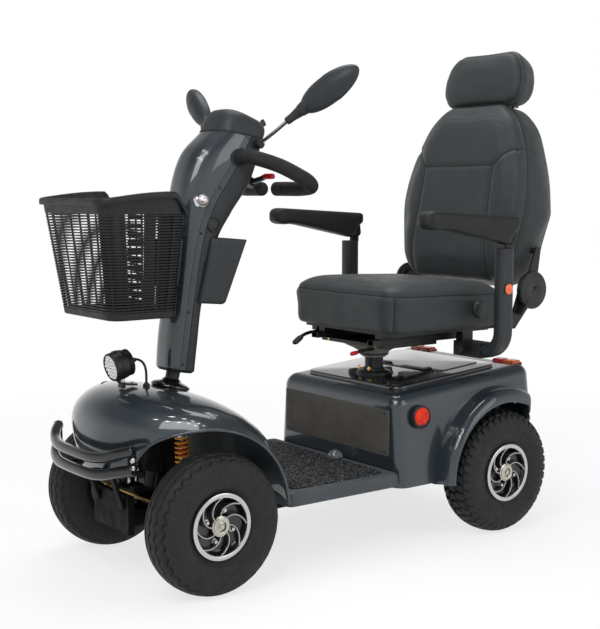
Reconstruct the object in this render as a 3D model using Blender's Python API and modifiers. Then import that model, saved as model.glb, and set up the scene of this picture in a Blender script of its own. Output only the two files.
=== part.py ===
"""Four-wheel mobility scooter: swivel seat, tilting tiller, sprung front wheels.

Units are metres and +Z is up. The front is towards -Y and the rider's left towards +X.
Places are written from the middle of the wheelbase on the ground. One empty carries
everything and sets the origin under the middle of the overall length.
"""
import math

import bmesh
import bpy
from mathutils import Euler, Vector

# Overall plan
WHEELBASE = 0.894
FRONT_TRACK = 0.493
REAR_TRACK = 0.526
LENGTH_MIDDLE_Y = 0.0230
SEAT_GAP = 0.0003
RUNNING_GAP = 0.0006
LAP = 0.001
OVERRUN = 0.020
FRONT_AXLE_Y = -WHEELBASE / 2
REAR_AXLE_Y = WHEELBASE / 2

# Wheels
TYRE_RADIUS = 0.165
FRONT_TYRE_WIDTH = 0.100
REAR_TYRE_WIDTH = 0.105
FRONT_RIM_FACE = 0.0426
REAR_RIM_FACE = 0.0500
RIM_RADIUS = 0.0775
RIM_SEAT_DEPTH = 0.012
RIM_WALL = 0.006
RIM_FLANGE = 0.0065
RIM_DISH = 0.020
HUB_RADIUS = 0.024
HUB_RECESS = 0.012
AXLE_RADIUS = 0.010
WHEEL_STEPS = 20
AXLE_Z = TYRE_RADIUS

# Main frame
BEAM_HALF_WIDTH = 0.026
BEAM_HEIGHT = 0.040
BEAM_Z = 0.140
BEAM_AHEAD = 0.113
BEAM_FRONT_Y = FRONT_AXLE_Y - BEAM_AHEAD
RAIL_X = 0.085
RAIL_WIDTH = 0.030
RAIL_FRONT_Y = -0.280
FRONT_PLATE_WIDTH = 0.170
FRONT_PLATE_THICK = 0.015
FRONT_PLATE_HEIGHT = 0.090
HANGER_THICK = 0.020
CROSS_MEMBER = 0.030
SUPPORT_INSET = 0.030
SUPPORT_HALF_WIDTH = 0.145
POST_FRONT_Y = -0.440
POST_BACK_Y = -0.385
SOCKET_WALL = 0.009
SOCKET_TOP_Z = 0.395
TRAY_HALF_WIDTH = 0.206
TRAY_THICK = 0.015

# Steering stem and its head tube
STEM_RAKE = math.radians(14)
STEM_RADIUS = 0.017
TILT_PIVOT_Y = -0.391
TILT_PIVOT_Z = 0.515
HEAD_TUBE_WALL = 0.009
HEAD_TUBE_LOW_Z = 0.240
HEAD_TUBE_HIGH_Z = 0.400
STEM_COLLAR = 0.007
DROP_ARM_WIDTH = 0.022
DROP_ARM_THICK = 0.011
DROP_ARM_CLEAR = 0.006
YOKE_THICK = 0.008
FORK_GAP_HALF = 0.022
FORK_EAR = 0.009
FORK_EAR_RADIUS = 0.016
PIN_RADIUS = 0.008

# Front suspension
ARM_PIVOT_X = 0.045
KINGPIN_X = 0.165
ARM_Z = AXLE_Z
ARM_HEIGHT = 0.026
ARM_WIDTH = 0.056
ARM_BOSS_RADIUS = 0.016
ARM_BOSS_HALF = 0.035
LUG_THICK = 0.010
LUG_EDGE = 0.012
KING_BOSS_HALF = 0.025
KNUCKLE_LUG = 0.0115
KNUCKLE_UPRIGHT_X = 0.187
KNUCKLE_DEPTH = 0.036
KNUCKLE_OVERLAP = 0.015
KNUCKLE_UPRIGHT = 0.018
STEERING_ARM = 0.060
STEERING_ARM_HALF = 0.011
TIE_ROD_RADIUS = 0.007
SHOCK_X = 0.124
SHOCK_AHEAD = 0.005
SHOCK_Y = FRONT_AXLE_Y - SHOCK_AHEAD
TOWER_Z = 0.365
TOWER_THICK = 0.020
TOWER_DEPTH = 0.040
TOWER_OVERHANG = 0.020
DAMPER_RADIUS = 0.0105
DAMPER_EYE = 0.013
SPRING_CAP_RADIUS = 0.0205
SPRING_CAP_THICK = 0.006
SPRING_RADIUS = 0.0165
SPRING_WIRE_RADIUS = 0.0026
SPRING_CURLS = 7
SPRING_POINTS = 8
SPRING_LOW_Z = 0.222
SPRING_HIGH_Z = 0.345

# Footplate and bodywork
SHELL = 0.004
FOOT_HALF_WIDTH = 0.272
FOOT_FRONT_Y = -0.249
FOOT_REAR_Y = 0.100
FOOT_TOP_Z = 0.207
FOOT_SKIRT = 0.034
FOOT_EDGE = 0.012
REAR_FRONT_Y = 0.103
REAR_BACK_Y = 0.606
REAR_HALF_WIDTH = 0.262
REAR_TOP_HALF_WIDTH = 0.246
REAR_LOW_Z = BEAM_Z + BEAM_HEIGHT / 2 + SEAT_GAP
REAR_TOP_FRONT_Z = 0.397
REAR_TOP_BACK_Z = 0.440
REAR_EDGE = 0.034
ARCH_GAP = 0.026
FLARE_REACH = 0.312
FLARE_RISE = 0.020
FLARE_START = math.radians(-2)
FLARE_END = math.radians(118)
FLARE_STEPS = 10
FLARE_ROOT = 0.014
FLARE_ROUND = 0.016
ARCH_INNER_X = 0.190
REAR_WALL_LOW_Z = 0.270
DECK_FRONT_Y = 0.150
DECK_BACK_Y = 0.520
DECK_HALF_WIDTH = 0.196
DECK_THICK = 0.008
DECK_CORNER = 0.030
STEM_HOLE_GAP = 0.0006
BOOT_WALL = 0.012
BOOT_LOW_Z = 0.412
BOOT_FLANGE_Z = 0.458
BOOT_FLANGE_RADIUS = 0.044
BOOT_TOP_Z = 0.474
BOOT_LIP = 0.004

# Front shroud cage: rows from the nose to the footplate, each from the middle to the left lip
SHROUD_ROWS = (
    ((0, -0.628, 0.262), (0.060, -0.626, 0.262), (0.100, -0.612, 0.268),
     (0.118, -0.600, 0.276), (0.126, -0.592, 0.284)),
    ((0, -0.641, 0.335), (0.065, -0.638, 0.335), (0.125, -0.622, 0.337),
     (0.170, -0.606, 0.342), (0.192, -0.598, 0.346)),
    ((0, -0.632, 0.402), (0.080, -0.628, 0.402), (0.150, -0.615, 0.399),
     (0.206, -0.597, 0.389), (0.228, -0.588, 0.370)),
    ((0, -0.588, 0.454), (0.090, -0.583, 0.451), (0.170, -0.568, 0.438),
     (0.238, -0.552, 0.415), (0.262, -0.545, 0.387)),
    ((0, -0.505, 0.460), (0.100, -0.503, 0.457), (0.190, -0.498, 0.446),
     (0.264, -0.490, 0.419), (0.288, -0.485, 0.390)),
    ((0, -0.420, 0.447), (0.100, -0.420, 0.446), (0.200, -0.420, 0.437),
     (0.271, -0.415, 0.410), (0.292, -0.410, 0.378)),
    ((0, -0.365, 0.430), (0.100, -0.362, 0.428), (0.200, -0.358, 0.412),
     (0.271, -0.352, 0.380), (0.292, -0.346, 0.342)),
    ((0, -0.322, 0.385), (0.100, -0.318, 0.383), (0.200, -0.308, 0.370),
     (0.268, -0.300, 0.330), (0.290, -0.300, 0.290)),
    ((0, -0.280, 0.300), (0.100, -0.278, 0.300), (0.200, -0.269, 0.295),
     (0.264, -0.266, 0.262), (0.287, -0.272, 0.236)),
    ((0, -0.258, 0.214), (0.100, -0.257, 0.214), (0.200, -0.253, 0.212),
     (0.262, -0.252, 0.200), (0.284, -0.256, 0.186)),
)

# Bumper
BUMPER_TUBE = 0.0125
BUMPER_FRONT_Y = -0.670
BUMPER_BEND_X = 0.108
BUMPER_UPPER_Z = 0.317
BUMPER_LOWER_Z = 0.278
BUMPER_END_X = 0.186
BUMPER_END_Y = -0.618
BUMPER_END_UPPER_Z = 0.343
BUMPER_END_LOWER_Z = 0.300
BUMPER_PLATE = 0.006
BUMPER_SWEEP = 0.040
STAY_X = 0.060
STAY_WIDTH = 0.020
STAY_THICK = 0.012
STAY_FOOT = 0.030

# Headlight
LAMP_Y = -0.545
LAMP_Z = 0.512
LAMP_DROP = math.radians(22)
LAMP_RADIUS = 0.034
LAMP_LENGTH = 0.056
LAMP_RIM = 0.022
LAMP_FIN_STEP = 0.006
LAMP_BACK_RADIUS = 0.016
LAMP_STRAP = 0.005
LAMP_STRAP_WIDTH = 0.012
LAMP_FOOT_HALF = 0.012
LAMP_FOOT_LENGTH = 0.040
LAMP_POST_DEPTH = 0.018
LAMP_STEPS = 16
LEAD_RADIUS = 0.003
LEAD_FOOT = (0.018, -0.485)
LEAD_ROUTE = (
    (0.003, -0.500, 0.5285),
    (0.009, -0.491, 0.5235),
    (0.014, -0.486, 0.512),
    (0.018, -0.485, 0.496),
    (0.018, -0.485, 0.480),
)

# Batteries, drive and seat post
BATTERY_WIDTH = 0.155
BATTERY_LENGTH = 0.185
BATTERY_HEIGHT = 0.170
BATTERY_X = 0.124
BATTERY_EDGE = 0.004
SEAT_POST_Y = 0.240
SEAT_POST_RADIUS = 0.0255
SEAT_POST_LOW_Z = 0.150
SEAT_POST_TOP_Z = 0.474
SEAT_POST_CAP = 0.006
AXLE_TUBE_RADIUS = 0.038
AXLE_TUBE_HALF = 0.190
GEARBOX_RADIUS = 0.062
GEARBOX_HALF = 0.045
GEARBOX_BACK = 0.008
GEARBOX_DROP = 0.026
MOTOR_RADIUS = 0.046
MOTOR_LENGTH = 0.120

# Tiller covers: centre y, centre z, lean in degrees, half width, depth in front, depth behind
COVER_STATIONS = (
    (-0.390, 0.497, 10, 0.047, 0.040, 0.036),
    (-0.384, 0.550, 10, 0.049, 0.044, 0.034),
    (-0.368, 0.660, 12, 0.050, 0.044, 0.034),
    (-0.342, 0.800, 16, 0.052, 0.054, 0.050),
    (-0.312, 0.885, 24, 0.060, 0.082, 0.066),
    (-0.268, 0.960, 32, 0.069, 0.101, 0.075),
    (-0.226, 1.030, 34, 0.072, 0.094, 0.062),
)
# Console hood: the same six values, from the top of the covers upwards
HOOD_STATIONS = (
    (-0.226, 1.030, 34, 0.073, 0.092, 0.060),
    (-0.213, 1.058, 34, 0.072, 0.090, 0.056),
    (-0.204, 1.080, 33, 0.060, 0.072, 0.046),
    (-0.199, 1.096, 32, 0.036, 0.042, 0.028),
)
COVER_SQUARENESS = 0.62
COVER_SIDES = 7
COVER_WALL = 0.003
SPLIT_GAP = 0.0014
DASH_Y = -0.175
DASH_Z = 1.065
DASH_LEAN = math.radians(32)

# Tiller fittings
MAST_RADIUS = 0.014
BAR_RADIUS = 0.017
BAR_Y = -0.252
BAR_Z = 0.994
CLAMP_SIZE = 0.052
CLAMP_TAIL = 0.012
GRIP_POINTS = (
    (0.000, -0.252, 0.994),
    (0.034, -0.252, 0.994),
    (0.070, -0.252, 0.994),
    (0.100, -0.240, 0.989),
    (0.142, -0.188, 0.966),
    (0.172, -0.140, 0.942),
    (0.176, -0.118, 0.932),
    (0.160, -0.103, 0.923),
    (0.120, -0.104, 0.920),
    (0.065, -0.110, 0.920),
    (0.018, -0.114, 0.920),
)
BASKET_WALL = 0.004
BASKET_TOP = (0.167, -0.669, -0.448, 0.896)
BASKET_LOW = (0.132, -0.634, -0.456, 0.625)
BASKET_CORNER = 0.036
BASKET_RIM = 0.006
BASKET_RIM_HEIGHT = 0.014
BASKET_SLOPE = 0.006
BRACKET_HALF_WIDTH = 0.036
BRACKET_LOW_Z = 0.690
BRACKET_HIGH_Z = 0.800
BOX_HALF_WIDTH = 0.062
BOX_LOW_Z = 0.640
BOX_HIGH_Z = 0.796
BOX_LOW_Y = (-0.362, -0.285)
BOX_HIGH_Y = (-0.322, -0.219)
BOX_BACK = (0.036, 0.048)
BOX_WALL = 0.004
SIGNAL_Y = -0.352
SIGNAL_Z = 0.892
SIGNAL_RADIUS = 0.019
SIGNAL_REACH = 0.086
THROTTLE_Y = -0.176
THROTTLE_Z = 0.938
THROTTLE_HALF = 0.108
THROTTLE_RADIUS = 0.007
THROTTLE_HUB = 0.018
THROTTLE_HUB_HALF = 0.010
DIAL_X = 0.034
DIAL_RADIUS = 0.014
DIAL_HEIGHT = 0.014
KEY_RADIUS = 0.010
KEY_HEIGHT = 0.024
BUTTON_RADIUS = 0.008
BUTTON_HEIGHT = 0.007
BUTTON_TRAVEL = 0.003
MIRROR_BASE = (0.079, -0.212, 1.040)
MIRROR_ELBOW = (0.132, -0.204, 1.054)
MIRROR_FOOT = (0.183, -0.191, 1.078)
MIRROR_MIDDLE = (0.284, -0.142, 1.150)
MIRROR_STALK = 0.0045
MIRROR_BOSS = 0.011
MIRROR_SIZE = (0.172, 0.056, 0.068)
MIRROR_GLASS = 0.010
MIRROR_CUFF = (0.009, 0.016)
MIRROR_NECK = 0.42
MIRROR_ROLL = math.radians(32)
MIRROR_TURN = math.radians(25)

# Seat
SEAT_BASE_THICK = 0.012
SEAT_BASE_AHEAD = 0.080
SEAT_BASE_BEHIND = 0.110
SEAT_BOSS_RADIUS = 0.040
SEAT_BOSS_HEIGHT = 0.024
SLIDE_RAIL_X = 0.120
SLIDE_RAIL_WIDTH = 0.026
SLIDE_RAIL_HEIGHT = 0.016
SLIDE_RAIL_FRONT_Y = 0.125
SLIDE_RAIL_BACK_Y = 0.440
CARRIAGE_HEIGHT = 0.012
PAN_THICK = 0.010
PAN_HALF_WIDTH = 0.190
PAN_FRONT_Y = 0.150
PAN_BACK_Y = 0.548
CUSHION_HALF_WIDTH = 0.232
CUSHION_FRONT_Y = 0.102
CUSHION_BACK_Y = 0.540
CUSHION_HEIGHT = 0.094
CUSHION_CROWN = 0.034
CUSHION_CORNER = 0.060
CUSHION_DIP = 0.006
CHANNEL_DEPTH = 0.005
RECLINE_Y = 0.594
RECLINE_Z = 0.644
RECLINE_PLATE_X = 0.232
RECLINE_PLATE = 0.006
RECLINE_DISC = 0.048
EAR_RADIUS = 0.034
PLATE_HALF = 0.023
BACK_LEAN = math.radians(11)
BACK_GAP = 0.026
BACK_HEIGHT = 0.498
BACK_HALF_WIDTH = 0.246
BACK_THICK = 0.100
BACK_BEHIND = 0.088
BACK_CORNER = 0.070
BACK_SHOULDER = 0.42
BACK_WAIST = 0.20
BACK_CROWN = 0.45
BACK_BOLSTER = 0.020
BACK_TAPER = 0.66
BACK_BAR = 0.009
BACK_BAR_HEIGHTS = (0.110, 0.420)
BACK_BAR_HALF = 0.130
GUIDE_X = 0.070
GUIDE_RADIUS = 0.010
STALK_RADIUS = 0.006
STALK_DEPTH = 0.095
HEADREST_HALF_WIDTH = 0.153
HEADREST_HEIGHT = 0.140
HEADREST_THICK = 0.098
HEADREST_GAP = 0.006
HEADREST_CORNER = 0.050
HEADREST_TAPER = 0.16
ARM_X = 0.317
ARM_Y = 0.412
ARM_POST_WIDTH = 0.034
ARM_POST_DEPTH = 0.050
ARM_POST_EDGE = 0.008
ARM_POST_TOP_Z = 0.766
ARM_BAR_WIDTH = 0.040
ARM_BAR_HEIGHT = 0.028
ARM_BAR_Z = 0.492
ARM_BAR_INNER_X = 0.178
RECEIVER_INNER_X = 0.160
RECEIVER_OUTER_X = 0.262
RECEIVER_WALL = 0.005
FLIP_Y = 0.428
FLIP_Z = 0.792
TONGUE_HALF = 0.006
TONGUE_RADIUS = 0.015
PAD_FRONT_Y = 0.118
PAD_BACK_Y = 0.466
PAD_HALF_WIDTH = 0.029
PAD_TOP_Z = 0.846
PAD_FRONT_LOW_Z = 0.822
PAD_BACK_LOW_Z = 0.772
PAD_EDGE = 0.012
PAD_NOTCH_RADIUS = 0.044
PAD_NOTCH_BEHIND = 0.052
PAD_NOTCH_BELOW = 0.020
# Share of the pad's length and how far its section is pinched there
PAD_STATIONS = ((0.0, 0.45), (0.06, 0.80), (0.2, 1.0), (0.55, 1.0), (0.85, 1.0), (0.97, 1.0), (1.0, 0.75))
SEAT_LEVER_X = -0.155
SEAT_LEVER_REACH = 0.075
LEVER_RADIUS = 0.005
LEVER_ROOT = 0.026
LEVER_BLOCK = 0.011
SWIVEL_LEVER_X = 0.060
SWIVEL_LEVER_REACH = 0.085

PARTS = bpy.data.collections.new("mobility_scooter")
CUTTERS = bpy.data.collections.new("cutters")
FINISHES = {
    "body_paint": ((0.105, 0.125, 0.150), 0.25, 0.55),
    "dark_plastic": ((0.045, 0.048, 0.052), 0.55, 0.0),
    "gloss_black": ((0.012, 0.012, 0.014), 0.18, 0.0),
    "rubber": ((0.020, 0.020, 0.022), 0.85, 0.0),
    "foam": ((0.018, 0.018, 0.020), 0.95, 0.0),
    "black_steel": ((0.025, 0.025, 0.028), 0.45, 0.6),
    "bright_steel": ((0.620, 0.630, 0.650), 0.30, 1.0),
    "cast_metal": ((0.330, 0.340, 0.350), 0.50, 0.8),
    "gold_zinc": ((0.560, 0.420, 0.180), 0.35, 1.0),
    "yellow_enamel": ((0.850, 0.600, 0.030), 0.35, 0.0),
    "vinyl": ((0.040, 0.042, 0.046), 0.60, 0.0),
    "red_plastic": ((0.550, 0.030, 0.025), 0.45, 0.0),
    "amber_lens": ((0.850, 0.420, 0.080), 0.15, 0.0),
    "grey_case": ((0.140, 0.140, 0.150), 0.60, 0.0),
}
PIVOTS = {}


def at(y, z, x=0.0):
    """Return a point from its place in the side view."""
    return Vector((x, y, z))


def stem_point(z):
    """Return the point of the raked steering axis at height z."""
    return at(TILT_PIVOT_Y + (z - TILT_PIVOT_Z) * math.tan(STEM_RAKE), z)


def to_object(bm, name="shape", outward=True):
    """Turn a bmesh into an object, with a closed shape's faces turned outwards."""
    if outward:
        bmesh.ops.recalc_face_normals(bm, faces=bm.faces)
    mesh = bpy.data.meshes.new(name)
    bm.to_mesh(mesh)
    bm.free()
    return bpy.data.objects.new(name, mesh)


def block(low, high, edge=0.0, segments=1, turn_x=0.0):
    """Box between two corners, with rounded edges and a turn about X through its middle."""
    low, high = Vector(low), Vector(high)
    middle = (low + high) / 2
    bm = bmesh.new()
    bmesh.ops.create_cube(bm, size=1.0)
    bmesh.ops.scale(bm, vec=high - low, verts=bm.verts)
    if edge:
        bmesh.ops.bevel(bm, geom=bm.edges[:], offset=edge, segments=segments, profile=0.5, affect="EDGES")
    bmesh.ops.rotate(bm, matrix=Euler((turn_x, 0, 0)).to_matrix(), verts=bm.verts)
    bmesh.ops.translate(bm, vec=middle, verts=bm.verts)
    return to_object(bm)


def rod(radius, start, end, sides=16, end_radius=None):
    """Round bar from one point to another, tapered where the end has a radius of its own."""
    start, end = Vector(start), Vector(end)
    run = end - start
    bm = bmesh.new()
    bmesh.ops.create_cone(
        bm, cap_ends=True, segments=sides, radius1=radius, radius2=end_radius or radius, depth=run.length)
    bmesh.ops.rotate(bm, matrix=run.to_track_quat("Z", "Y").to_matrix(), verts=bm.verts)
    bmesh.ops.translate(bm, vec=(start + end) / 2, verts=bm.verts)
    return to_object(bm)


def turned(profile, origin, axis, steps, closed):
    """Lathe shape: (radius, height) pairs that run down the outer side, about an axis."""
    mesh = bpy.data.meshes.new("profile")
    count = len(profile)
    links = [(i, (i + 1) % count) for i in range(count if closed else count - 1)]
    mesh.from_pydata([(radius, 0.0, height) for radius, height in profile], links, [])
    obj = bpy.data.objects.new("turned", mesh)
    screw = obj.modifiers.new("turn", "SCREW")
    screw.steps = steps
    screw.render_steps = steps
    screw.use_merge_vertices = True
    screw.merge_threshold = 0.00001
    screw.use_smooth_shade = True
    obj.rotation_mode = "QUATERNION"
    obj.rotation_quaternion = Vector(axis).to_track_quat("Z", "Y")
    obj.location = origin
    return obj


def patch(bm, a, b, c, d, split):
    """One face of a skin, or its two triangles with the fold from a to c."""
    if split:
        bm.faces.new((a, b, c))
        bm.faces.new((a, c, d))
    else:
        bm.faces.new((a, b, c, d))


def loft(rings, split=False):
    """Closed skin through rings that hold the same number of points, capped at both ends."""
    bm = bmesh.new()
    rows = [[bm.verts.new(point) for point in ring] for ring in rings]
    count = len(rings[0])
    for lower, upper in zip(rows, rows[1:]):
        for i in range(count):
            j = (i + 1) % count
            patch(bm, lower[i], lower[j], upper[j], upper[i], split)
    bm.faces.new(rows[0])
    bm.faces.new(rows[-1])
    return to_object(bm)


def sheet(rows, split=False):
    """Open skin through rows, which faces out where a row runs left and the rows run back."""
    bm = bmesh.new()
    lines = [[bm.verts.new(point) for point in row] for row in rows]
    for lower, upper in zip(lines, lines[1:]):
        for i in range(len(lower) - 1):
            patch(bm, lower[i], lower[i + 1], upper[i + 1], upper[i], split)
    return to_object(bm, outward=False)


def smooth_path(points, spans):
    """Points of a smooth curve through the given points, with a few steps in each span."""
    points = [Vector(p) for p in points]
    ends = [2 * points[0] - points[1]] + points + [2 * points[-1] - points[-2]]
    path = []
    for before, a, b, after in zip(ends, ends[1:], ends[2:], ends[3:]):
        for step in range(spans):
            t = step / spans
            bend = (2 * before - 5 * a + 4 * b - after) * t * t + (3 * a - before - 3 * b + after) * t ** 3
            path.append(0.5 * (2 * a + (b - before) * t + bend))
    return path + [points[-1]]


def tube(points, radius, resolution=2):
    """Round tube along points, made a closed mesh."""
    curve = bpy.data.curves.new("tube", "CURVE")
    curve.dimensions = "3D"
    curve.bevel_depth = radius
    curve.bevel_resolution = resolution
    curve.use_fill_caps = True
    spline = curve.splines.new("POLY")
    spline.points.add(len(points) - 1)
    for knot, point in zip(spline.points, points):
        knot.co = (*point, 1.0)
    guide = bpy.data.objects.new("tube_line", curve)
    bpy.context.scene.collection.objects.link(guide)
    bpy.context.view_layer.update()
    depsgraph = bpy.context.evaluated_depsgraph_get()
    mesh = bpy.data.meshes.new_from_object(guide.evaluated_get(depsgraph))
    bpy.data.objects.remove(guide)
    bpy.data.curves.remove(curve)
    bm = bmesh.new()
    bm.from_mesh(mesh)
    bpy.data.meshes.remove(mesh)
    bmesh.ops.remove_doubles(bm, verts=bm.verts, dist=0.00001)
    return to_object(bm)


def move_vertices(obj, change):
    """Apply a function to every vertex of an object's mesh."""
    for vertex in obj.data.vertices:
        vertex.co = change(vertex.co.copy())
    return obj


def combine(obj, operation, tools):
    """Join tools to an object, or cut them out of it."""
    for tool in tools:
        tool.hide_render = True
        tool.display_type = "WIRE"
        tool.parent = PIVOTS["scooter"]
        CUTTERS.objects.link(tool)
        boolean = obj.modifiers.new(operation.lower(), "BOOLEAN")
        boolean.operation = operation
        boolean.object = tool
    return obj


def join(obj, *tools):
    """Boolean union with every tool."""
    return combine(obj, "UNION", tools)


def cut(obj, *tools):
    """Boolean difference with every tool."""
    return combine(obj, "DIFFERENCE", tools)


def thicken(obj, thickness, offset=-1.0):
    """Give an open surface its wall, behind its faces by default."""
    wall = obj.modifiers.new("wall", "SOLIDIFY")
    wall.thickness = thickness
    wall.offset = offset
    wall.use_even_offset = True
    return obj


def soften(obj, levels):
    """Round a coarse cage with a subdivision surface."""
    subdivision = obj.modifiers.new("soften", "SUBSURF")
    subdivision.levels = levels
    subdivision.render_levels = levels
    return obj


def mirror_half(obj):
    """Add the right-hand half of a skin that is open at the middle plane."""
    mirror = obj.modifiers.new("mirror", "MIRROR")
    mirror.use_clip = True
    mirror.merge_threshold = 0.0001
    return obj


def pivot(name, place, parent="scooter"):
    """Add the empty on a joint axis, at a place given in the plan's own measure."""
    empty = bpy.data.objects.new(name + "_axis", None)
    empty.empty_display_size = 0.03
    PARTS.objects.link(empty)
    empty["place"] = list(place)
    if parent in PIVOTS:
        empty.parent = PIVOTS[parent]
        empty.location = Vector(place) - Vector(PIVOTS[parent]["place"])
    PIVOTS[name] = empty


def add_part(obj, name, finish, body="scooter"):
    """Name a finished shape, dress it and hang it on its body's axis."""
    obj.name = name
    obj.data.name = name
    PARTS.objects.link(obj)
    obj.parent = PIVOTS[body]
    obj.location = obj.location - Vector(PIVOTS[body]["place"])
    colour, roughness, metallic = FINISHES[finish]
    material = bpy.data.materials.new(name + "_" + finish)
    material.use_nodes = True
    shader = material.node_tree.nodes["Principled BSDF"]
    shader.inputs["Base Color"].default_value = (*colour, 1.0)
    shader.inputs["Roughness"].default_value = roughness
    shader.inputs["Metallic"].default_value = metallic
    material.diffuse_color = (*colour, 1.0)
    obj.data.materials.append(material)
    if obj.data.polygons:
        obj.data.shade_smooth()
        obj.data.set_sharp_from_angle(angle=math.radians(35))
    return obj


def both_sides(build):
    """Call a builder for the left side and then for the right side."""
    for side, word in ((1, "left"), (-1, "right")):
        build(side, word)


def rear_top_z(y):
    """Height of the rear shroud's sloping top at y."""
    slope = (REAR_TOP_BACK_Z - REAR_TOP_FRONT_Z) / (REAR_BACK_Y - REAR_FRONT_Y)
    return REAR_TOP_FRONT_Z + slope * (y - REAR_FRONT_Y)


def span(side, near, far):
    """Low and high x of a stretch on one side."""
    return sorted((side * near, side * far))


def build_frame():
    """Welded frame: beam, rails, tower with head tube, seat socket, tray and axle hangers."""
    beam_low, beam_high = BEAM_Z - BEAM_HEIGHT / 2, BEAM_Z + BEAM_HEIGHT / 2
    rail_back = REAR_AXLE_Y - AXLE_TUBE_RADIUS - CROSS_MEMBER / 3
    half_rail = RAIL_WIDTH / 2
    tray_front, tray_back = SEAT_POST_Y - BATTERY_LENGTH / 2, SEAT_POST_Y + BATTERY_LENGTH / 2
    saddle_low = AXLE_Z + AXLE_TUBE_RADIUS + SEAT_GAP
    saddle_back = REAR_AXLE_Y + AXLE_TUBE_RADIUS
    post_bore = SEAT_POST_RADIUS + RUNNING_GAP
    stem_bore = STEM_RADIUS + RUNNING_GAP
    post_middle = (POST_FRONT_Y + POST_BACK_Y) / 2
    tower_front = min(SHOCK_Y - TOWER_DEPTH / 2, post_middle)
    tower_back = max(SHOCK_Y + TOWER_DEPTH / 2, post_middle)
    frame = block((-BEAM_HALF_WIDTH, BEAM_FRONT_Y, beam_low),
                  (BEAM_HALF_WIDTH, RAIL_FRONT_Y + CROSS_MEMBER / 2, beam_high))
    pieces = [
        block((-FRONT_PLATE_WIDTH / 2, BEAM_FRONT_Y - FRONT_PLATE_THICK, beam_low),
              (FRONT_PLATE_WIDTH / 2, BEAM_FRONT_Y + LAP, beam_low + FRONT_PLATE_HEIGHT)),
        block((-RAIL_X - half_rail, RAIL_FRONT_Y, beam_low + LAP),
              (RAIL_X + half_rail, RAIL_FRONT_Y + CROSS_MEMBER, beam_high - LAP)),
        block((-TRAY_HALF_WIDTH, tray_front, beam_high - 3 * LAP),
              (TRAY_HALF_WIDTH, tray_back, beam_high + TRAY_THICK)),
        rod(post_bore + SOCKET_WALL, at(SEAT_POST_Y, beam_low + 4 * LAP), at(SEAT_POST_Y, SOCKET_TOP_Z)),
        block((-BEAM_HALF_WIDTH, POST_FRONT_Y, beam_high - 4 * LAP),
              (BEAM_HALF_WIDTH, POST_BACK_Y, TOWER_Z + LAP)),
        block((-SHOCK_X - TOWER_OVERHANG, tower_front, TOWER_Z),
              (SHOCK_X + TOWER_OVERHANG, tower_back, TOWER_Z + TOWER_THICK)),
        rod(stem_bore + HEAD_TUBE_WALL, stem_point(HEAD_TUBE_LOW_Z), stem_point(HEAD_TUBE_HIGH_Z)),
    ]
    for y in (FOOT_FRONT_Y + SUPPORT_INSET, FOOT_REAR_Y - SUPPORT_INSET - CROSS_MEMBER):
        pieces.append(block((-SUPPORT_HALF_WIDTH, y, beam_high - 5 * LAP),
                            (SUPPORT_HALF_WIDTH, y + CROSS_MEMBER, FOOT_TOP_Z - SHELL - SEAT_GAP)))
    reach = ARM_BOSS_HALF + RUNNING_GAP
    pin_half = reach + LUG_THICK / 2
    for side in (1, -1):
        inner, outer = span(side, RAIL_X - half_rail, RAIL_X + half_rail)
        pieces.append(block((inner, RAIL_FRONT_Y, beam_low), (outer, rail_back, beam_high)))
        inner, outer = inner + LAP, outer - LAP
        pieces.append(block((inner, rail_back - CROSS_MEMBER, beam_low + 2 * LAP),
                            (outer, rail_back - LAP, saddle_low + HANGER_THICK - LAP)))
        pieces.append(block((inner + LAP, rail_back - CROSS_MEMBER + LAP, saddle_low),
                            (outer - LAP, saddle_back, saddle_low + HANGER_THICK)))
        inner, outer = span(side, BEAM_HALF_WIDTH - 4 * LAP, ARM_PIVOT_X + LUG_EDGE)
        for low, high in ((-reach - LUG_THICK, -reach), (reach, reach + LUG_THICK)):
            pieces.append(block((inner, FRONT_AXLE_Y + low, beam_low + 4 * LAP),
                                (outer, FRONT_AXLE_Y + high, ARM_Z + LUG_EDGE)))
        pieces.append(rod(PIN_RADIUS, at(FRONT_AXLE_Y - pin_half, ARM_Z, side * ARM_PIVOT_X),
                          at(FRONT_AXLE_Y + pin_half, ARM_Z, side * ARM_PIVOT_X), 12))
    join(frame, *pieces)
    cut(frame,
        rod(stem_bore, stem_point(HEAD_TUBE_LOW_Z - OVERRUN), stem_point(HEAD_TUBE_HIGH_Z + OVERRUN), 20),
        rod(post_bore, at(SEAT_POST_Y, SEAT_POST_LOW_Z - SEAT_GAP),
            at(SEAT_POST_Y, SOCKET_TOP_Z + OVERRUN), 20))
    add_part(frame, "main_frame", "black_steel")


def height_over(shell, xs, ys):
    """Greatest height of a shell's upper side over the corners of a footprint."""
    bpy.context.view_layer.update()
    solid = shell.evaluated_get(bpy.context.evaluated_depsgraph_get())
    heights = []
    for x in xs:
        for y in ys:
            hit, place, _normal, _face = solid.ray_cast(Vector((x, y, 1.0)), Vector((0, 0, -1)))
            if hit:
                heights.append(place.z)
    return max(heights)


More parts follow.
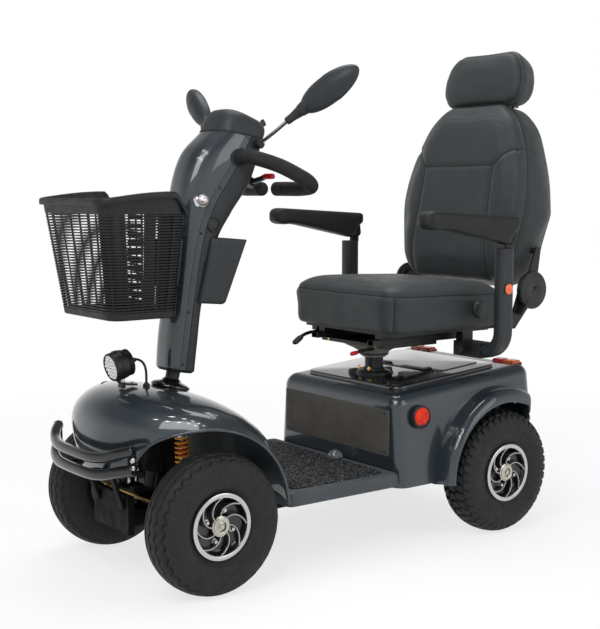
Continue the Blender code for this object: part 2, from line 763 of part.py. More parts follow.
def build_front_shroud():
    """Bonnet, nose and mudguards as one skin, with the boot where the stem comes through."""
    bore = STEM_RADIUS + RUNNING_GAP
    neck = bore + BOOT_WALL
    shroud = sheet(SHROUD_ROWS)
    mirror_half(shroud)
    soften(shroud, 1)
    thicken(shroud, SHELL)
    cut(shroud, rod(neck + STEM_HOLE_GAP, stem_point(BOOT_LOW_Z - 2 * OVERRUN),
                    stem_point(BOOT_TOP_Z + 2 * OVERRUN), 20))
    add_part(shroud, "front_shroud", "body_paint")

    foot = stem_point(BOOT_LOW_Z)
    flange = (stem_point(BOOT_FLANGE_Z) - foot).length
    top = (stem_point(BOOT_TOP_Z) - foot).length
    boot = turned(
        [(bore, top), (neck, top), (BOOT_FLANGE_RADIUS, flange + BOOT_LIP), (BOOT_FLANGE_RADIUS, flange),
         (neck, flange), (neck, 0.0), (bore, 0.0)],
        foot, stem_point(1.0) - stem_point(0.0), 16, True)
    add_part(boot, "stem_boot", "rubber")
    return shroud


def flare(side, arch):
    """Lip round one wheel arch, swept about the axle."""
    crown = arch + FLARE_RISE
    root = REAR_HALF_WIDTH - FLARE_ROOT
    brow = FLARE_REACH - FLARE_ROUND
    profile = ((root, crown), (brow, crown), (FLARE_REACH, arch + SHELL),
               (FLARE_REACH - SHELL, arch - SHELL / 2), (brow - SHELL, crown - SHELL), (root, crown - SHELL))
    rings = []
    for i in range(FLARE_STEPS + 1):
        turn = FLARE_START + (FLARE_END - FLARE_START) * i / FLARE_STEPS
        out = Vector((0, -math.cos(turn), math.sin(turn)))
        rings.append([at(REAR_AXLE_Y, AXLE_Z, side * x) + out * radius for x, radius in profile])
    return loft(rings)


def build_rear_shroud():
    """Rear body over the batteries and drive, with wheel arches and flared lips, and its deck."""
    low = Vector((-REAR_HALF_WIDTH, REAR_FRONT_Y, REAR_LOW_Z))
    high = Vector((REAR_HALF_WIDTH, REAR_BACK_Y, REAR_TOP_FRONT_Z))
    bm = bmesh.new()
    bmesh.ops.create_cube(bm, size=1.0)
    bmesh.ops.scale(bm, vec=high - low, verts=bm.verts)
    bmesh.ops.translate(bm, vec=(low + high) / 2, verts=bm.verts)
    for vertex in bm.verts:
        if vertex.co.z > REAR_TOP_FRONT_Z - LAP:
            vertex.co.z = rear_top_z(vertex.co.y)
            vertex.co.x *= REAR_TOP_HALF_WIDTH / REAR_HALF_WIDTH
    floor = [face for face in bm.faces if face.normal.z < -0.9]
    rounded = [edge for edge in bm.edges if not any(face in floor for face in edge.link_faces)]
    bmesh.ops.bevel(bm, geom=rounded, offset=REAR_EDGE, segments=2, profile=0.5, affect="EDGES")
    floor = [face for face in bm.faces if face.normal.z < -0.9]
    bmesh.ops.delete(bm, geom=floor, context="FACES_ONLY")
    shroud = thicken(to_object(bm), SHELL)
    arch = TYRE_RADIUS + ARCH_GAP
    tools = [block((-FLARE_REACH, REAR_AXLE_Y, REAR_LOW_Z - OVERRUN),
                   (FLARE_REACH, REAR_BACK_Y + OVERRUN, REAR_WALL_LOW_Z))]
    for side in (1, -1):
        tools.append(rod(arch, at(REAR_AXLE_Y, AXLE_Z, side * ARCH_INNER_X),
                         at(REAR_AXLE_Y, AXLE_Z, side * FLARE_REACH), 24))
    deck_bore = SEAT_POST_RADIUS + RUNNING_GAP + SOCKET_WALL + RUNNING_GAP
    tools.append(rod(deck_bore, at(SEAT_POST_Y, REAR_TOP_FRONT_Z - OVERRUN),
                     at(SEAT_POST_Y, REAR_TOP_BACK_Z + OVERRUN), 20))
    cut(shroud, *tools)
    join(shroud, flare(1, arch), flare(-1, arch))
    add_part(shroud, "rear_shroud", "body_paint")

    bm = bmesh.new()
    bmesh.ops.create_cube(bm, size=1.0)
    bmesh.ops.scale(bm, vec=(2 * DECK_HALF_WIDTH, DECK_BACK_Y - DECK_FRONT_Y, DECK_THICK), verts=bm.verts)
    bmesh.ops.translate(
        bm, vec=at((DECK_FRONT_Y + DECK_BACK_Y) / 2, DECK_THICK / 2 + 2 * SEAT_GAP), verts=bm.verts)
    corners = [edge for edge in bm.edges if abs(edge.verts[0].co.z - edge.verts[1].co.z) > LAP]
    bmesh.ops.bevel(bm, geom=corners, offset=DECK_CORNER, segments=3, profile=0.5, affect="EDGES")
    deck = move_vertices(to_object(bm), lambda p: Vector((p.x, p.y, p.z + rear_top_z(p.y))))
    cut(deck, rod(deck_bore, at(SEAT_POST_Y, REAR_TOP_FRONT_Z - OVERRUN),
                  at(SEAT_POST_Y, REAR_TOP_BACK_Z + 2 * OVERRUN), 20))
    add_part(deck, "deck_cover", "gloss_black")


def build_footplate():
    """Flat floor with turned-down skirts."""
    bm = bmesh.new()
    bmesh.ops.create_cube(bm, size=1.0)
    size = Vector((2 * FOOT_HALF_WIDTH, FOOT_REAR_Y - FOOT_FRONT_Y, FOOT_SKIRT))
    bmesh.ops.scale(bm, vec=size, verts=bm.verts)
    bmesh.ops.translate(
        bm, vec=at((FOOT_REAR_Y + FOOT_FRONT_Y) / 2, FOOT_TOP_Z - FOOT_SKIRT / 2), verts=bm.verts)
    top_edges = [edge for edge in bm.edges if all(v.co.z > FOOT_TOP_Z - LAP for v in edge.verts)]
    bmesh.ops.bevel(bm, geom=top_edges, offset=FOOT_EDGE, segments=2, profile=0.5, affect="EDGES")
    floor = [face for face in bm.faces if face.normal.z < -0.9]
    bmesh.ops.delete(bm, geom=floor, context="FACES_ONLY")
    add_part(thicken(to_object(bm), SHELL), "footplate", "dark_plastic")


def bumper_rail(bend_z, end_z):
    """One bumper tube: straight across the front, bent back to its end plates."""
    half = [(BUMPER_END_X, BUMPER_END_Y, end_z),
            (BUMPER_BEND_X + BUMPER_SWEEP, BUMPER_FRONT_Y + BUMPER_SWEEP / 2, (bend_z + end_z) / 2),
            (BUMPER_BEND_X, BUMPER_FRONT_Y + BUMPER_TUBE / 3, bend_z),
            (BUMPER_BEND_X - BUMPER_SWEEP, BUMPER_FRONT_Y, bend_z)]
    other = [(-x, y, z) for x, y, z in reversed(half)]
    return tube(smooth_path(half + other, 2), BUMPER_TUBE, 1)


def build_bumper():
    """Two bent tubes with end plates, on stays from the frame."""
    bumper = bumper_rail(BUMPER_UPPER_Z, BUMPER_END_UPPER_Z)
    pieces = [bumper_rail(BUMPER_LOWER_Z, BUMPER_END_LOWER_Z)]
    foot_y = BEAM_FRONT_Y - FRONT_PLATE_THICK - SEAT_GAP
    foot_low = BEAM_Z + BEAM_HEIGHT / 2
    tip_y, tip_low = BUMPER_FRONT_Y + BUMPER_TUBE / 3, BUMPER_LOWER_Z - STAY_THICK
    plate_x = BUMPER_END_X - BUMPER_PLATE / 2
    edge = 0.95 * BUMPER_TUBE
    for side in (1, -1):
        inner, outer = span(side, plate_x, plate_x + BUMPER_PLATE)
        pieces.append(block((inner, BUMPER_END_Y - edge, BUMPER_END_LOWER_Z - edge),
                            (outer, BUMPER_END_Y + edge, BUMPER_END_UPPER_Z + edge)))
        inner, outer = span(side, STAY_X - STAY_WIDTH / 2, STAY_X + STAY_WIDTH / 2)
        rings = []
        for y, low, high in ((foot_y, foot_low, foot_low + STAY_FOOT),
                             (foot_y - STAY_THICK, foot_low, foot_low + STAY_FOOT),
                             (tip_y, tip_low, BUMPER_LOWER_Z)):
            rings.append([(inner, y, low), (outer, y, low), (outer, y, high), (inner, y, high)])
        pieces.append(loft(rings))
    add_part(join(bumper, *pieces), "front_bumper", "black_steel")


def build_headlight(bonnet):
    """Round lamp on a strap bracket that stands on the bonnet, with its lead."""
    forward = Vector((0, -math.cos(LAMP_DROP), -math.sin(LAMP_DROP)))
    back = at(LAMP_Y, LAMP_Z) - forward * (LAMP_LENGTH / 2)
    edge = LAMP_LENGTH - LAMP_RIM
    lamp = turned(
        [(0.0, LAMP_LENGTH), (LAMP_RADIUS, LAMP_LENGTH - LAMP_FIN_STEP), (LAMP_RADIUS, edge),
         (LAMP_RADIUS - LAMP_FIN_STEP, edge - LAMP_FIN_STEP),
         (LAMP_RADIUS - 1.5 * LAMP_FIN_STEP, 2 * LAMP_FIN_STEP), (LAMP_BACK_RADIUS, LAMP_FIN_STEP),
         (LAMP_BACK_RADIUS, 0.0), (0.0, 0.0)],
        back, forward, LAMP_STEPS, False)
    add_part(lamp, "headlight", "dark_plastic")

    foot_front, foot_back = LAMP_Y, LAMP_Y + LAMP_FOOT_LENGTH
    post_back = LAMP_Y + LAMP_POST_DEPTH
    half = LAMP_FOOT_HALF
    foot_z = height_over(bonnet, (-half, 0.0, half), (foot_front, post_back, foot_back)) + SEAT_GAP
    inner = LAMP_RADIUS + 2 * SEAT_GAP
    outer = inner + LAMP_STRAP
    strap_low, strap_high = edge + LAP, edge + LAP + LAMP_STRAP_WIDTH
    strap = turned([(outer, strap_high), (outer, strap_low), (inner, strap_low), (inner, strap_high)],
                   back, forward, LAMP_STEPS, True)
    join(strap,
         block((-half, foot_front, foot_z), (half, post_back, LAMP_Z - inner - LAMP_STRAP / 2)),
         block((-half + LAP / 2, post_back - 2 * LAP, foot_z),
               (half - LAP / 2, foot_back, foot_z + LAMP_STRAP)))
    add_part(strap, "headlight_bracket", "black_steel")

    x, y = LEAD_FOOT
    xs, ys = (x - LEAD_RADIUS, x + LEAD_RADIUS), (y - LEAD_RADIUS, y + LEAD_RADIUS)
    lead_z = height_over(bonnet, xs, ys) + SEAT_GAP
    route = [back - forward * SEAT_GAP, back - forward * (4 * LEAD_RADIUS), *LEAD_ROUTE,
             (x, y, lead_z + 4 * LEAD_RADIUS), (x, y, lead_z)]
    add_part(tube(smooth_path(route, 1), LEAD_RADIUS), "headlight_lead", "rubber")


def build_power():
    """Batteries on the tray, drive unit under the hangers, seat post in its socket."""
    tray_top = BEAM_Z + BEAM_HEIGHT / 2 + TRAY_THICK + SEAT_GAP
    half_width, half_length = BATTERY_WIDTH / 2, BATTERY_LENGTH / 2

    def battery(side, word):
        case = block((side * BATTERY_X - half_width, SEAT_POST_Y - half_length, tray_top),
                     (side * BATTERY_X + half_width, SEAT_POST_Y + half_length, tray_top + BATTERY_HEIGHT),
                     BATTERY_EDGE)
        add_part(case, "battery_" + word, "grey_case")

    both_sides(battery)
    axle = at(REAR_AXLE_Y, AXLE_Z)
    shaft_end = REAR_TRACK / 2 + REAR_RIM_FACE - HUB_RECESS - 2 * LAP
    across = Vector((1, 0, 0))
    drive = rod(AXLE_TUBE_RADIUS, axle - across * AXLE_TUBE_HALF, axle + across * AXLE_TUBE_HALF)
    gear = axle + Vector((0, GEARBOX_BACK, -GEARBOX_DROP))
    motor = axle + Vector((0, AXLE_TUBE_RADIUS / 2, 0))
    join(drive,
         rod(GEARBOX_RADIUS, gear - across * GEARBOX_HALF, gear + across * GEARBOX_HALF),
         rod(MOTOR_RADIUS, motor, motor + Vector((0, MOTOR_LENGTH, 0))),
         rod(AXLE_RADIUS, axle - across * shaft_end, axle + across * shaft_end))
    add_part(drive, "drive_unit", "cast_metal")

    post = rod(SEAT_POST_RADIUS, at(SEAT_POST_Y, SEAT_POST_LOW_Z),
               at(SEAT_POST_Y, SEAT_POST_TOP_Z - LAP), 20)
    join(post, rod(SEAT_BOSS_RADIUS, at(SEAT_POST_Y, SEAT_POST_TOP_Z - SEAT_POST_CAP),
                   at(SEAT_POST_Y, SEAT_POST_TOP_Z), 20))
    add_part(post, "seat_post", "black_steel")


def build_wheel(name, middle, side, width, face, body):
    """Tyre and dished rim about an axle along X."""
    seat_radius = RIM_RADIUS - RIM_SEAT_DEPTH
    seat_half = face - RIM_FLANGE
    barrel = seat_radius - RIM_WALL
    disc = face - RIM_DISH
    bore = AXLE_RADIUS + RUNNING_GAP
    axis = (side, 0, 0)
    rim = turned(
        [(RIM_RADIUS, face), (RIM_RADIUS, seat_half), (seat_radius, seat_half), (seat_radius, -seat_half),
         (RIM_RADIUS, -seat_half), (RIM_RADIUS, -face), (barrel, -face), (barrel, disc - RIM_WALL),
         (bore, disc - RIM_WALL), (bore, face - HUB_RECESS),
         (HUB_RADIUS, face - HUB_RECESS), (HUB_RADIUS, disc), (barrel, disc), (RIM_RADIUS - RIM_WALL, face)],
        middle, axis, WHEEL_STEPS, True)
    add_part(rim, name.replace("wheel", "rim"), "bright_steel", body)
    half = width / 2
    bead = seat_half - RUNNING_GAP
    inner = seat_radius + 2 * RUNNING_GAP
    lip = RIM_RADIUS + 2 * RUNNING_GAP
    wall = TYRE_RADIUS - lip
    side_line = [(inner, bead), (lip, bead), (lip + 0.38 * wall, half), (lip + 0.72 * wall, 0.95 * half),
                 (lip + 0.94 * wall, 0.66 * half)]
    other = [(radius, -height) for radius, height in reversed(side_line)]
    tyre = turned(side_line + [(TYRE_RADIUS, 0.0)] + other, middle, axis, WHEEL_STEPS, True)
    add_part(tyre, name.replace("wheel", "tyre"), "rubber", body)


def spring_path(x, y):
    """Helix of the coil spring, with ends that run straight for one wire diameter."""
    total = SPRING_CURLS * SPRING_POINTS
    points = []
    for i in range(total + 1):
        turn = 2 * math.pi * i / SPRING_POINTS
        height = SPRING_LOW_Z + (SPRING_HIGH_Z - SPRING_LOW_Z) * i / total
        round_part = Vector((math.cos(turn), math.sin(turn), 0)) * SPRING_RADIUS
        points.append(Vector((x, y, height)) + round_part)
    first = points[0] - Vector((0, 2 * SPRING_WIRE_RADIUS, 0))
    last = points[-1] + Vector((0, 2 * SPRING_WIRE_RADIUS, 0))
    return [first] + points + [last]


def spring_gap(points):
    """Least gap between one curl's wire and the next curl's."""
    gaps = [(a - b).length - 2 * SPRING_WIRE_RADIUS
            for i, a in enumerate(points) for b in points[i + SPRING_POINTS - 2:]]
    return min(gaps)


def build_suspension(side, word):
    """Swing arm, damper, coil spring and knuckle of one front wheel."""
    body = "suspension_" + word
    steer = "knuckle_" + word
    spin = "front_wheel_" + word
    hinge = at(FRONT_AXLE_Y, ARM_Z, side * ARM_PIVOT_X)
    kingpin = at(FRONT_AXLE_Y, ARM_Z, side * KINGPIN_X)
    wheel_middle = at(FRONT_AXLE_Y, AXLE_Z, side * FRONT_TRACK / 2)
    pivot(body, hinge)
    pivot(steer, kingpin, body)
    pivot(spin, wheel_middle, steer)

    along, up, across = Vector((0, 1, 0)), Vector((0, 0, 1)), Vector((side, 0, 0))
    bore = PIN_RADIUS + RUNNING_GAP
    inner, outer = span(side, ARM_PIVOT_X + 4 * LAP, KINGPIN_X - 4 * LAP)
    arm = block((inner, FRONT_AXLE_Y - ARM_WIDTH / 2, ARM_Z - ARM_HEIGHT / 2),
                (outer, FRONT_AXLE_Y + ARM_WIDTH / 2, ARM_Z + ARM_HEIGHT / 2))
    join(arm, rod(ARM_BOSS_RADIUS, hinge - along * ARM_BOSS_HALF, hinge + along * ARM_BOSS_HALF, 12),
         rod(ARM_BOSS_RADIUS, kingpin - up * KING_BOSS_HALF, kingpin + up * KING_BOSS_HALF, 12))
    hinge_cut, king_cut = along * (ARM_BOSS_HALF + OVERRUN), up * (KING_BOSS_HALF + OVERRUN)
    cut(arm, rod(bore, hinge - hinge_cut, hinge + hinge_cut, 12),
        rod(bore, kingpin - king_cut, kingpin + king_cut, 12))
    add_part(arm, "suspension_arm_" + word, "black_steel", body)

    low_z = ARM_Z + ARM_HEIGHT / 2 + SEAT_GAP
    high_z = TOWER_Z - SEAT_GAP
    cap_low = SPRING_LOW_Z - SPRING_WIRE_RADIUS - SEAT_GAP
    cap_high = SPRING_HIGH_Z + SPRING_WIRE_RADIUS + SEAT_GAP
    foot_low, head_high = cap_low - SPRING_CAP_THICK, cap_high + SPRING_CAP_THICK
    damper = turned(
        [(0.0, high_z), (DAMPER_EYE, high_z), (DAMPER_EYE, head_high), (SPRING_CAP_RADIUS, head_high),
         (SPRING_CAP_RADIUS, cap_high), (DAMPER_RADIUS, cap_high), (DAMPER_RADIUS, cap_low),
         (SPRING_CAP_RADIUS, cap_low), (SPRING_CAP_RADIUS, foot_low), (DAMPER_EYE, foot_low),
         (DAMPER_EYE, low_z), (0.0, low_z)],
        at(SHOCK_Y, 0.0, side * SHOCK_X), (0, 0, 1), 12, False)
    add_part(damper, "shock_damper_" + word, "bright_steel")
    path = spring_path(side * SHOCK_X, SHOCK_Y)
    print("least gap in shock_spring_%s: %.2f mm" % (word, 1000 * spring_gap(path)))
    add_part(tube(path, SPRING_WIRE_RADIUS, 1), "shock_spring_" + word, "yellow_enamel")

    lug = KING_BOSS_HALF + RUNNING_GAP
    half = KNUCKLE_DEPTH / 2
    near_x, far_x = KINGPIN_X - KNUCKLE_OVERLAP, KNUCKLE_UPRIGHT_X + KNUCKLE_UPRIGHT
    near, far = span(side, near_x, far_x)
    knuckle = block((near, FRONT_AXLE_Y - half, ARM_Z + lug),
                    (far, FRONT_AXLE_Y + half, ARM_Z + lug + KNUCKLE_LUG))
    low_near, low_far = span(side, near_x, far_x - 2 * LAP)
    up_near, up_far = span(side, KNUCKLE_UPRIGHT_X, far_x - LAP)
    arm_near, arm_far = span(side, KINGPIN_X - STEERING_ARM_HALF, KINGPIN_X + STEERING_ARM_HALF)
    join(knuckle,
         block((low_near, FRONT_AXLE_Y - half, ARM_Z - lug - KNUCKLE_LUG),
               (low_far, FRONT_AXLE_Y + half, ARM_Z - lug)),
         block((up_near, FRONT_AXLE_Y - half + LAP, ARM_Z - lug - KNUCKLE_LUG + LAP),
               (up_far, FRONT_AXLE_Y + half - LAP, ARM_Z + lug + KNUCKLE_LUG - LAP)),
         rod(PIN_RADIUS, kingpin - up * (lug + 4 * LAP), kingpin + up * (lug + 4 * LAP), 12),
         rod(AXLE_RADIUS, at(FRONT_AXLE_Y, AXLE_Z, side * (KNUCKLE_UPRIGHT_X + 4 * LAP)),
             wheel_middle + across * (FRONT_RIM_FACE - HUB_RECESS - 2 * LAP)),
         block((arm_near, FRONT_AXLE_Y - STEERING_ARM - STEERING_ARM_HALF, ARM_Z + lug + LAP),
               (arm_far, FRONT_AXLE_Y, ARM_Z + lug + KNUCKLE_LUG - LAP)))
    add_part(knuckle, steer, "cast_metal", steer)
    build_wheel(spin, wheel_middle, side, FRONT_TYRE_WIDTH, FRONT_RIM_FACE, spin)


def build_steering():
    """Raked stem with fork and drop arm, and the tie rod between the knuckles."""
    rod_top = ARM_Z + KING_BOSS_HALF + RUNNING_GAP + LAP
    tie_y = FRONT_AXLE_Y - STEERING_ARM
    rod_z = rod_top - TIE_ROD_RADIUS - SEAT_GAP
    hinge = at(TILT_PIVOT_Y, TILT_PIVOT_Z)
    pivot("steering", hinge)
    pivot("tie_rod", at(tie_y, rod_z))
    axis = (stem_point(1.0) - stem_point(0.0)).normalized()
    collar_foot = stem_point(HEAD_TUBE_HIGH_Z) + axis * SEAT_GAP
    ear_span = FORK_GAP_HALF + RUNNING_GAP
    yoke_half = ear_span + FORK_EAR
    yoke_high = TILT_PIVOT_Z - FORK_EAR_RADIUS - 4 * LAP
    yoke_low = yoke_high - YOKE_THICK
    drop_low = rod_top + DROP_ARM_CLEAR
    drop_high = drop_low + DROP_ARM_THICK
    ear_front, ear_back = TILT_PIVOT_Y - FORK_EAR_RADIUS, TILT_PIVOT_Y + FORK_EAR_RADIUS - 2 * LAP
    pin = Vector((yoke_half - LAP, 0, 0))
    stem = rod(STEM_RADIUS, stem_point(drop_low + DROP_ARM_THICK / 2), stem_point(yoke_high - 2 * LAP), 20)
    pieces = [
        rod(STEM_RADIUS + HEAD_TUBE_WALL, collar_foot, collar_foot + axis * STEM_COLLAR, 20),
        block((-DROP_ARM_WIDTH / 2, tie_y - DROP_ARM_WIDTH / 2, drop_low),
              (DROP_ARM_WIDTH / 2, stem_point(drop_low).y + DROP_ARM_WIDTH / 2, drop_high)),
        block((-yoke_half, ear_front, yoke_low), (yoke_half, ear_back, yoke_high)),
        rod(PIN_RADIUS, hinge - pin, hinge + pin, 12),
    ]
    for side in (1, -1):
        inner, outer = span(side, ear_span, yoke_half)
        pieces.append(block((inner, ear_front + LAP, yoke_low + LAP),
                            (outer, ear_back - LAP, TILT_PIVOT_Z + PIN_RADIUS + 4 * LAP)))
    add_part(join(stem, *pieces), "steering_stem", "black_steel", "steering")

    rod_half = KINGPIN_X + TIE_ROD_RADIUS
    link = rod(TIE_ROD_RADIUS, at(tie_y, rod_z, -rod_half), at(tie_y, rod_z, rod_half), 10)
    add_part(link, "tie_rod", "gold_zinc", "tie_rod")


def cover_ring(station, grow, first, last):
    """Points of a squarish half or whole round about a leaning centre line."""
    y, z, lean, half_width, front, back = station
    lean = math.radians(lean)
    points = []
    count = round(COVER_SIDES * (last - first) / math.pi) + 1
    for i in range(count):
        turn = first + (last - first) * i / (count - 1)
        across, ahead = math.cos(turn), math.sin(turn)
        across = math.copysign(abs(across) ** COVER_SQUARENESS, across) * (half_width + grow)
        depth = (front if ahead > 0 else back) + grow
        ahead = math.copysign(abs(ahead) ** COVER_SQUARENESS, ahead) * depth
        points.append(Vector((across, y - ahead * math.cos(lean), z + ahead * math.sin(lean))))
    return points


def half_ring(station, grow, first, last, shift):
    """Half round drawn forwards or back from the split line."""
    lean = math.radians(station[2])
    step = Vector((0, -math.cos(lean), math.sin(lean))) * shift
    return [point + step for point in cover_ring(station, grow, first, last)]


def column_solid(grow, stations=COVER_STATIONS):
    """Closed outer form of the two tiller covers, grown by a gap."""
    rings = [half_ring(station, grow, 0.0, math.pi, SPLIT_GAP / 2)
             + half_ring(station, grow, math.pi, 2 * math.pi, -SPLIT_GAP / 2) for station in stations]
    return loft(rings, True)


def cover_half(first, last, shift):
    """Front or rear shell of the tiller, drawn back from the split line."""
    rows = [half_ring(station, 0.0, first, last, shift) for station in COVER_STATIONS]
    return thicken(sheet(rows, True), COVER_WALL, 1.0)


def build_tiller():
    """Mast on its tilt pin, handlebar in its clamp, and the two covers round them."""
    hinge = at(TILT_PIVOT_Y, TILT_PIVOT_Z)
    pivot("tiller", hinge, "steering")
    bar = at(BAR_Y, BAR_Z)
    across = Vector((1, 0, 0))
    half = CLAMP_SIZE / 2
    mast = tube([hinge] + [at(station[0], station[1]) for station in COVER_STATIONS[1:6]], MAST_RADIUS)
    join(mast, rod(FORK_EAR_RADIUS, hinge - across * FORK_GAP_HALF, hinge + across * FORK_GAP_HALF),
         block((-half, BAR_Y - half, BAR_Z - half - CLAMP_TAIL),
               (half, BAR_Y + half - LAP, BAR_Z + half - LAP)))
    cut(mast, rod(PIN_RADIUS + RUNNING_GAP, hinge - across * CLAMP_SIZE, hinge + across * CLAMP_SIZE, 12),
        rod(BAR_RADIUS + RUNNING_GAP, bar - across * CLAMP_SIZE, bar + across * CLAMP_SIZE, 20))
    add_part(mast, "tiller_mast", "black_steel", "tiller")

    left = [Vector(point) for point in GRIP_POINTS]
    right = [Vector((-point.x, point.y, point.z)) for point in reversed(left[1:])]
    add_part(tube(right + left, BAR_RADIUS), "handlebar", "foam", "tiller")

    def bar_holes():
        return [rod(BAR_RADIUS + 2 * RUNNING_GAP, bar + across * (side * COVER_STATIONS[0][3] / 2),
                    bar + across * (side * 2 * COVER_STATIONS[0][3]), 20) for side in (1, -1)]

    front = cut(cover_half(0.0, math.pi, SPLIT_GAP / 2), *bar_holes())
    add_part(front, "tiller_front_cover", "body_paint", "tiller")
    rear = cut(cover_half(math.pi, 2 * math.pi, -SPLIT_GAP / 2), *bar_holes())
    add_part(rear, "tiller_rear_cover", "dark_plastic", "tiller")


def build_hood():
    """Console hood with a flat dash towards the rider, and the controls on it."""
    lean = math.radians(HOOD_STATIONS[0][2])
    lift = Vector((0, math.sin(lean), math.cos(lean)))
    rings = [[point + lift * SEAT_GAP for point in cover_ring(station, 0.0, 0.0, 2 * math.pi)[:-1]]
             for station in HOOD_STATIONS]
    hood = loft(rings, True)
    hollow = [[point - lift * SHELL for point in cover_ring(station, -4 * SHELL, 0.0, 2 * math.pi)[:-1]]
              for station in HOOD_STATIONS[:3]]
    facing = Vector((0, math.cos(DASH_LEAN), math.sin(DASH_LEAN)))
    dash = at(DASH_Y, DASH_Z)
    reach = 2 * HOOD_STATIONS[0][4]
    cutter = block((-reach, DASH_Y, DASH_Z - reach), (reach, DASH_Y + reach, DASH_Z + reach))
    turn = Euler((DASH_LEAN, 0, 0)).to_matrix()
    move_vertices(cutter, lambda p: turn @ (p - dash) + dash)
    button = dash - Vector((DIAL_X, 0, 0))
    pocket = rod(BUTTON_RADIUS + RUNNING_GAP, button - facing * (BUTTON_TRAVEL + LAP + SEAT_GAP),
                 button + facing * OVERRUN)
    cut(hood, cutter, loft(hollow), pocket)
    add_part(hood, "console_hood", "dark_plastic", "tiller")

    for name, x, sunk, radius, height, finish in (
            ("speed_dial", 0.0, -SEAT_GAP, DIAL_RADIUS, DIAL_HEIGHT, "dark_plastic"),
            ("key_switch", DIAL_X, -SEAT_GAP, KEY_RADIUS, KEY_HEIGHT, "bright_steel"),
            ("horn_button", -DIAL_X, LAP, BUTTON_RADIUS, BUTTON_HEIGHT, "red_plastic")):
        foot = dash - facing * sunk + Vector((x, 0, 0))
        pivot(name, foot, "tiller")
        add_part(rod(radius, foot, foot + facing * height), name, finish, name)


def basket_ring(half_width, front_y, back_y, z, inset):
    """Rounded rectangle in plan, on a plane that rises from front to back."""
    points = []
    half_width, front_y, back_y = half_width - inset, front_y + inset, back_y - inset
    for cx, cy, start in ((1, 1, 0), (-1, 1, 90), (-1, -1, 180), (1, -1, 270)):
        for step in range(4):
            turn = math.radians(start + 30 * step)
            x = cx * (half_width - BASKET_CORNER) + BASKET_CORNER * math.cos(turn)
            y = back_y - BASKET_CORNER if cy > 0 else front_y + BASKET_CORNER
            y += BASKET_CORNER * math.sin(turn)
            share = (y - front_y) / (back_y - front_y)
            points.append(Vector((x, y, z + BASKET_SLOPE * share)))
    return points


def basket_rings(grow, top_z=0.0):
    """Outer rings of the basket from its floor to its rim."""
    rings = []
    for half, front, back, z in (BASKET_LOW, (*BASKET_TOP[:3], BASKET_TOP[3] + top_z)):
        rings.append(basket_ring(half, front, back, z, -grow))
    return rings


def build_basket():
    """Open-topped basket with a rolled rim, and the bracket that holds it to the column."""
    basket = loft(basket_rings(0.0))
    half, front, back, top = BASKET_TOP
    rim = [basket_ring(half, front, back, z, -BASKET_RIM)
           for z in (top + SEAT_GAP - BASKET_RIM_HEIGHT, top + SEAT_GAP)]
    join(basket, loft(rim))
    hollow = basket_rings(-BASKET_WALL, OVERRUN)
    hollow[0] = [point + Vector((0, 0, BASKET_WALL)) for point in hollow[0]]
    cut(basket, loft(hollow))
    add_part(basket, "basket", "dark_plastic", "tiller")
    bracket = block((-BRACKET_HALF_WIDTH, back - OVERRUN, BRACKET_LOW_Z),
                    (BRACKET_HALF_WIDTH, TILT_PIVOT_Y + OVERRUN, BRACKET_HIGH_Z))
    cut(bracket, column_solid(SEAT_GAP), loft(basket_rings(SEAT_GAP)))
    add_part(bracket, "basket_bracket", "black_steel", "tiller")


def box_ring(z, front, back, inset):
    """Four corners of the storage box at one height."""
    half = BOX_HALF_WIDTH - inset
    front, back = front + inset, back - inset
    return [Vector((-half, front, z + BASKET_SLOPE)), Vector((half, front, z + BASKET_SLOPE)),
            Vector((half, back, z)), Vector((-half, back, z))]


def build_storage_box():
    """Open bin that hugs the back of the column."""
    bin_shape = loft([box_ring(BOX_LOW_Z, *BOX_LOW_Y, 0.0), box_ring(BOX_HIGH_Z, *BOX_HIGH_Y, 0.0)])
    hollow = loft([box_ring(BOX_LOW_Z + BOX_WALL, BOX_LOW_Y[0] + BOX_BACK[0], BOX_LOW_Y[1], BOX_WALL),
                   box_ring(BOX_HIGH_Z + OVERRUN / 2, BOX_HIGH_Y[0] + BOX_BACK[1], BOX_HIGH_Y[1] + BOX_WALL,
                            BOX_WALL)])
    cut(bin_shape, column_solid(SEAT_GAP), hollow)
    add_part(bin_shape, "storage_box", "dark_plastic", "tiller")


def build_turn_signal(side, word):
    """Turn signal that stands on one side of the column."""
    lamp = rod(SIGNAL_RADIUS, at(SIGNAL_Y, SIGNAL_Z, side * SIGNAL_REACH / 3),
               at(SIGNAL_Y, SIGNAL_Z, side * SIGNAL_REACH))
    cut(lamp, column_solid(SEAT_GAP))
    add_part(lamp, "turn_signal_" + word, "amber_lens", "tiller")


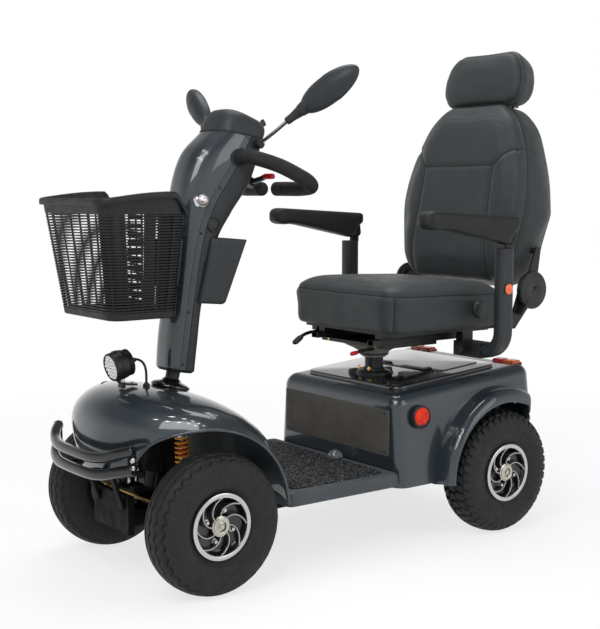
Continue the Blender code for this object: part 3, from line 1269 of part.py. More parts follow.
def build_mirror(side, word):
    """Mirror head with its cuff on a thin stalk, which turns on a boss beside the hood."""
    def mirrored(place):
        return Vector((side * place[0], place[1], place[2]))

    name = "mirror_" + word
    base, foot, middle = mirrored(MIRROR_BASE), mirrored(MIRROR_FOOT), mirrored(MIRROR_MIDDLE)
    pivot(name, base, "tiller")
    length, depth, height = MIRROR_SIZE
    turn = Euler((0, -side * MIRROR_ROLL, side * MIRROR_TURN)).to_matrix()
    root = middle - turn @ Vector((side * MIRROR_NECK * length, 0, 0))
    bm = bmesh.new()
    bmesh.ops.create_uvsphere(bm, u_segments=12, v_segments=7, radius=0.5)
    head = move_vertices(to_object(bm), lambda p: turn @ Vector(
        (p.x * length, min(p.y * depth, MIRROR_GLASS), p.z * height)) + middle)
    stalk = tube(smooth_path([base, mirrored(MIRROR_ELBOW), foot, root], 2), MIRROR_STALK, 1)
    boss_foot = at(base.y, base.z, side * (HOOD_STATIONS[0][3] + 2 * SEAT_GAP))
    join(stalk, head, rod(MIRROR_CUFF[0], foot, root, 8, MIRROR_CUFF[1]),
         rod(MIRROR_BOSS, boss_foot, base + Vector((side * MIRROR_BOSS, 0, 0)), 12))
    add_part(stalk, name, "dark_plastic", name)


def build_throttle():
    """Rocking throttle lever across the back of the head, on its hub."""
    lean = math.radians(COVER_STATIONS[5][2])
    middle = at(THROTTLE_Y, THROTTLE_Z)
    axis = Vector((0, math.sin(lean), math.cos(lean))) * THROTTLE_HUB_HALF
    across = Vector((THROTTLE_HALF, 0, 0))
    pivot("throttle", middle, "tiller")
    lever = rod(THROTTLE_RADIUS, middle - across, middle + across, 12)
    join(lever, rod(THROTTLE_HUB, middle - axis, middle + axis, 20))
    add_part(lever, "throttle_lever", "red_plastic", "throttle")


def rounded_outline(half_a, half_b, corner, count, extra=0):
    """Rounded rectangle about its middle as (a, b) pairs, with extra points on the sides along b."""
    points = []
    straight = half_b - corner
    for sa, sb, start in ((1, 1, 0), (-1, 1, 90), (-1, -1, 180), (1, -1, 270)):
        for step in range(count):
            turn = math.radians(start + 90 * step / (count - 1))
            points.append((sa * (half_a - corner) + corner * math.cos(turn),
                           sb * straight + corner * math.sin(turn)))
        if sa * sb < 0:
            for step in range(1, extra + 1):
                points.append((sa * half_a, sb * straight * (1 - 2 * step / (extra + 1))))
    return points


def cushion(layers, half_a, half_b, corner, place, extra=0):
    """Crowned pad: outlines inset and raised layer by layer, then rounded."""
    rings = []
    for inset, height in layers:
        outline = rounded_outline(half_a - inset, half_b - inset, max(corner - inset, corner / 4), 3, extra)
        rings.append([place(a, b, height) for a, b in outline])
    return soften(loft(rings), 1)


def build_seat_base():
    """Swivel base with its slide rails, and the lever that frees the swivel."""
    pivot("seat_swivel", at(SEAT_POST_Y, SEAT_POST_TOP_Z))
    base_z = SEAT_POST_TOP_Z + SEAT_GAP
    plate_z = base_z + SEAT_BOSS_HEIGHT
    rail_z = plate_z + SEAT_BASE_THICK
    half_rail = SLIDE_RAIL_WIDTH / 2
    half_width = SLIDE_RAIL_X + half_rail - LAP
    base = block((-half_width, SEAT_POST_Y - SEAT_BASE_AHEAD, plate_z),
                 (half_width, SEAT_POST_Y + SEAT_BASE_BEHIND, rail_z + LAP))
    pieces = [rod(SEAT_BOSS_RADIUS, at(SEAT_POST_Y, base_z), at(SEAT_POST_Y, plate_z + 2 * LAP), 20)]
    for side in (1, -1):
        inner, outer = span(side, SLIDE_RAIL_X - half_rail, SLIDE_RAIL_X + half_rail)
        pieces.append(block((inner, SLIDE_RAIL_FRONT_Y, rail_z),
                            (outer, SLIDE_RAIL_BACK_Y, rail_z + SLIDE_RAIL_HEIGHT)))
    add_part(join(base, *pieces), "seat_swivel_base", "cast_metal", "seat_swivel")

    lever_z = plate_z - RUNNING_GAP - LEVER_RADIUS
    root_y = SEAT_POST_Y - SEAT_BASE_AHEAD + LEVER_ROOT
    pivot("swivel_lever", at(root_y - LEVER_ROOT, lever_z, SWIVEL_LEVER_X), "seat_swivel")
    tip = at(root_y - SWIVEL_LEVER_REACH, lever_z - LEVER_RADIUS, SWIVEL_LEVER_X + 2 * LEVER_RADIUS)
    root, bend = at(root_y, lever_z, SWIVEL_LEVER_X), at(root_y - LEVER_ROOT, lever_z, SWIVEL_LEVER_X)
    lever = tube([root, bend, tip], LEVER_RADIUS)
    add_part(lever, "swivel_lever", "red_plastic", "swivel_lever")
    return rail_z + SLIDE_RAIL_HEIGHT


def build_seat():
    """Slide frame with its ears and arm receivers, the cushion, and the lever that frees the slide."""
    rail_top = build_seat_base()
    pivot("seat_slide", at(SEAT_POST_Y, rail_top), "seat_swivel")
    low = rail_top + SEAT_GAP
    pan_z = low + CARRIAGE_HEIGHT
    pan_top = pan_z + PAN_THICK
    half_rail = SLIDE_RAIL_WIDTH / 2
    wide = RECLINE_PLATE_X + RECLINE_PLATE
    frame = block((-PAN_HALF_WIDTH, PAN_FRONT_Y, pan_z), (PAN_HALF_WIDTH, PAN_BACK_Y, pan_top))
    pieces = [block((-wide + LAP, PAN_BACK_Y - CROSS_MEMBER, pan_z + LAP),
                    (wide - LAP, PAN_BACK_Y - 2 * LAP, pan_top - LAP)),
              block((SEAT_LEVER_X - LEVER_BLOCK, PAN_FRONT_Y + 2 * LAP, pan_z - LEVER_BLOCK),
                    (SEAT_LEVER_X + LEVER_BLOCK, PAN_FRONT_Y + LEVER_ROOT, pan_z + 2 * LAP))]
    half_bar, half_high = ARM_BAR_WIDTH / 2 + RUNNING_GAP, ARM_BAR_HEIGHT / 2 + RUNNING_GAP
    ear = [(PAN_BACK_Y - CROSS_MEMBER, pan_z + 2 * LAP), (PAN_BACK_Y - 4 * LAP, pan_z + 2 * LAP)]
    for degrees in range(-40, 181, 40):
        turn = math.radians(degrees)
        ear.append((RECLINE_Y + EAR_RADIUS * math.cos(turn), RECLINE_Z + EAR_RADIUS * math.sin(turn)))
    cuts = []
    for side in (1, -1):
        inner, outer = span(side, SLIDE_RAIL_X - half_rail, SLIDE_RAIL_X + half_rail)
        pieces.append(block((inner, PAN_FRONT_Y + LAP, low), (outer, PAN_BACK_Y - LAP, pan_z + 2 * LAP)))
        inner, outer = span(side, RECLINE_PLATE_X, wide)
        pieces.append(loft([[Vector((x, y, z)) for y, z in ear] for x in (inner, outer)]))
        inner, outer = span(side, RECEIVER_INNER_X, RECEIVER_OUTER_X)
        pieces.append(block(
            (inner, ARM_Y - half_bar - RECEIVER_WALL, ARM_BAR_Z - half_high - RECEIVER_WALL),
            (outer, ARM_Y + half_bar + RECEIVER_WALL, ARM_BAR_Z + half_high + RECEIVER_WALL)))
        inner, outer = span(side, RECEIVER_INNER_X + 3 * LAP, PAN_HALF_WIDTH - 2 * LAP)
        pieces.append(block((inner, ARM_Y - half_bar + LAP, ARM_BAR_Z + half_high + LAP),
                            (outer, ARM_Y + half_bar - LAP, pan_z + 3 * LAP)))
        inner, outer = span(side, ARM_BAR_INNER_X - 4 * LAP, RECEIVER_OUTER_X + OVERRUN)
        cuts.append(block((inner, ARM_Y - half_bar, ARM_BAR_Z - half_high),
                          (outer, ARM_Y + half_bar, ARM_BAR_Z + half_high)))
    add_part(cut(join(frame, *pieces), *cuts), "seat_frame", "black_steel", "seat_slide")

    cushion_low = pan_top + SEAT_GAP
    half_length = (CUSHION_BACK_Y - CUSHION_FRONT_Y) / 2
    middle_y = (CUSHION_BACK_Y + CUSHION_FRONT_Y) / 2

    def seat_place(a, b, height):
        dip = CUSHION_DIP * (b / half_length) * (height / CUSHION_HEIGHT)
        return Vector((a, middle_y + b, cushion_low + height - dip))

    high, crown = CUSHION_HEIGHT, CUSHION_CROWN
    layers = [(0.012, 0.0), (0.004, 0.12 * high), (0.006, 0.5 * high), (-0.002, 0.86 * high),
              (0.010, high + 0.15 * crown), (0.054, high + 0.72 * crown),
              (0.062, high + 0.72 * crown - CHANNEL_DEPTH), (0.070, high + 0.80 * crown),
              (0.150, high + crown)]
    pad = cushion(layers, CUSHION_HALF_WIDTH, half_length, CUSHION_CORNER, seat_place)
    add_part(pad, "seat_cushion", "vinyl", "seat_slide")

    lever_z = pan_z - LEVER_BLOCK - RUNNING_GAP - LEVER_RADIUS
    root_y = PAN_FRONT_Y + LEVER_ROOT
    pivot("seat_lever", at(PAN_FRONT_Y, lever_z, SEAT_LEVER_X), "seat_slide")
    lever = tube([at(root_y, lever_z, SEAT_LEVER_X), at(PAN_FRONT_Y, lever_z, SEAT_LEVER_X),
                  at(PAN_FRONT_Y - SEAT_LEVER_REACH, lever_z - LEVER_RADIUS, SEAT_LEVER_X)], LEVER_RADIUS)
    add_part(lever, "seat_lever", "dark_plastic", "seat_lever")


def back_point(a, b, out):
    """Point of the leaning backrest: a across, b up from the recline axis, out to the front."""
    up = Vector((0, math.sin(BACK_LEAN), math.cos(BACK_LEAN)))
    ahead = Vector((0, -math.cos(BACK_LEAN), math.sin(BACK_LEAN)))
    return at(RECLINE_Y, RECLINE_Z, a) + up * b + ahead * out


def back_block(half_width, low, high, front, back):
    """Box in the leaning frame of the backrest."""
    rings = []
    for b in (low, high):
        rings.append([back_point(-half_width, b, front), back_point(half_width, b, front),
                      back_point(half_width, b, back), back_point(-half_width, b, back)])
    return loft(rings)


def back_width(share):
    """Share of the full width at a share of the height: full at the shoulders, narrower at both ends."""
    below = max(0.0, BACK_SHOULDER - share) / BACK_SHOULDER
    above = max(0.0, share - BACK_SHOULDER) / (1 - BACK_SHOULDER)
    return 1.0 - BACK_WAIST * below ** 1.3 - BACK_CROWN * above ** 2


def build_backrest():
    """Recliner discs and bars, the back cushion over them, and the headrest on its stalks."""
    pivot("backrest", at(RECLINE_Y, RECLINE_Z), "seat_slide")
    plate = RECLINE_PLATE_X + RECLINE_PLATE + RUNNING_GAP
    outer = plate + RECLINE_PLATE
    rear = -BACK_BAR
    first, second = BACK_BAR_HEIGHTS
    top = BACK_GAP + BACK_HEIGHT
    guide_top = top - GUIDE_RADIUS
    bar_end = outer - 2 * LAP
    frame = tube([back_point(-bar_end, first, rear), back_point(bar_end, first, rear)], BACK_BAR, 1)
    pieces = [tube([back_point(-BACK_BAR_HALF, second, rear), back_point(BACK_BAR_HALF, second, rear)],
                   BACK_BAR - LAP, 1)]
    corners = [(0.0, PLATE_HALF), (first + BACK_BAR + 2 * LAP, 0.0), (first + BACK_BAR + 2 * LAP, 2 * rear),
               (0.0, -PLATE_HALF)]
    bores, holes = [], []
    for side in (1, -1):
        low, high = span(side, plate, outer)
        pieces.append(rod(RECLINE_DISC, at(RECLINE_Y, RECLINE_Z, low), at(RECLINE_Y, RECLINE_Z, high), 20))
        pieces.append(loft([[back_point(x, b, out) for b, out in corners]
                            for x in (low + LAP / 2, high - LAP / 2)]))
        x = side * GUIDE_X
        pieces.append(tube([back_point(x, first - 4 * LAP, rear), back_point(x, guide_top, rear)],
                           BACK_BAR - LAP / 2))
        bores.append(rod(STALK_RADIUS + RUNNING_GAP, back_point(x, top - STALK_DEPTH - GUIDE_RADIUS, rear),
                         back_point(x, top + OVERRUN, rear), 12))
        holes.append(rod(STALK_RADIUS + RUNNING_GAP, back_point(x, guide_top - GUIDE_RADIUS, rear),
                         back_point(x, top + OVERRUN, rear), 12))
    add_part(cut(join(frame, *pieces), *bores), "backrest_frame", "black_steel", "backrest")

    half = BACK_HEIGHT / 2

    def back_place(a, b, out):
        share = (b + half) / BACK_HEIGHT
        if out < 0:
            out *= 1 - BACK_TAPER * max(0.0, share - BACK_SHOULDER) / (1 - BACK_SHOULDER)
        else:
            swell = BACK_BOLSTER * math.sin(math.pi * share) * (a / BACK_HALF_WIDTH) ** 2
            out += swell * out / BACK_THICK
        return back_point(a * back_width(share), BACK_GAP + half + b, out)

    thick = BACK_THICK
    layers = [(0.070, -BACK_BEHIND), (0.024, -0.88 * BACK_BEHIND), (0.004, -0.45 * BACK_BEHIND),
              (0.002, 0.45 * thick), (0.0, 0.74 * thick), (0.014, 0.87 * thick), (0.052, 0.95 * thick),
              (0.060, 0.95 * thick - CHANNEL_DEPTH), (0.068, 0.97 * thick), (0.150, thick)]
    pad = cushion(layers, BACK_HALF_WIDTH, half, BACK_CORNER, back_place, 1)
    slack, tight = BACK_BAR + SEAT_GAP, BACK_BAR - LAP / 2 + SEAT_GAP
    cut(pad, back_block(outer + OVERRUN, -OVERRUN, first + slack, rear + slack, rear - slack),
        back_block(BACK_BAR_HALF + SEAT_GAP, first, guide_top + SEAT_GAP, rear + tight, rear - tight),
        *holes)
    add_part(pad, "backrest_cushion", "vinyl", "backrest")

    rest_low = top + HEADREST_GAP
    pivot("headrest", back_point(0.0, rest_low, rear), "backrest")
    rest_half = HEADREST_HEIGHT / 2

    def rest_place(a, b, out):
        narrow = 1.0 - HEADREST_TAPER * max(0.0, b / rest_half)
        return back_point(a * narrow, rest_low + rest_half + b, out - 2 * BACK_BAR)

    thick = HEADREST_THICK
    layers = [(0.040, 0.0), (0.016, 0.12 * thick), (0.005, 0.45 * thick), (0.0, 0.75 * thick),
              (0.014, 0.92 * thick), (0.040, thick)]
    rest = cushion(layers, HEADREST_HALF_WIDTH, rest_half, HEADREST_CORNER, rest_place)
    stalks = [rod(STALK_RADIUS, back_point(side * GUIDE_X, top - STALK_DEPTH, rear),
                  back_point(side * GUIDE_X, rest_low + rest_half / 2, rear), 12) for side in (1, -1)]
    add_part(join(rest, *stalks), "headrest", "vinyl", "headrest")


def build_armrest(side, word):
    """Bent arm post that slides in its receiver, and the pad that flips up on it."""
    slide, flip = "arm_slide_" + word, "arm_flip_" + word
    middle_x = side * ARM_X
    half_w, half_d = ARM_POST_WIDTH / 2, ARM_POST_DEPTH / 2
    half_bar, half_high = ARM_BAR_WIDTH / 2, ARM_BAR_HEIGHT / 2
    hinge = at(FLIP_Y, FLIP_Z, middle_x)
    pivot(slide, at(ARM_Y, ARM_BAR_Z, middle_x), "seat_slide")
    pivot(flip, hinge, slide)
    post = block((middle_x - half_w, ARM_Y - half_d, ARM_BAR_Z - half_high - 4 * LAP),
                 (middle_x + half_w, ARM_Y + half_d, ARM_POST_TOP_Z), ARM_POST_EDGE)
    inner, outer = span(side, ARM_BAR_INNER_X, ARM_X)
    bar = block((inner, ARM_Y - half_bar, ARM_BAR_Z - half_high),
                (outer, ARM_Y + half_bar, ARM_BAR_Z + half_high))
    thin, tongue_half = TONGUE_HALF - LAP / 2, TONGUE_RADIUS - 2 * LAP
    tongue = block((middle_x - thin, FLIP_Y - tongue_half, ARM_POST_TOP_Z - 6 * LAP),
                   (middle_x + thin, FLIP_Y + tongue_half, FLIP_Z))
    across = Vector((TONGUE_HALF, 0, 0))
    join(post, bar, tongue, rod(TONGUE_RADIUS, hinge - across, hinge + across))
    add_part(post, "arm_post_" + word, "black_steel", slide)

    rings = []
    for share, pinch in PAD_STATIONS:
        y = PAD_FRONT_Y + (PAD_BACK_Y - PAD_FRONT_Y) * share
        low = PAD_FRONT_LOW_Z + (PAD_BACK_LOW_Z - PAD_FRONT_LOW_Z) * share
        half_height = (PAD_TOP_Z - low) / 2 * pinch
        outline = rounded_outline(PAD_HALF_WIDTH * pinch, half_height, min(PAD_EDGE, 0.7 * half_height), 3)
        rings.append([Vector((middle_x + a, y, (PAD_TOP_Z + low) / 2 + b)) for a, b in outline])
    pad = loft(rings)
    gap = TONGUE_HALF + RUNNING_GAP
    notch = hinge + Vector((0, PAD_NOTCH_BEHIND, -PAD_NOTCH_BELOW))
    wide = Vector((ARM_POST_DEPTH, 0, 0))
    cut(pad, rod(PAD_NOTCH_RADIUS, notch - wide, notch + wide, 24),
        block((middle_x - gap, FLIP_Y - TONGUE_RADIUS - 3 * LAP, ARM_POST_TOP_Z - OVERRUN),
              (middle_x + gap, PAD_BACK_Y + OVERRUN, FLIP_Z + TONGUE_RADIUS + 2 * LAP)),
        block((middle_x - ARM_POST_DEPTH, ARM_Y - half_d - 2 * LAP, ARM_POST_TOP_Z - ARM_POST_DEPTH),
              (middle_x + ARM_POST_DEPTH, PAD_BACK_Y + OVERRUN, ARM_POST_TOP_Z + SEAT_GAP + 2 * LAP)))
    add_part(pad, "arm_pad_" + word, "dark_plastic", flip)


def build_rear_wheel(side, word):
    """One driven wheel on the drive unit's shaft."""
    name = "rear_wheel_" + word
    middle = at(REAR_AXLE_Y, AXLE_Z, side * REAR_TRACK / 2)
    pivot(name, middle)
    build_wheel(name, middle, side, REAR_TYRE_WIDTH, REAR_RIM_FACE, name)


def main():
    """Clear the file and build every sub-assembly."""
    for old in list(bpy.data.objects):
        bpy.data.objects.remove(old)
    bpy.context.scene.collection.children.link(PARTS)
    bpy.context.scene.collection.children.link(CUTTERS)
    pivot("scooter", (0, 0, 0))
    PIVOTS["scooter"].location = (0, -LENGTH_MIDDLE_Y, 0)
    build_frame()
    bonnet = build_front_shroud()
    build_rear_shroud()
    build_footplate()
    build_bumper()
    build_headlight(bonnet)
    build_power()
    both_sides(build_suspension)
    both_sides(build_rear_wheel)
    build_steering()
    build_tiller()
    build_hood()
    build_basket()
    build_storage_box()
    both_sides(build_turn_signal)
    both_sides(build_mirror)
    build_throttle()
    build_seat()
    build_backrest()
    both_sides(build_armrest)


main()
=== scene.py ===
"""Looks of a four-wheeled mobility scooter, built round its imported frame.

Places are metres from the point of the floor under the middle of the wheelbase:
x runs to the rider's left, y to the back and z up.
"""

import logging
import math
from dataclasses import dataclass
from enum import Enum
from functools import lru_cache
from typing import Callable, Sequence

import bmesh
import bpy
import numpy as np
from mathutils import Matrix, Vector
from mathutils.bvhtree import BVHTree


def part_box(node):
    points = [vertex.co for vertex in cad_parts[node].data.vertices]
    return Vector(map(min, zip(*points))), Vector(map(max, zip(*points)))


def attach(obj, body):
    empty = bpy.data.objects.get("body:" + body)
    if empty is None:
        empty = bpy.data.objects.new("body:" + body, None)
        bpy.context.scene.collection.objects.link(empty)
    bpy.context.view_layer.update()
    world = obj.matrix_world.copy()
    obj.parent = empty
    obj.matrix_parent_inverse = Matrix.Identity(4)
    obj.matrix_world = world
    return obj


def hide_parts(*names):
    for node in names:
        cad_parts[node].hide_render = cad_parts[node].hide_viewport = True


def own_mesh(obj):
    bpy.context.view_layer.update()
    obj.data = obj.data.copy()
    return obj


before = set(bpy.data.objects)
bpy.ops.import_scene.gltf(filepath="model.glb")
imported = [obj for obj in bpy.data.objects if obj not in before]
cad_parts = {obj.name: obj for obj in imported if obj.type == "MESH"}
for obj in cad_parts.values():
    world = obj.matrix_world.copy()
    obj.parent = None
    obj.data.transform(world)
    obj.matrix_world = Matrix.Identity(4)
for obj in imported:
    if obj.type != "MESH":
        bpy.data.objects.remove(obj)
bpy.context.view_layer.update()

LOG = logging.getLogger("scooter")
SHARP_ANGLE = math.radians(38)
MERGE_REACH = 1e-6
SIDES = ((1, "left"), (-1, "right"))
QUARTERS = np.radians((20, 110, 200, 290))

Array = np.ndarray
Point = Sequence[float]
Pair = tuple[float, float]
Triple = tuple[float, float, float]
Object = bpy.types.Object
Mesh = bpy.types.Mesh
NodeTree = bpy.types.NodeTree
Socket = bpy.types.NodeSocket


def wheelbase_middle() -> float:
    """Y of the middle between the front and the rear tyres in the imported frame."""
    front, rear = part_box("front_tyre_left"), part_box("rear_tyre_left")
    return (front[0].y + front[1].y + rear[0].y + rear[1].y) / 4


MIDDLE = np.array((0.0, wheelbase_middle(), 0.0))


# Surfaces as whole arrays

@dataclass
class Skin:
    """A mesh as arrays: points (n, 3), and faces as rows of point numbers."""

    points: Array
    faces: list[Array]

    def __add__(self, other: "Skin") -> "Skin":
        """Both skins as one, with the second one's point numbers moved up."""
        moved = [rows + len(self.points) for rows in other.faces]
        return Skin(np.vstack([self.points, other.points]), self.faces + moved)


def joined(skins: Sequence[Skin]) -> Skin:
    """All the skins as one."""
    whole = skins[0]
    for skin in skins[1:]:
        whole = whole + skin
    return whole


def unit(vectors: Array) -> Array:
    """Vectors divided by their own lengths."""
    vectors = np.asarray(vectors, float)
    return vectors / np.maximum(np.linalg.norm(vectors, axis=-1, keepdims=True), 1e-12)


def grid(points: Array, wrap_u: bool = False, wrap_v: bool = False) -> Skin:
    """Quads between neighbours of a (u, v) grid of points.

    Args:
        points: Grid of points, (u, v, 3).
        wrap_u: Whether the last row meets the first.
        wrap_v: Whether the last column meets the first.
    Returns:
        The grid's skin.
    """
    rows, columns = points.shape[:2]
    number = np.arange(rows * columns).reshape(rows, columns)
    if wrap_u:
        number = np.vstack([number, number[:1]])
    if wrap_v:
        number = np.hstack([number, number[:, :1]])
    corners = (number[:-1, :-1], number[1:, :-1], number[1:, 1:], number[:-1, 1:])
    return Skin(points.reshape(-1, 3), [np.stack(corners, -1).reshape(-1, 4)])


def loft(rings: Array) -> Skin:
    """Closed skin through rings (n, m, 3), with a fan from the middle of each end ring."""
    skin = grid(rings, wrap_v=True)
    count, sides = rings.shape[:2]
    middles = np.stack([rings[0].mean(0), rings[-1].mean(0)])
    first = np.arange(sides)
    last = first + (count - 1) * sides
    tip = count * sides
    fans = [np.stack([ring, np.roll(ring, -1), np.full(sides, tip + i)], -1)
            for i, ring in enumerate((first, last))]
    return Skin(np.vstack([skin.points, middles]), skin.faces + fans)


def closed_pair(first: Array, second: Array) -> Skin:
    """Two like grids as the two sides of one closed slab, joined all round their edges."""
    skin = grid(np.concatenate([first, second[:, ::-1]], 1), False, True)
    count, columns = first.shape[:2]
    j = np.arange(columns - 1)
    strip = np.stack([j, j + 1, 2 * columns - 2 - j, 2 * columns - 1 - j], -1)
    return Skin(skin.points, skin.faces + [strip, strip + (count - 1) * 2 * columns])


def shell(points: Array, wall: float, wrap_v: bool = False) -> Skin:
    """Closed wall: a grid, its copy moved inwards along the normals, and the strips between their edges.

    Args:
        points: Outer grid, (u, v, 3).
        wall: Thickness towards the middle of the grid.
        wrap_v: Whether the last column meets the first.
    Returns:
        The wall's skin.
    """
    along = np.gradient(points, axis=0)
    across = np.gradient(points, axis=1)
    if wrap_v:
        across = (np.roll(points, -1, 1) - np.roll(points, 1, 1)) / 2
    normal = unit(np.cross(along, across))
    if np.sum(normal * (points - points.mean((0, 1)))) < 0:
        normal = -normal
    inner = points - normal * wall
    if wrap_v:
        return grid(np.concatenate([points, inner[::-1]]), True, True)
    return closed_pair(points, inner)


def smooth(points: Array, per: int = 8, closed: bool = False) -> Array:
    """Catmull-Rom curve: each span is a cubic that leaves along the chord of its neighbours.

    Args:
        points: Points that the curve passes through, (n, any).
        per: Steps in each span.
        closed: Whether the curve comes back to its start.
    Returns:
        Points along the curve.
    """
    p = np.asarray(points, float)
    if closed:
        padded = np.vstack([p[-1:], p, p[:2]])
    else:
        padded = np.vstack([2 * p[:1] - p[1:2], p, 2 * p[-1:] - p[-2:-1]])
    a, b, c, d = (padded[i:len(padded) - 3 + i, None] for i in range(4))
    t = (np.arange(per) / per)[None, :, None]
    curve = (2 * b + (c - a) * t + (2 * a - 5 * b + 4 * c - d) * t ** 2
             + (3 * b - a - 3 * c + d) * t ** 3) / 2
    curve = curve.reshape(-1, p.shape[1])
    return curve if closed else np.vstack([curve, p[-1:]])


def spline_rows(points: Array, per: int) -> Array:
    """Cubic B-spline down the first axis, with the end rows reflected so that they are kept.

    Args:
        points: Control points, (n, any, 3).
        per: Steps in each span.
    Returns:
        The finer rows.
    """
    padded = np.concatenate([2 * points[:1] - points[1:2], points, 2 * points[-1:] - points[-2:-1]])
    t = np.arange(per) / per
    weights = ((1 - t) ** 3, 3 * t ** 3 - 6 * t ** 2 + 4, 3 * t + 3 * t ** 2 - 3 * t ** 3 + 1, t ** 3)
    spans = len(points) - 1
    rows = sum(padded[i:i + spans, None] * w[None, :, None, None] / 6 for i, w in enumerate(weights))
    return np.concatenate([rows.reshape(-1, *points.shape[1:]), points[-1:]])


def sweep(path: Array, section: Array, facing: Point, closed: bool = False) -> Skin:
    """A section carried along a path, square to it, with its first axis square to facing.

    Args:
        path: Points of the path, (n, 3).
        section: Outline of the section, (m, 2), or one outline for each point, (n, m, 2).
        facing: Direction that no stretch of the path runs along.
        closed: Whether the path comes back to its start.
    Returns:
        The swept skin, with flat ends where the path is open.
    """
    path = np.asarray(path, float)
    tangent = np.gradient(path, axis=0)
    if closed:
        tangent = np.roll(path, -1, 0) - np.roll(path, 1, 0)
    tangent = unit(tangent)
    across = unit(np.cross(tangent, np.asarray(facing, float)))
    up = np.cross(across, tangent)
    section = np.asarray(section, float)
    if section.ndim == 2:
        section = section[None]
    rings = path[:, None] + section[..., :1] * across[:, None] + section[..., 1:] * up[:, None]
    return grid(rings, True, True) if closed else loft(rings)


def circle(radius: float, sides: int) -> Array:
    """Points of a circle, (sides, 2)."""
    turn = np.arange(sides) * 2 * np.pi / sides
    return radius * np.stack([np.cos(turn), np.sin(turn)], -1)


def tube(path: Array, radius: float | Array, facing: Point, sides: int = 16, closed: bool = False) -> Skin:
    """Round tube along a path, of one radius or of one radius for each point."""
    radii = np.broadcast_to(np.asarray(radius, float), (len(path),))
    return sweep(path, radii[:, None, None] * circle(1.0, sides)[None], facing, closed)


def capped(path: Array, radius: float, facing: Point, sides: int = 24, bulge: float = .35) -> Skin:
    """Round tube whose ends are closed by flat domes.

    Args:
        path: Points of the path, (n, 3).
        radius: Radius of the tube.
        facing: Direction that no stretch of the path runs along.
        sides: Sides of the tube.
        bulge: Height of the domes as a share of the radius.
    Returns:
        The tube's skin.
    """
    angle = np.linspace(0, np.pi / 2, 7)[1:]
    rise, round_off = bulge * radius * np.sin(angle)[:, None], np.maximum(np.cos(angle), .02)
    first, last = unit(path[0] - path[1]), unit(path[-1] - path[-2])
    whole = np.vstack([(path[0] + rise * first)[::-1], path, path[-1] + rise * last])
    radii = radius * np.concatenate([round_off[::-1], np.ones(len(path)), round_off])
    return tube(whole, radii, facing, sides)


def lathe(profile: Array, origin: Point, axis: Point, steps: int = 48, closed: bool = True) -> Skin:
    """A profile of (radius, along) turned once round an axis.

    Args:
        profile: Points of the profile, (n, 2).
        origin: Point of the axis where along is zero.
        axis: Direction of the axis.
        steps: Steps in the turn.
        closed: Whether the profile's last point joins its first.
    Returns:
        The turned skin.
    """
    profile = np.asarray(profile, float)
    axis = unit(axis)
    side = np.array((0.0, 0.0, 1.0)) if abs(axis[2]) < .9 else np.array((1.0, 0.0, 0.0))
    first = unit(np.cross(axis, side))
    second = np.cross(axis, first)
    turn = circle(1.0, steps)
    out = turn[:, :1] * first + turn[:, 1:] * second
    points = np.asarray(origin, float) + profile[:, None, 1:] * axis + profile[:, None, :1] * out
    return grid(points, closed, True)


def rounded(half_a: float, half_b: float, corner: float, arc: int = 8, run: int = 6) -> Array:
    """Outline of a rectangle with round corners: four quarter circles, with straight runs between them.

    Args:
        half_a: Half the size along the first axis.
        half_b: Half the size along the second axis.
        corner: Radius of the corners.
        arc: Steps in each corner.
        run: Steps in each straight run.
    Returns:
        Points in order round the outline, (n, 2).
    """
    turn = np.linspace(0, np.pi / 2, arc + 1)
    quarter = corner * np.stack([np.cos(turn), np.sin(turn)], -1)
    middles = np.array(((1, 1), (-1, 1), (-1, -1), (1, -1))) * (half_a - corner, half_b - corner)
    turns = np.array((((1, 0), (0, 1)), ((0, -1), (1, 0)), ((-1, 0), (0, -1)), ((0, 1), (-1, 0))))
    arcs = np.einsum("kij,nj->kni", turns, quarter) + middles[:, None]
    share = (np.arange(1, run) / run)[None, :, None]
    runs = arcs[:, -1:] * (1 - share) + np.roll(arcs, -1, 0)[:, :1] * share
    return np.concatenate([arcs, runs], 1).reshape(-1, 2)


def box(low: Point, high: Point) -> Skin:
    """Six-sided block between two corners, to be bevelled."""
    low, high = np.minimum(low, high), np.maximum(low, high)
    pick = np.array(((0, 0), (1, 0), (1, 1), (0, 1)))
    ring = np.stack([low[:2], high[:2]])[pick, np.arange(2)]
    rings = np.stack([np.column_stack([ring, np.full(4, z)]) for z in (low[2], high[2])])
    return loft(rings)


def plate(outline: Array, place: Callable[[Array, float], Array], edge: float, thick: float) -> Skin:
    """Slab of an outline with a quarter-round upper edge.

    Args:
        outline: Closed outline about its middle, (n, 2).
        place: Puts an outline at a height of the slab into space.
        edge: Radius of the upper edge.
        thick: Height of the slab.
    Returns:
        The slab's skin.
    """
    turn = np.linspace(0, np.pi / 2, 6)
    heights = np.concatenate([[0.0], thick - edge + edge * np.sin(turn)])
    insets = np.concatenate([[0.0], edge * (1 - np.cos(turn))])
    reach = np.abs(outline).max(0)
    rings = [place(outline * (1 - inset / reach), height) for inset, height in zip(insets, heights)]
    return loft(np.stack(rings))


# Finishes

class Grain(Enum):
    """Kinds of surface relief."""

    SPECK = "fine even noise"
    PEBBLE = "cells of moulded leather grain"
    BRUSHED = "lines along the piece"
    FOAM = "small round pores"
    CAST = "coarse sand-cast skin"


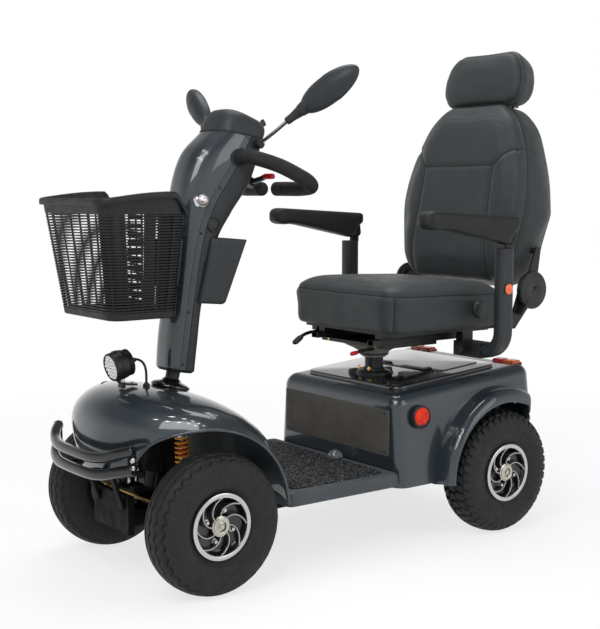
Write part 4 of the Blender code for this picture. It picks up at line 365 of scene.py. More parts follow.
class Shader:
    """Nodes of one material, ending in a principled shader."""

    def __init__(self, name: str) -> None:
        """Starts an empty material with object coordinates at hand."""
        self.material = bpy.data.materials.new(name)
        self.material.use_nodes = True
        self.tree = self.material.node_tree
        self.tree.nodes.clear()
        self.surface = self.tree.nodes.new("ShaderNodeBsdfPrincipled")
        end = self.tree.nodes.new("ShaderNodeOutputMaterial")
        self.tree.links.new(self.surface.outputs[0], end.inputs["Surface"])
        self.place = self.tree.nodes.new("ShaderNodeTexCoord").outputs["Object"]

    def node(self, kind: str, inputs: dict[str, object], **settings: object) -> bpy.types.Node:
        """A node with its settings, whose inputs are fed by sockets or set to values."""
        made = self.tree.nodes.new("ShaderNode" + kind)
        for name, value in settings.items():
            setattr(made, name, value)
        for name, value in inputs.items():
            self.feed(made.inputs[int(name) if name.isdigit() else name], value)
        return made

    def feed(self, socket: Socket, value: object) -> None:
        """Links a socket to an input, or sets the input to a value."""
        if isinstance(value, Socket):
            self.tree.links.new(value, socket)
        else:
            socket.default_value = value

    def shifted(self, scale: Point) -> Socket:
        """Object coordinates stretched along the axes."""
        return self.node("Mapping", {"Vector": self.place, "Scale": scale}).outputs[0]

    def noise(self, scale: float, detail: float = 3.0, place: Socket | None = None) -> Socket:
        """Cloudy noise from 0 to 1."""
        inputs = {"Vector": place or self.place, "Scale": scale, "Detail": detail}
        return self.node("TexNoise", inputs).outputs[0]

    def cells(self, scale: float, feature: str = "F1", place: Socket | None = None) -> bpy.types.Node:
        """Voronoi cells."""
        inputs = {"Vector": place or self.place, "Scale": scale}
        return self.node("TexVoronoi", inputs, feature=feature)

    def remap(self, value: Socket, low: float, high: float, to_low: float, to_high: float) -> Socket:
        """A value carried from one range to another, held at the ends."""
        inputs = {"Value": value, "From Min": low, "From Max": high, "To Min": to_low, "To Max": to_high}
        return self.node("MapRange", inputs).outputs[0]

    def sums(self, operation: str, first: object, second: object) -> Socket:
        """One step of arithmetic."""
        return self.node("Math", {"0": first, "1": second}, operation=operation).outputs[0]

    def blend(self, share: Socket, first: object, second: object) -> Socket:
        """A colour between two colours."""
        made = self.node("Mix", {}, data_type="RGBA")
        self.feed(made.inputs[0], share)
        for socket, value in ((made.inputs[6], first), (made.inputs[7], second)):
            self.feed(socket, (*value, 1.0) if isinstance(value, tuple) else value)
        return made.outputs[2]

    def relief(self, height: Socket, depth: float) -> None:
        """Bump of a depth in metres on the shader's normal."""
        bump = self.node("Bump", {"Height": height, "Distance": depth, "Strength": 1.0})
        self.tree.links.new(bump.outputs[0], self.surface.inputs["Normal"])


@dataclass(frozen=True)
class Finish:
    """A finish: its colour wanders by mottle, and its relief is one kind of grain."""

    name: str
    slot: str
    colour: Triple
    roughness: float
    metallic: float = 0.0
    coat: float = 0.0
    mottle: float = .18
    mottle_scale: float = 14.0
    grain: Grain = Grain.SPECK
    grain_scale: float = 900.0
    grain_depth: float = .00006
    transmission: float = 0.0
    sheen: float = 0.0
    specular: float = .38

    def tinted(self, share: float) -> Triple:
        """The colour made lighter or darker by a share."""
        return tuple(min(1.0, c * (1 + share)) for c in self.colour)

    def colours(self, shader: Shader) -> Socket:
        """Colour that wanders in two sizes of cloud."""
        broad = shader.noise(self.mottle_scale)
        fine = shader.noise(self.mottle_scale * 22, 2.0)
        share = shader.remap(shader.sums("ADD", broad, fine), .7, 1.3, 0.0, 1.0)
        return shader.blend(share, self.tinted(-self.mottle), self.tinted(self.mottle))

    def height(self, shader: Shader) -> Socket:
        """Relief of the grain, from 0 to 1."""
        if self.grain is Grain.PEBBLE:
            cells = shader.cells(self.grain_scale, "SMOOTH_F1").outputs["Distance"]
            return shader.remap(cells, .05, .75, 1.0, 0.0)
        if self.grain is Grain.BRUSHED:
            return shader.noise(self.grain_scale, 2.0, shader.shifted((1.0, .04, 1.0)))
        if self.grain is Grain.FOAM:
            return shader.remap(shader.cells(self.grain_scale).outputs["Distance"], .1, .6, 0.0, 1.0)
        return shader.noise(self.grain_scale, 6.0 if self.grain is Grain.CAST else 3.0)

    def wear(self, shader: Shader) -> Socket:
        """Roughness that wanders a little, as on a handled surface."""
        cloud = shader.noise(self.mottle_scale * 3, 5.0)
        return shader.remap(cloud, .3, .7, .82 * self.roughness, min(1.0, 1.2 * self.roughness))

    @lru_cache(maxsize=None)
    def material(self) -> bpy.types.Material:
        """The finish as a material, made once."""
        shader = Shader(self.name)
        surface = shader.surface.inputs
        shader.feed(surface["Base Color"], self.colours(shader))
        shader.feed(surface["Roughness"], self.wear(shader))
        surface["Metallic"].default_value = self.metallic
        surface["Coat Weight"].default_value = self.coat
        surface["Transmission Weight"].default_value = self.transmission
        surface["Sheen Weight"].default_value = self.sheen
        surface["Specular IOR Level"].default_value = self.specular
        shader.relief(self.height(shader), self.grain_depth)
        return shader.material


@dataclass(frozen=True)
class FlakePaint(Finish):
    """Metallic paint: pale flakes in a dark base under a clear coat."""

    flake_scale: float = 1500.0

    def colours(self, shader: Shader) -> Socket:
        """Dark base with scattered pale flakes."""
        base = super().colours(shader)
        flakes = shader.cells(self.flake_scale).outputs["Color"]
        bright = shader.remap(shader.node("SeparateColor", {"Color": flakes}).outputs[0], .8, 1.0, 0.0, .5)
        return shader.blend(bright, base, self.tinted(1.6))


@dataclass(frozen=True)
class GritMat(Finish):
    """Mat with grit rolled into it: pale grains among dark ones."""

    grit_scale: float = 400.0
    pale: Triple = (.36, .37, .38)

    def colours(self, shader: Shader) -> Socket:
        """Dark mat with about one grain in five pale."""
        pick = shader.node("SeparateColor", {"Color": shader.cells(self.grit_scale).outputs["Color"]})
        near = shader.remap(shader.cells(self.grit_scale).outputs["Distance"], .35, .55, 1.0, 0.0)
        share = shader.sums("MULTIPLY", shader.remap(pick.outputs[0], .72, .95, 0.0, 1.0), near)
        return shader.blend(share, super().colours(shader), self.pale)


@dataclass(frozen=True)
class Perforated(Finish):
    """Vinyl with pebble grain, whose middle panels are pierced by rows of pinholes."""

    pitch: float = .0042
    panel_half: float = .15
    panel_front: float = .14
    panel_back: float = .47

    def height(self, shader: Shader) -> Socket:
        """Pebble grain, less pinholes inside the middle panel of the seat."""
        grain = super().height(shader)
        parts = shader.node("SeparateXYZ", {"Vector": shader.place})
        waves = [shader.sums("SINE", shader.sums("MULTIPLY", parts.outputs[i], 2 * math.pi / self.pitch), 0.0)
                 for i in (0, 1)]
        holes = shader.remap(shader.sums("MULTIPLY", *waves), .55, .9, 0.0, 1.0)
        inside = shader.remap(shader.sums("ABSOLUTE", parts.outputs[0], 0.0), self.panel_half - .004,
                              self.panel_half, 1.0, 0.0)
        for limit, way in ((self.panel_front, 1), (self.panel_back, -1)):
            edge = limit + MIDDLE[1]
            inside = shader.sums("MULTIPLY", inside, shader.remap(
                parts.outputs[1], edge - way * .004, edge, 0.0, 1.0))
        return shader.sums("SUBTRACT", grain, shader.sums("MULTIPLY", holes, inside))


@dataclass(frozen=True)
class Prism(Finish):
    """Moulded reflector: small faceted cells that throw light back in patches, painted into the colour as
    reflection.
    """

    cell_scale: float = 260.0

    def colours(self, shader: Shader) -> Socket:
        """Cells from deep to bright: painted reflection, each cell's own brightness standing in for the light
        that its facets throw back.
        """
        pick = shader.node("SeparateColor", {"Color": shader.cells(self.cell_scale).outputs["Color"]})
        return shader.blend(pick.outputs[0], self.tinted(-.35), self.tinted(.35))

    def height(self, shader: Shader) -> Socket:
        """Pointed cells."""
        return shader.cells(self.cell_scale).outputs["Distance"]


PAINT = FlakePaint("body_paint_flake", "body_paint", (.017, .025, .032), .36, .25, 1.0, .1, 4.0,
                   grain_scale=40.0, grain_depth=.00002)
STRIP_PAINT = FlakePaint("strip_paint_flake", "body_paint", (.03, .041, .051), .46, .2, .3, .08, 4.0)
PLASTIC = Finish("moulded_plastic", "dark_plastic", (.024, .027, .03), .5, specular=.3, grain_scale=700.0,
                 grain_depth=.0001)
BLACK_PLASTIC = Finish("black_plastic", "dark_plastic", (.012, .013, .014), .42)
BASKET_PLASTIC = Finish("basket_plastic", "dark_plastic", (.01, .011, .012), .46, specular=.3)
SKIRT = Finish("skirt_plastic", "dark_plastic", (.046, .054, .061), .52)
HEEL = Finish("heel_panel", "dark_plastic", (.074, .069, .062), .72, specular=.25, grain_scale=420.0,
              grain_depth=.00025)
DECK = Finish("deck_gloss", "gloss_black", (.006, .006, .007), .1, coat=1.0, grain_depth=.00001)
RUBBER = Finish("soft_rubber", "rubber", (.012, .012, .013), .62)
TYRE = Finish("tyre_rubber", "tyre_rubber", (.012, .013, .014), .62, specular=.3, mottle=.3,
              mottle_scale=30.0, grain_scale=500.0, grain_depth=.00012)
FOAM = Finish("grip_foam", "foam_grip", (.011, .012, .013), .7, specular=.3, grain=Grain.FOAM,
              grain_scale=620.0, grain_depth=.00025)
STEEL = Finish("powder_coat", "black_steel", (.008, .009, .01), .42, grain_scale=350.0, grain_depth=.00012)
UNDERCOAT = Finish("frame_undercoat", "black_steel", (.006, .006, .007), .62, specular=.12, grain_scale=300.0,
                   grain_depth=.00015)
ARM_STEEL = Finish("arm_powder_coat", "black_steel", (.017, .02, .023), .46, grain_scale=500.0,
                   grain_depth=.0001)
GLOSS_STEEL = Finish("bumper_enamel", "black_steel", (.005, .005, .006), .14, coat=.6, specular=.34,
                     grain_depth=.00002)
BRIGHT = Finish("bright_steel", "bright_steel", (.52, .52, .51), .26, 1.0, mottle=.08, grain=Grain.BRUSHED,
                grain_scale=600.0, grain_depth=.00003)
CHROME = Finish("signal_chrome", "bright_steel", (.62, .63, .65), .1, 1.0, mottle=.06, grain_depth=.00001)
NICKEL = Finish("hub_nickel", "bright_steel", (.5, .48, .43), .24, 1.0, mottle=.12, grain_depth=.00003)
DISH = Finish("wheel_dish", "dark_plastic", (.006, .006, .007), .26, coat=.6, grain_depth=.00003)
CAST = Finish("cast_metal", "cast_metal", (.38, .37, .34), .5, .3, grain=Grain.CAST, grain_scale=260.0,
              grain_depth=.0003)
GOLD = Finish("gold_zinc", "gold_zinc", (.62, .42, .16), .32, .9, mottle=.3, mottle_scale=60.0)
YELLOW = Finish("spring_enamel", "yellow_enamel", (.8, .36, .02), .34, coat=.4, mottle=.1)
VINYL = Perforated("seat_vinyl", "vinyl", (.0275, .0325, .0345), .5, specular=.25, mottle=.1,
                   mottle_scale=9.0, grain=Grain.PEBBLE, grain_scale=640.0, grain_depth=.00022, sheen=.1)
PIPING = Finish("seam_vinyl", "vinyl", (.01, .011, .012), .6, specular=.2, grain_scale=1200.0)
ARM_PAD = Finish("arm_pad_skin", "dark_plastic", (.011, .012, .013), .48, specular=.26, grain=Grain.PEBBLE,
                 grain_scale=620.0, grain_depth=.00018)
MIRROR_SHELL = Finish("mirror_shell", "dark_plastic", (.022, .026, .031), .46, specular=.32,
                      grain_scale=650.0, grain_depth=.00001)
GLASS = Finish("mirror_glass", "dark_plastic", (.8, .82, .84), .03, 1.0, mottle=.02, grain_depth=.000001)
RED = Finish("red_plastic", "red_plastic", (.52, .012, .016), .34, coat=.3, mottle=.1)
# The Prism finishes paint the reflection of their facets into each cell's colour
AMBER = Prism("amber_lens", "amber_lens", (.8, .11, .008), .16, coat=.8, grain_depth=.0004)
REFLECTOR = Prism("red_reflector", "red_plastic", (.62, .026, .004), .24, specular=.2, grain_depth=.0003,
                  cell_scale=120.0)
TAIL_RED = Prism("tail_lens", "red_plastic", (.6, .015, .012), .15, coat=.8, grain_depth=.0004)
CLEAR = Finish("clear_lens", "amber_lens", (.96, .97, .98), .04, mottle=.01, transmission=.92,
               grain_depth=.00001)
# Painted reflection in the lamp's cells, as in the other Prism finishes
LAMP = Prism("lamp_cells", "bright_steel", (.62, .63, .62), .12, .55, 1.0, cell_scale=420.0,
             grain_depth=.0005)
CASE = Finish("battery_case", "grey_case", (.1, .105, .11), .5)
MAT = GritMat("grit_mat", "dark_plastic", (.006, .006, .007), .7, specular=.15, grain=Grain.CAST,
              grain_scale=420.0, grain_depth=.0006)


# Pieces

def to_mesh(name: str, skin: Skin) -> Mesh:
    """A skin as a mesh in the frame's own place: doubles merged, faces outwards, sharp at corners."""
    mesh = bpy.data.meshes.new(name)
    faces = [row for rows in skin.faces for row in rows.tolist()]
    mesh.from_pydata((skin.points + MIDDLE).tolist(), [], faces)
    bm = bmesh.new()
    bm.from_mesh(mesh)
    bmesh.ops.remove_doubles(bm, verts=bm.verts, dist=MERGE_REACH)
    bmesh.ops.dissolve_degenerate(bm, edges=bm.edges, dist=MERGE_REACH)
    bmesh.ops.recalc_face_normals(bm, faces=bm.faces)
    bm.to_mesh(mesh)
    bm.free()
    mesh.shade_smooth()
    mesh.set_sharp_from_angle(angle=SHARP_ANGLE)
    return mesh


def piece(name: str, skin: Skin, body: str, finish: Finish, nodes: Sequence[str] = (),
          bevel: float = 0.0) -> Object:
    """Puts a skin into the scene as a finished piece that rides on a body.

    Args:
        name: Name of the piece.
        skin: Its surface, in metres from the middle of the wheelbase.
        body: CAD body that it rides on.
        finish: Its finish.
        nodes: CAD nodes that it stands for.
        bevel: Width of the round that its sharp edges get.
    Returns:
        The piece's object.
    """
    return dressed(bpy.data.objects.new(name, to_mesh(name, skin)), body, finish, nodes, bevel)


def dressed(obj: Object, body: str, finish: Finish, nodes: Sequence[str] = (),
            bevel: float = 0.0) -> Object:
    """Links an object into the scene, dresses it and lets it ride on a body."""
    if obj.name not in bpy.context.scene.collection.objects:
        bpy.context.scene.collection.objects.link(obj)
    obj.data.materials.clear()
    obj.data.materials.append(finish.material())
    if bevel:
        round_edges(obj, bevel)
    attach(obj, body)
    if nodes:
        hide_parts(*nodes)
    LOG.info("%s rides on %s, %d points", obj.name, body, len(obj.data.vertices))
    return obj


def round_edges(obj: Object, width: float) -> None:
    """Rounds an object's sharp edges with a bevel."""
    bevel = obj.modifiers.new("edges", "BEVEL")
    bevel.width = width
    bevel.segments = 3
    bevel.limit_method = "ANGLE"
    bevel.angle_limit = SHARP_ANGLE
    bevel.harden_normals = False


def keep_node(node: str, finish: Finish) -> None:
    """Gives a CAD node that stays in view its finish."""
    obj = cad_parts[node]
    obj.data.materials.clear()
    obj.data.materials.append(finish.material())
    LOG.info("%s keeps its CAD shape", node)


def bolt(place: Point, axis: Point, radius: float, height: float) -> Skin:
    """Hexagon bolt head on a washer, with its rim turned down."""
    washer = lathe([(0, 0), (1.5 * radius, 0), (1.5 * radius, .25 * height), (1.4 * radius, .32 * height),
                    (0, .32 * height)], place, axis, 20, False)
    head = lathe([(0, .3 * height), (radius, .3 * height), (radius, .88 * height), (.86 * radius, height),
                  (0, height)], place, axis, 6, False)
    return washer + head


def screw(place: Point, axis: Point, radius: float) -> Skin:
    """Round-headed screw with a sunk socket."""
    return lathe([(0, -radius), (radius, -radius), (radius, .25 * radius), (.8 * radius, .55 * radius),
                  (.45 * radius, .62 * radius), (.42 * radius, .2 * radius), (0, .2 * radius)],
                 place, axis, 16, False)


def sided(points: Array | Point, side: int) -> Array:
    """Points given for the left, on the left for a side of 1 and on the right for -1."""
    return np.asarray(points, float) * (side, 1, 1)


def both_sides(points: Array) -> Array:
    """A half path from the middle outwards, made whole from right to left."""
    points = np.asarray(points, float)
    return np.vstack([sided(points[:0:-1], -1), points])


# Front body

@dataclass
class FrontBody:
    """Bonnet with its mudguards, the boot round the stem, the bumper and the headlight."""

    body: str = "chassis"
    wall: float = .004
    bead: float = .0034
    rail: float = .0125
    stem_lean: float = math.radians(14)
    stem_y: float = -.391
    stem_z: float = .515
    lamp_back: Triple = (0.0, -.5163, .5139)
    lamp_dip: float = math.radians(12)
    lead_radius: float = .003
    lead_end: Pair = (.018, -.485)
    boot_z: float = .412
    gap_radius: float = .0022
    plate_x: Pair = (.183, .189)
    stay_x: float = .06
    lens_radius: float = .0292
    cell_pitch: float = .0098
    # Rows run from the nose to the footplate, and points from the middle out to the left lip
    rows: tuple = (
        ((0, -.622, .262), (.06, -.619, .262), (.098, -.606, .268), (.113, -.594, .276), (.12, -.586, .284)),
        ((0, -.64, .335), (.065, -.636, .335), (.12, -.616, .337), (.158, -.592, .342), (.176, -.578, .346)),
        ((0, -.64, .4), (.08, -.633, .399), (.142, -.609, .394), (.192, -.577, .383), (.211, -.562, .366)),
        ((0, -.59, .445), (.09, -.583, .442), (.163, -.558, .429), (.225, -.526, .408), (.247, -.513, .383)),
        ((0, -.505, .457), (.1, -.502, .454), (.188, -.493, .443), (.258, -.474, .418), (.281, -.464, .389)),
        ((0, -.42, .446), (.1, -.42, .445), (.2, -.419, .436), (.271, -.413, .411), (.292, -.407, .379)),
        ((0, -.365, .429), (.1, -.362, .427), (.2, -.354, .413), (.271, -.346, .382), (.292, -.34, .345)),
        ((0, -.322, .385), (.1, -.317, .383), (.2, -.302, .374), (.268, -.292, .336), (.29, -.293, .295)),
        ((0, -.28, .3), (.1, -.278, .3), (.2, -.266, .297), (.264, -.262, .266), (.287, -.267, .239)),
        ((0, -.258, .214), (.1, -.257, .214), (.2, -.253, .212), (.262, -.252, .2), (.284, -.256, .186)),
    )
    # Panel gap over each mudguard: steps of the skin from the nose, and out from the middle
    gap: tuple = ((44, 19), (47, 23), (51, 27), (56, 29), (60, 32), (66, 36), (72, 38), (77, 41))
    steps: int = 12

    def build(self) -> None:
        """Makes every piece of the front body."""
        self.build_shroud()
        self.build_boot()
        self.build_bumper()
        self.build_headlight()

    def surface(self) -> Array:
        """Skin of the bonnet: a B-spline through the mirrored rows, both ways."""
        half = np.array(self.rows, float)
        whole = np.concatenate([sided(half[:, :0:-1], -1), half], 1)
        across = np.swapaxes(spline_rows(np.swapaxes(whole, 0, 1), self.steps), 0, 1)
        return spline_rows(across, self.steps)

    def build_shroud(self) -> None:
        """One skin with a rolled bead along each mudguard lip."""
        skin = self.surface()
        parts = [shell(skin, self.wall)]
        for lip in (skin[:, 0], skin[:, -1]):
            inset = self.bead * np.stack([-.6 * np.sign(lip[:, 0]), 0 * lip[:, 0], 0 * lip[:, 0] - .2], -1)
            parts.append(tube(lip + inset, self.bead, (1, 0, .2), 12))
        piece("bonnet", joined(parts), self.body, PAINT, ["front_shroud"])
        middle = skin.shape[1] // 2
        steps = np.array(self.gap)
        seams = [tube(smooth(skin[steps[:, 0], middle + side * steps[:, 1]], 8), self.gap_radius, (0, 0, 1),
                      8) for side, _ in SIDES]
        piece("bonnet_seams", joined(seams), self.body, RUBBER)

    def stem_point(self, z: float) -> Array:
        """Point of the raked stem's axis at a height."""
        return np.array((0.0, self.stem_y + (z - self.stem_z) * math.tan(self.stem_lean), z))

    def build_boot(self) -> None:
        """Boot: a low glossy dome on the bonnet with a neck round the stem, turned about the stem."""
        axis = (0.0, math.sin(self.stem_lean), math.cos(self.stem_lean))
        profile = [(.0178, .012), (.03, .012), (.03, .026), (.042, .0275), (.0462, .029), (.0482, .0315),
                   (.048, .0345), (.0455, .0375), (.04, .0405), (.033, .0428), (.027, .0445),
                   (.0235, .0462), (.0218, .0485), (.0205, .051), (.0178, .0515)]
        piece("stem_gaiter", lathe(profile, self.stem_point(self.boot_z), axis, 72), self.body, GLOSS_STEEL,
              ["stem_boot"])

    def rail_path(self, bend_z: float, end_z: float) -> Array:
        """A bumper rail: straight across the nose, then swept back and up to its ends."""
        half = [(0, -.67, bend_z), (.05, -.669, bend_z), (.09, -.6645, bend_z + .001),
                (.126, -.654, bend_z + .006), (.158, -.6385, (bend_z + end_z) / 2 + .004),
                (.186, -.618, end_z)]
        return smooth(both_sides(half), 10)

    def build_bumper(self) -> None:
        """Two bent rails with round ends, joined by plates, on two stays from the frame."""
        upper, lower = self.rail_path(.317, .343), self.rail_path(.278, .3)
        rails = capped(upper, self.rail, (0, 0, 1)) + capped(lower, self.rail, (0, 0, 1))
        piece("bumper_rails", rails, self.body, GLOSS_STEEL, ["front_bumper"])
        plates = []
        for side, _word in SIDES:
            low_x, high_x = self.plate_x
            plates.append(box((side * low_x, -.6285, .29), (side * high_x, -.6085, .352)))
            x = side * self.stay_x
            stay = np.array([(x, -.5753, .178), (x, -.588, .215), (x, -.606, .262), (x, -.633, .279),
                             (x, -.664, .281)])
            section = rounded(.01, .004, .002, 3, 2)
            plates.append(sweep(smooth(stay, 8), section, (0, 1, 1)))
        piece("bumper_stays", joined(plates), self.body, UNDERCOAT, (), .001)
        for side, word in SIDES:
            nuts = joined([bolt((side * self.plate_x[1], -.6185, z), (side, 0, 0), .0042, .004)
                           for z in (.3215, .3035)])
            piece("bumper_nuts_" + word, nuts, self.body, BRIGHT)

    def forward(self) -> Array:
        """Direction that the headlight looks."""
        return np.array((0.0, -math.cos(self.lamp_dip), -math.sin(self.lamp_dip)))

    def build_headlight(self) -> None:
        """Finned lamp with a cluster of lens cells, on a strap and post, with its lead."""
        back, ahead = np.array(self.lamp_back), self.forward()
        fins = [(r, .006 + .0036 * i + s) for i in range(4)
                for r, s in ((.024, 0), (.032, .0004), (.032, .0018), (.024, .0022))]
        profile = [(0, 0), (.018, 0), (.021, .004)] + fins + [
            (.0335, .0206), (.034, .0214), (.034, .0525), (.0335, .0545), (.032, .056), (.03, .056),
            (.0298, .0515), (0, .0515)]
        piece("headlight_case", lathe(profile, back, ahead, 72, False), self.body, BLACK_PLASTIC,
              ["headlight"])
        self.build_lens(back + ahead * .0516, ahead)
        self.build_bracket(back, ahead)
        self.build_lead(back, ahead)

    def build_lens(self, middle: Array, ahead: Array) -> None:
        """Cluster of domes: height is the tallest of a hexagon of caps over a shallow bowl."""
        right = np.array((1.0, 0.0, 0.0))
        up = np.cross(ahead, right)
        ring = np.linspace(0, 1, 30)[:, None] * self.lens_radius
        turn = np.arange(96) * 2 * np.pi / 96
        a, b = ring * np.cos(turn), ring * np.sin(turn)
        pitch = self.cell_pitch
        i, j = np.meshgrid(np.arange(-3, 4), np.arange(-3, 4))
        spots = np.stack([(i + j / 2).ravel() * pitch, (j * math.sqrt(3) / 2).ravel() * pitch], -1)
        far = np.min(np.hypot(a[..., None] - spots[:, 0], b[..., None] - spots[:, 1]), -1)
        dome = .003 * np.clip(1 - (far / (.56 * pitch)) ** 2, 0, 1) + .0004
        points = middle + a[..., None] * right + b[..., None] * up + dome[..., None] * ahead
        rim = points[-1:] - ahead * .0012
        piece("headlight_lens", loft(np.concatenate([points, rim])), self.body, LAMP)

    def build_bracket(self, back: Array, ahead: Array) -> None:
        """Strap round the lamp, with a post down to a foot on the bonnet."""
        strap = lathe([(.0338, .03), (.0358, .03), (.0358, .039), (.0338, .039)], back, ahead, 64)
        post = sweep(smooth(np.array([(0, -.552, .474), (0, -.545, .466), (0, -.537, .462), (0, -.522, .4595),
                                      (0, -.505, .458)]), 6), rounded(.012, .0025, .0012, 3, 3), (0, 1, 1))
        riser = sweep(np.array([(0, -.541, .452), (0, -.541, .462), (0, -.5445, .473), (0, -.5465, .482)]),
                      rounded(.012, .0045, .002, 3, 3), (0, 1, 0))
        piece("headlight_mount", strap + post + riser, self.body, STEEL, ["headlight_bracket"], .0008)
        fixings = bolt((0, -.512, .46), (0, 0, 1), .004, .0045)
        for side, _word in SIDES:
            fixings = fixings + bolt((side * .012, -.5445, .47), (side, 0, 0), .0036, .0035)
        piece("headlight_bolts", fixings, self.body, BRIGHT)

    def build_lead(self, back: Array, ahead: Array) -> None:
        """Lead from the back of the lamp in a loop down into a grommet in the bonnet."""
        x, y = self.lead_end
        route = np.array([back - ahead * .0003, back - ahead * .012, (.003, -.498, .516),
                          (.008, -.49, .5105), (.013, -.486, .501), (.0165, -.485, .49), (x, y, .479),
                          (x, y, .468), (x, y, .4575)])
        path = smooth(route, 5)
        cable = piece("headlight_cable", tube(path, self.lead_radius, (1, .3, 0), 14), self.body, RUBBER,
                      ["headlight_lead"])
        ends = (path + MIDDLE).tolist()
        sleeve = lathe([(.0031, 0), (.0062, 0), (.0062, .004), (.005, .012), (.004, .013), (.0031, .013)],
                       back - ahead * .0005, -ahead, 24)
        grommet = lathe([(.0031, -.004), (.0085, -.004), (.0085, .0015), (.006, .0035), (.0045, .0065),
                         (.0031, .007)], (x, y, .4555), (0, 0, 1), 24)
        piece("lead_grommets", sleeve + grommet, self.body, RUBBER)


# Floor and rear body

@dataclass
class Footplate:
    """Foot tray with its skirt, a grit mat and a clear stop at the back of the floor."""

    body: str = "chassis"
    half: float = .272
    front: float = -.249
    back: float = .1
    top: float = .207
    skirt: float = .034
    edge: float = .012
    corner: float = .016
    border: float = .026
    mat_corner: float = .034
    grit: float = .0007
    stop: Pair = (.034, .077)
    stop_radius: float = .02

    def build(self) -> None:
        """Makes the tray, the mat and the stop."""
        middle = np.array((0.0, (self.front + self.back) / 2))
        half_length = (self.back - self.front) / 2
        self.build_tray(middle, half_length)
        self.build_mat(middle, half_length)
        self.build_stop()

    def ring(self, middle: Array, half_length: float, inset: float, z: float) -> Array:
        """Outline of the tray drawn in by inset, at a height."""
        outline = rounded(self.half - inset, half_length - inset, max(self.corner - inset / 2, .004), 6, 24)
        return np.column_stack([outline + middle, np.full(len(outline), z)])

    def build_tray(self, middle: Array, half_length: float) -> None:
        """Tray: skirt, round edge, raised border and sunk floor under the mat, as one closed wall."""
        turn = np.linspace(0, np.pi / 2, 7)
        stations = [(0.0, self.top - self.skirt)]
        stations += [(self.edge * (1 - math.cos(t)), self.top - self.edge * (1 - math.sin(t))) for t in turn]
        stations += [(self.border - .004, self.top), (self.border - .002, self.top - .0012),
                     (self.border, self.top - .0016), (.1, self.top - .0016), (.16, self.top - .0016)]
        outer = np.stack([self.ring(middle, half_length, *station) for station in stations])
        wall = .004
        inner = np.stack([self.ring(middle, half_length, inset + wall * (i < 6), z - wall * (i > 3))
                          for i, (inset, z) in enumerate(stations)])[::-1]
        floor = loft(np.stack([self.ring(middle, half_length, .158, z)
                               for z in (self.top - .0052, self.top - .0018)]))
        tray = grid(np.concatenate([outer, inner]), True, True) + floor
        piece("foot_tray", tray, self.body, SKIRT, ["footplate"])

    def build_mat(self, middle: Array, half_length: float) -> None:
        """Mat: a sheet of grit whose height is seeded noise, drawn down round its edge."""
        half_a, half_b = self.half - self.border, half_length - self.border
        a, b = np.meshgrid(np.linspace(-1, 1, 190), np.linspace(-1, 1, 116), indexing="ij")
        # A square is bent to a round-cornered one by drawing its corners in
        pull = self.mat_corner * .29 * np.clip((np.abs(a) + np.abs(b) - 1.72) / .28, 0, 1) ** 2
        x, y = a * half_a - np.sign(a) * pull, b * half_b - np.sign(b) * pull
        noise = np.random.RandomState(5).rand(*a.shape)
        rim = np.minimum((1 - np.abs(a)) * half_a, (1 - np.abs(b)) * half_b)
        height = self.top - .0012 + np.minimum(rim * .6, .0016) + self.grit * noise * (rim > .002)
        top = np.stack([x + middle[0], y + middle[1], height], -1)
        bottom = top.copy()
        bottom[..., 2] = self.top - .003
        piece("grit_mat", closed_pair(top, bottom), self.body, MAT)

    def build_stop(self) -> None:
        """Clear half-round stop on a dark washer."""
        place = (*self.stop, self.top)
        radius = self.stop_radius
        turn = np.linspace(0, np.pi / 2, 12)
        dome = [(radius * math.cos(t), .001 + radius * math.sin(t)) for t in turn]
        piece("floor_stop", lathe([(0, .001)] + dome, place, (0, 0, 1), 40, False), self.body, CLEAR)
        washer = lathe([(0, -.001), (.0245, -.001), (.0245, .0006), (.023, .0014), (0, .0014)], place,
                       (0, 0, 1), 40, False)
        piece("floor_stop_washer", washer, self.body, BLACK_PLASTIC)


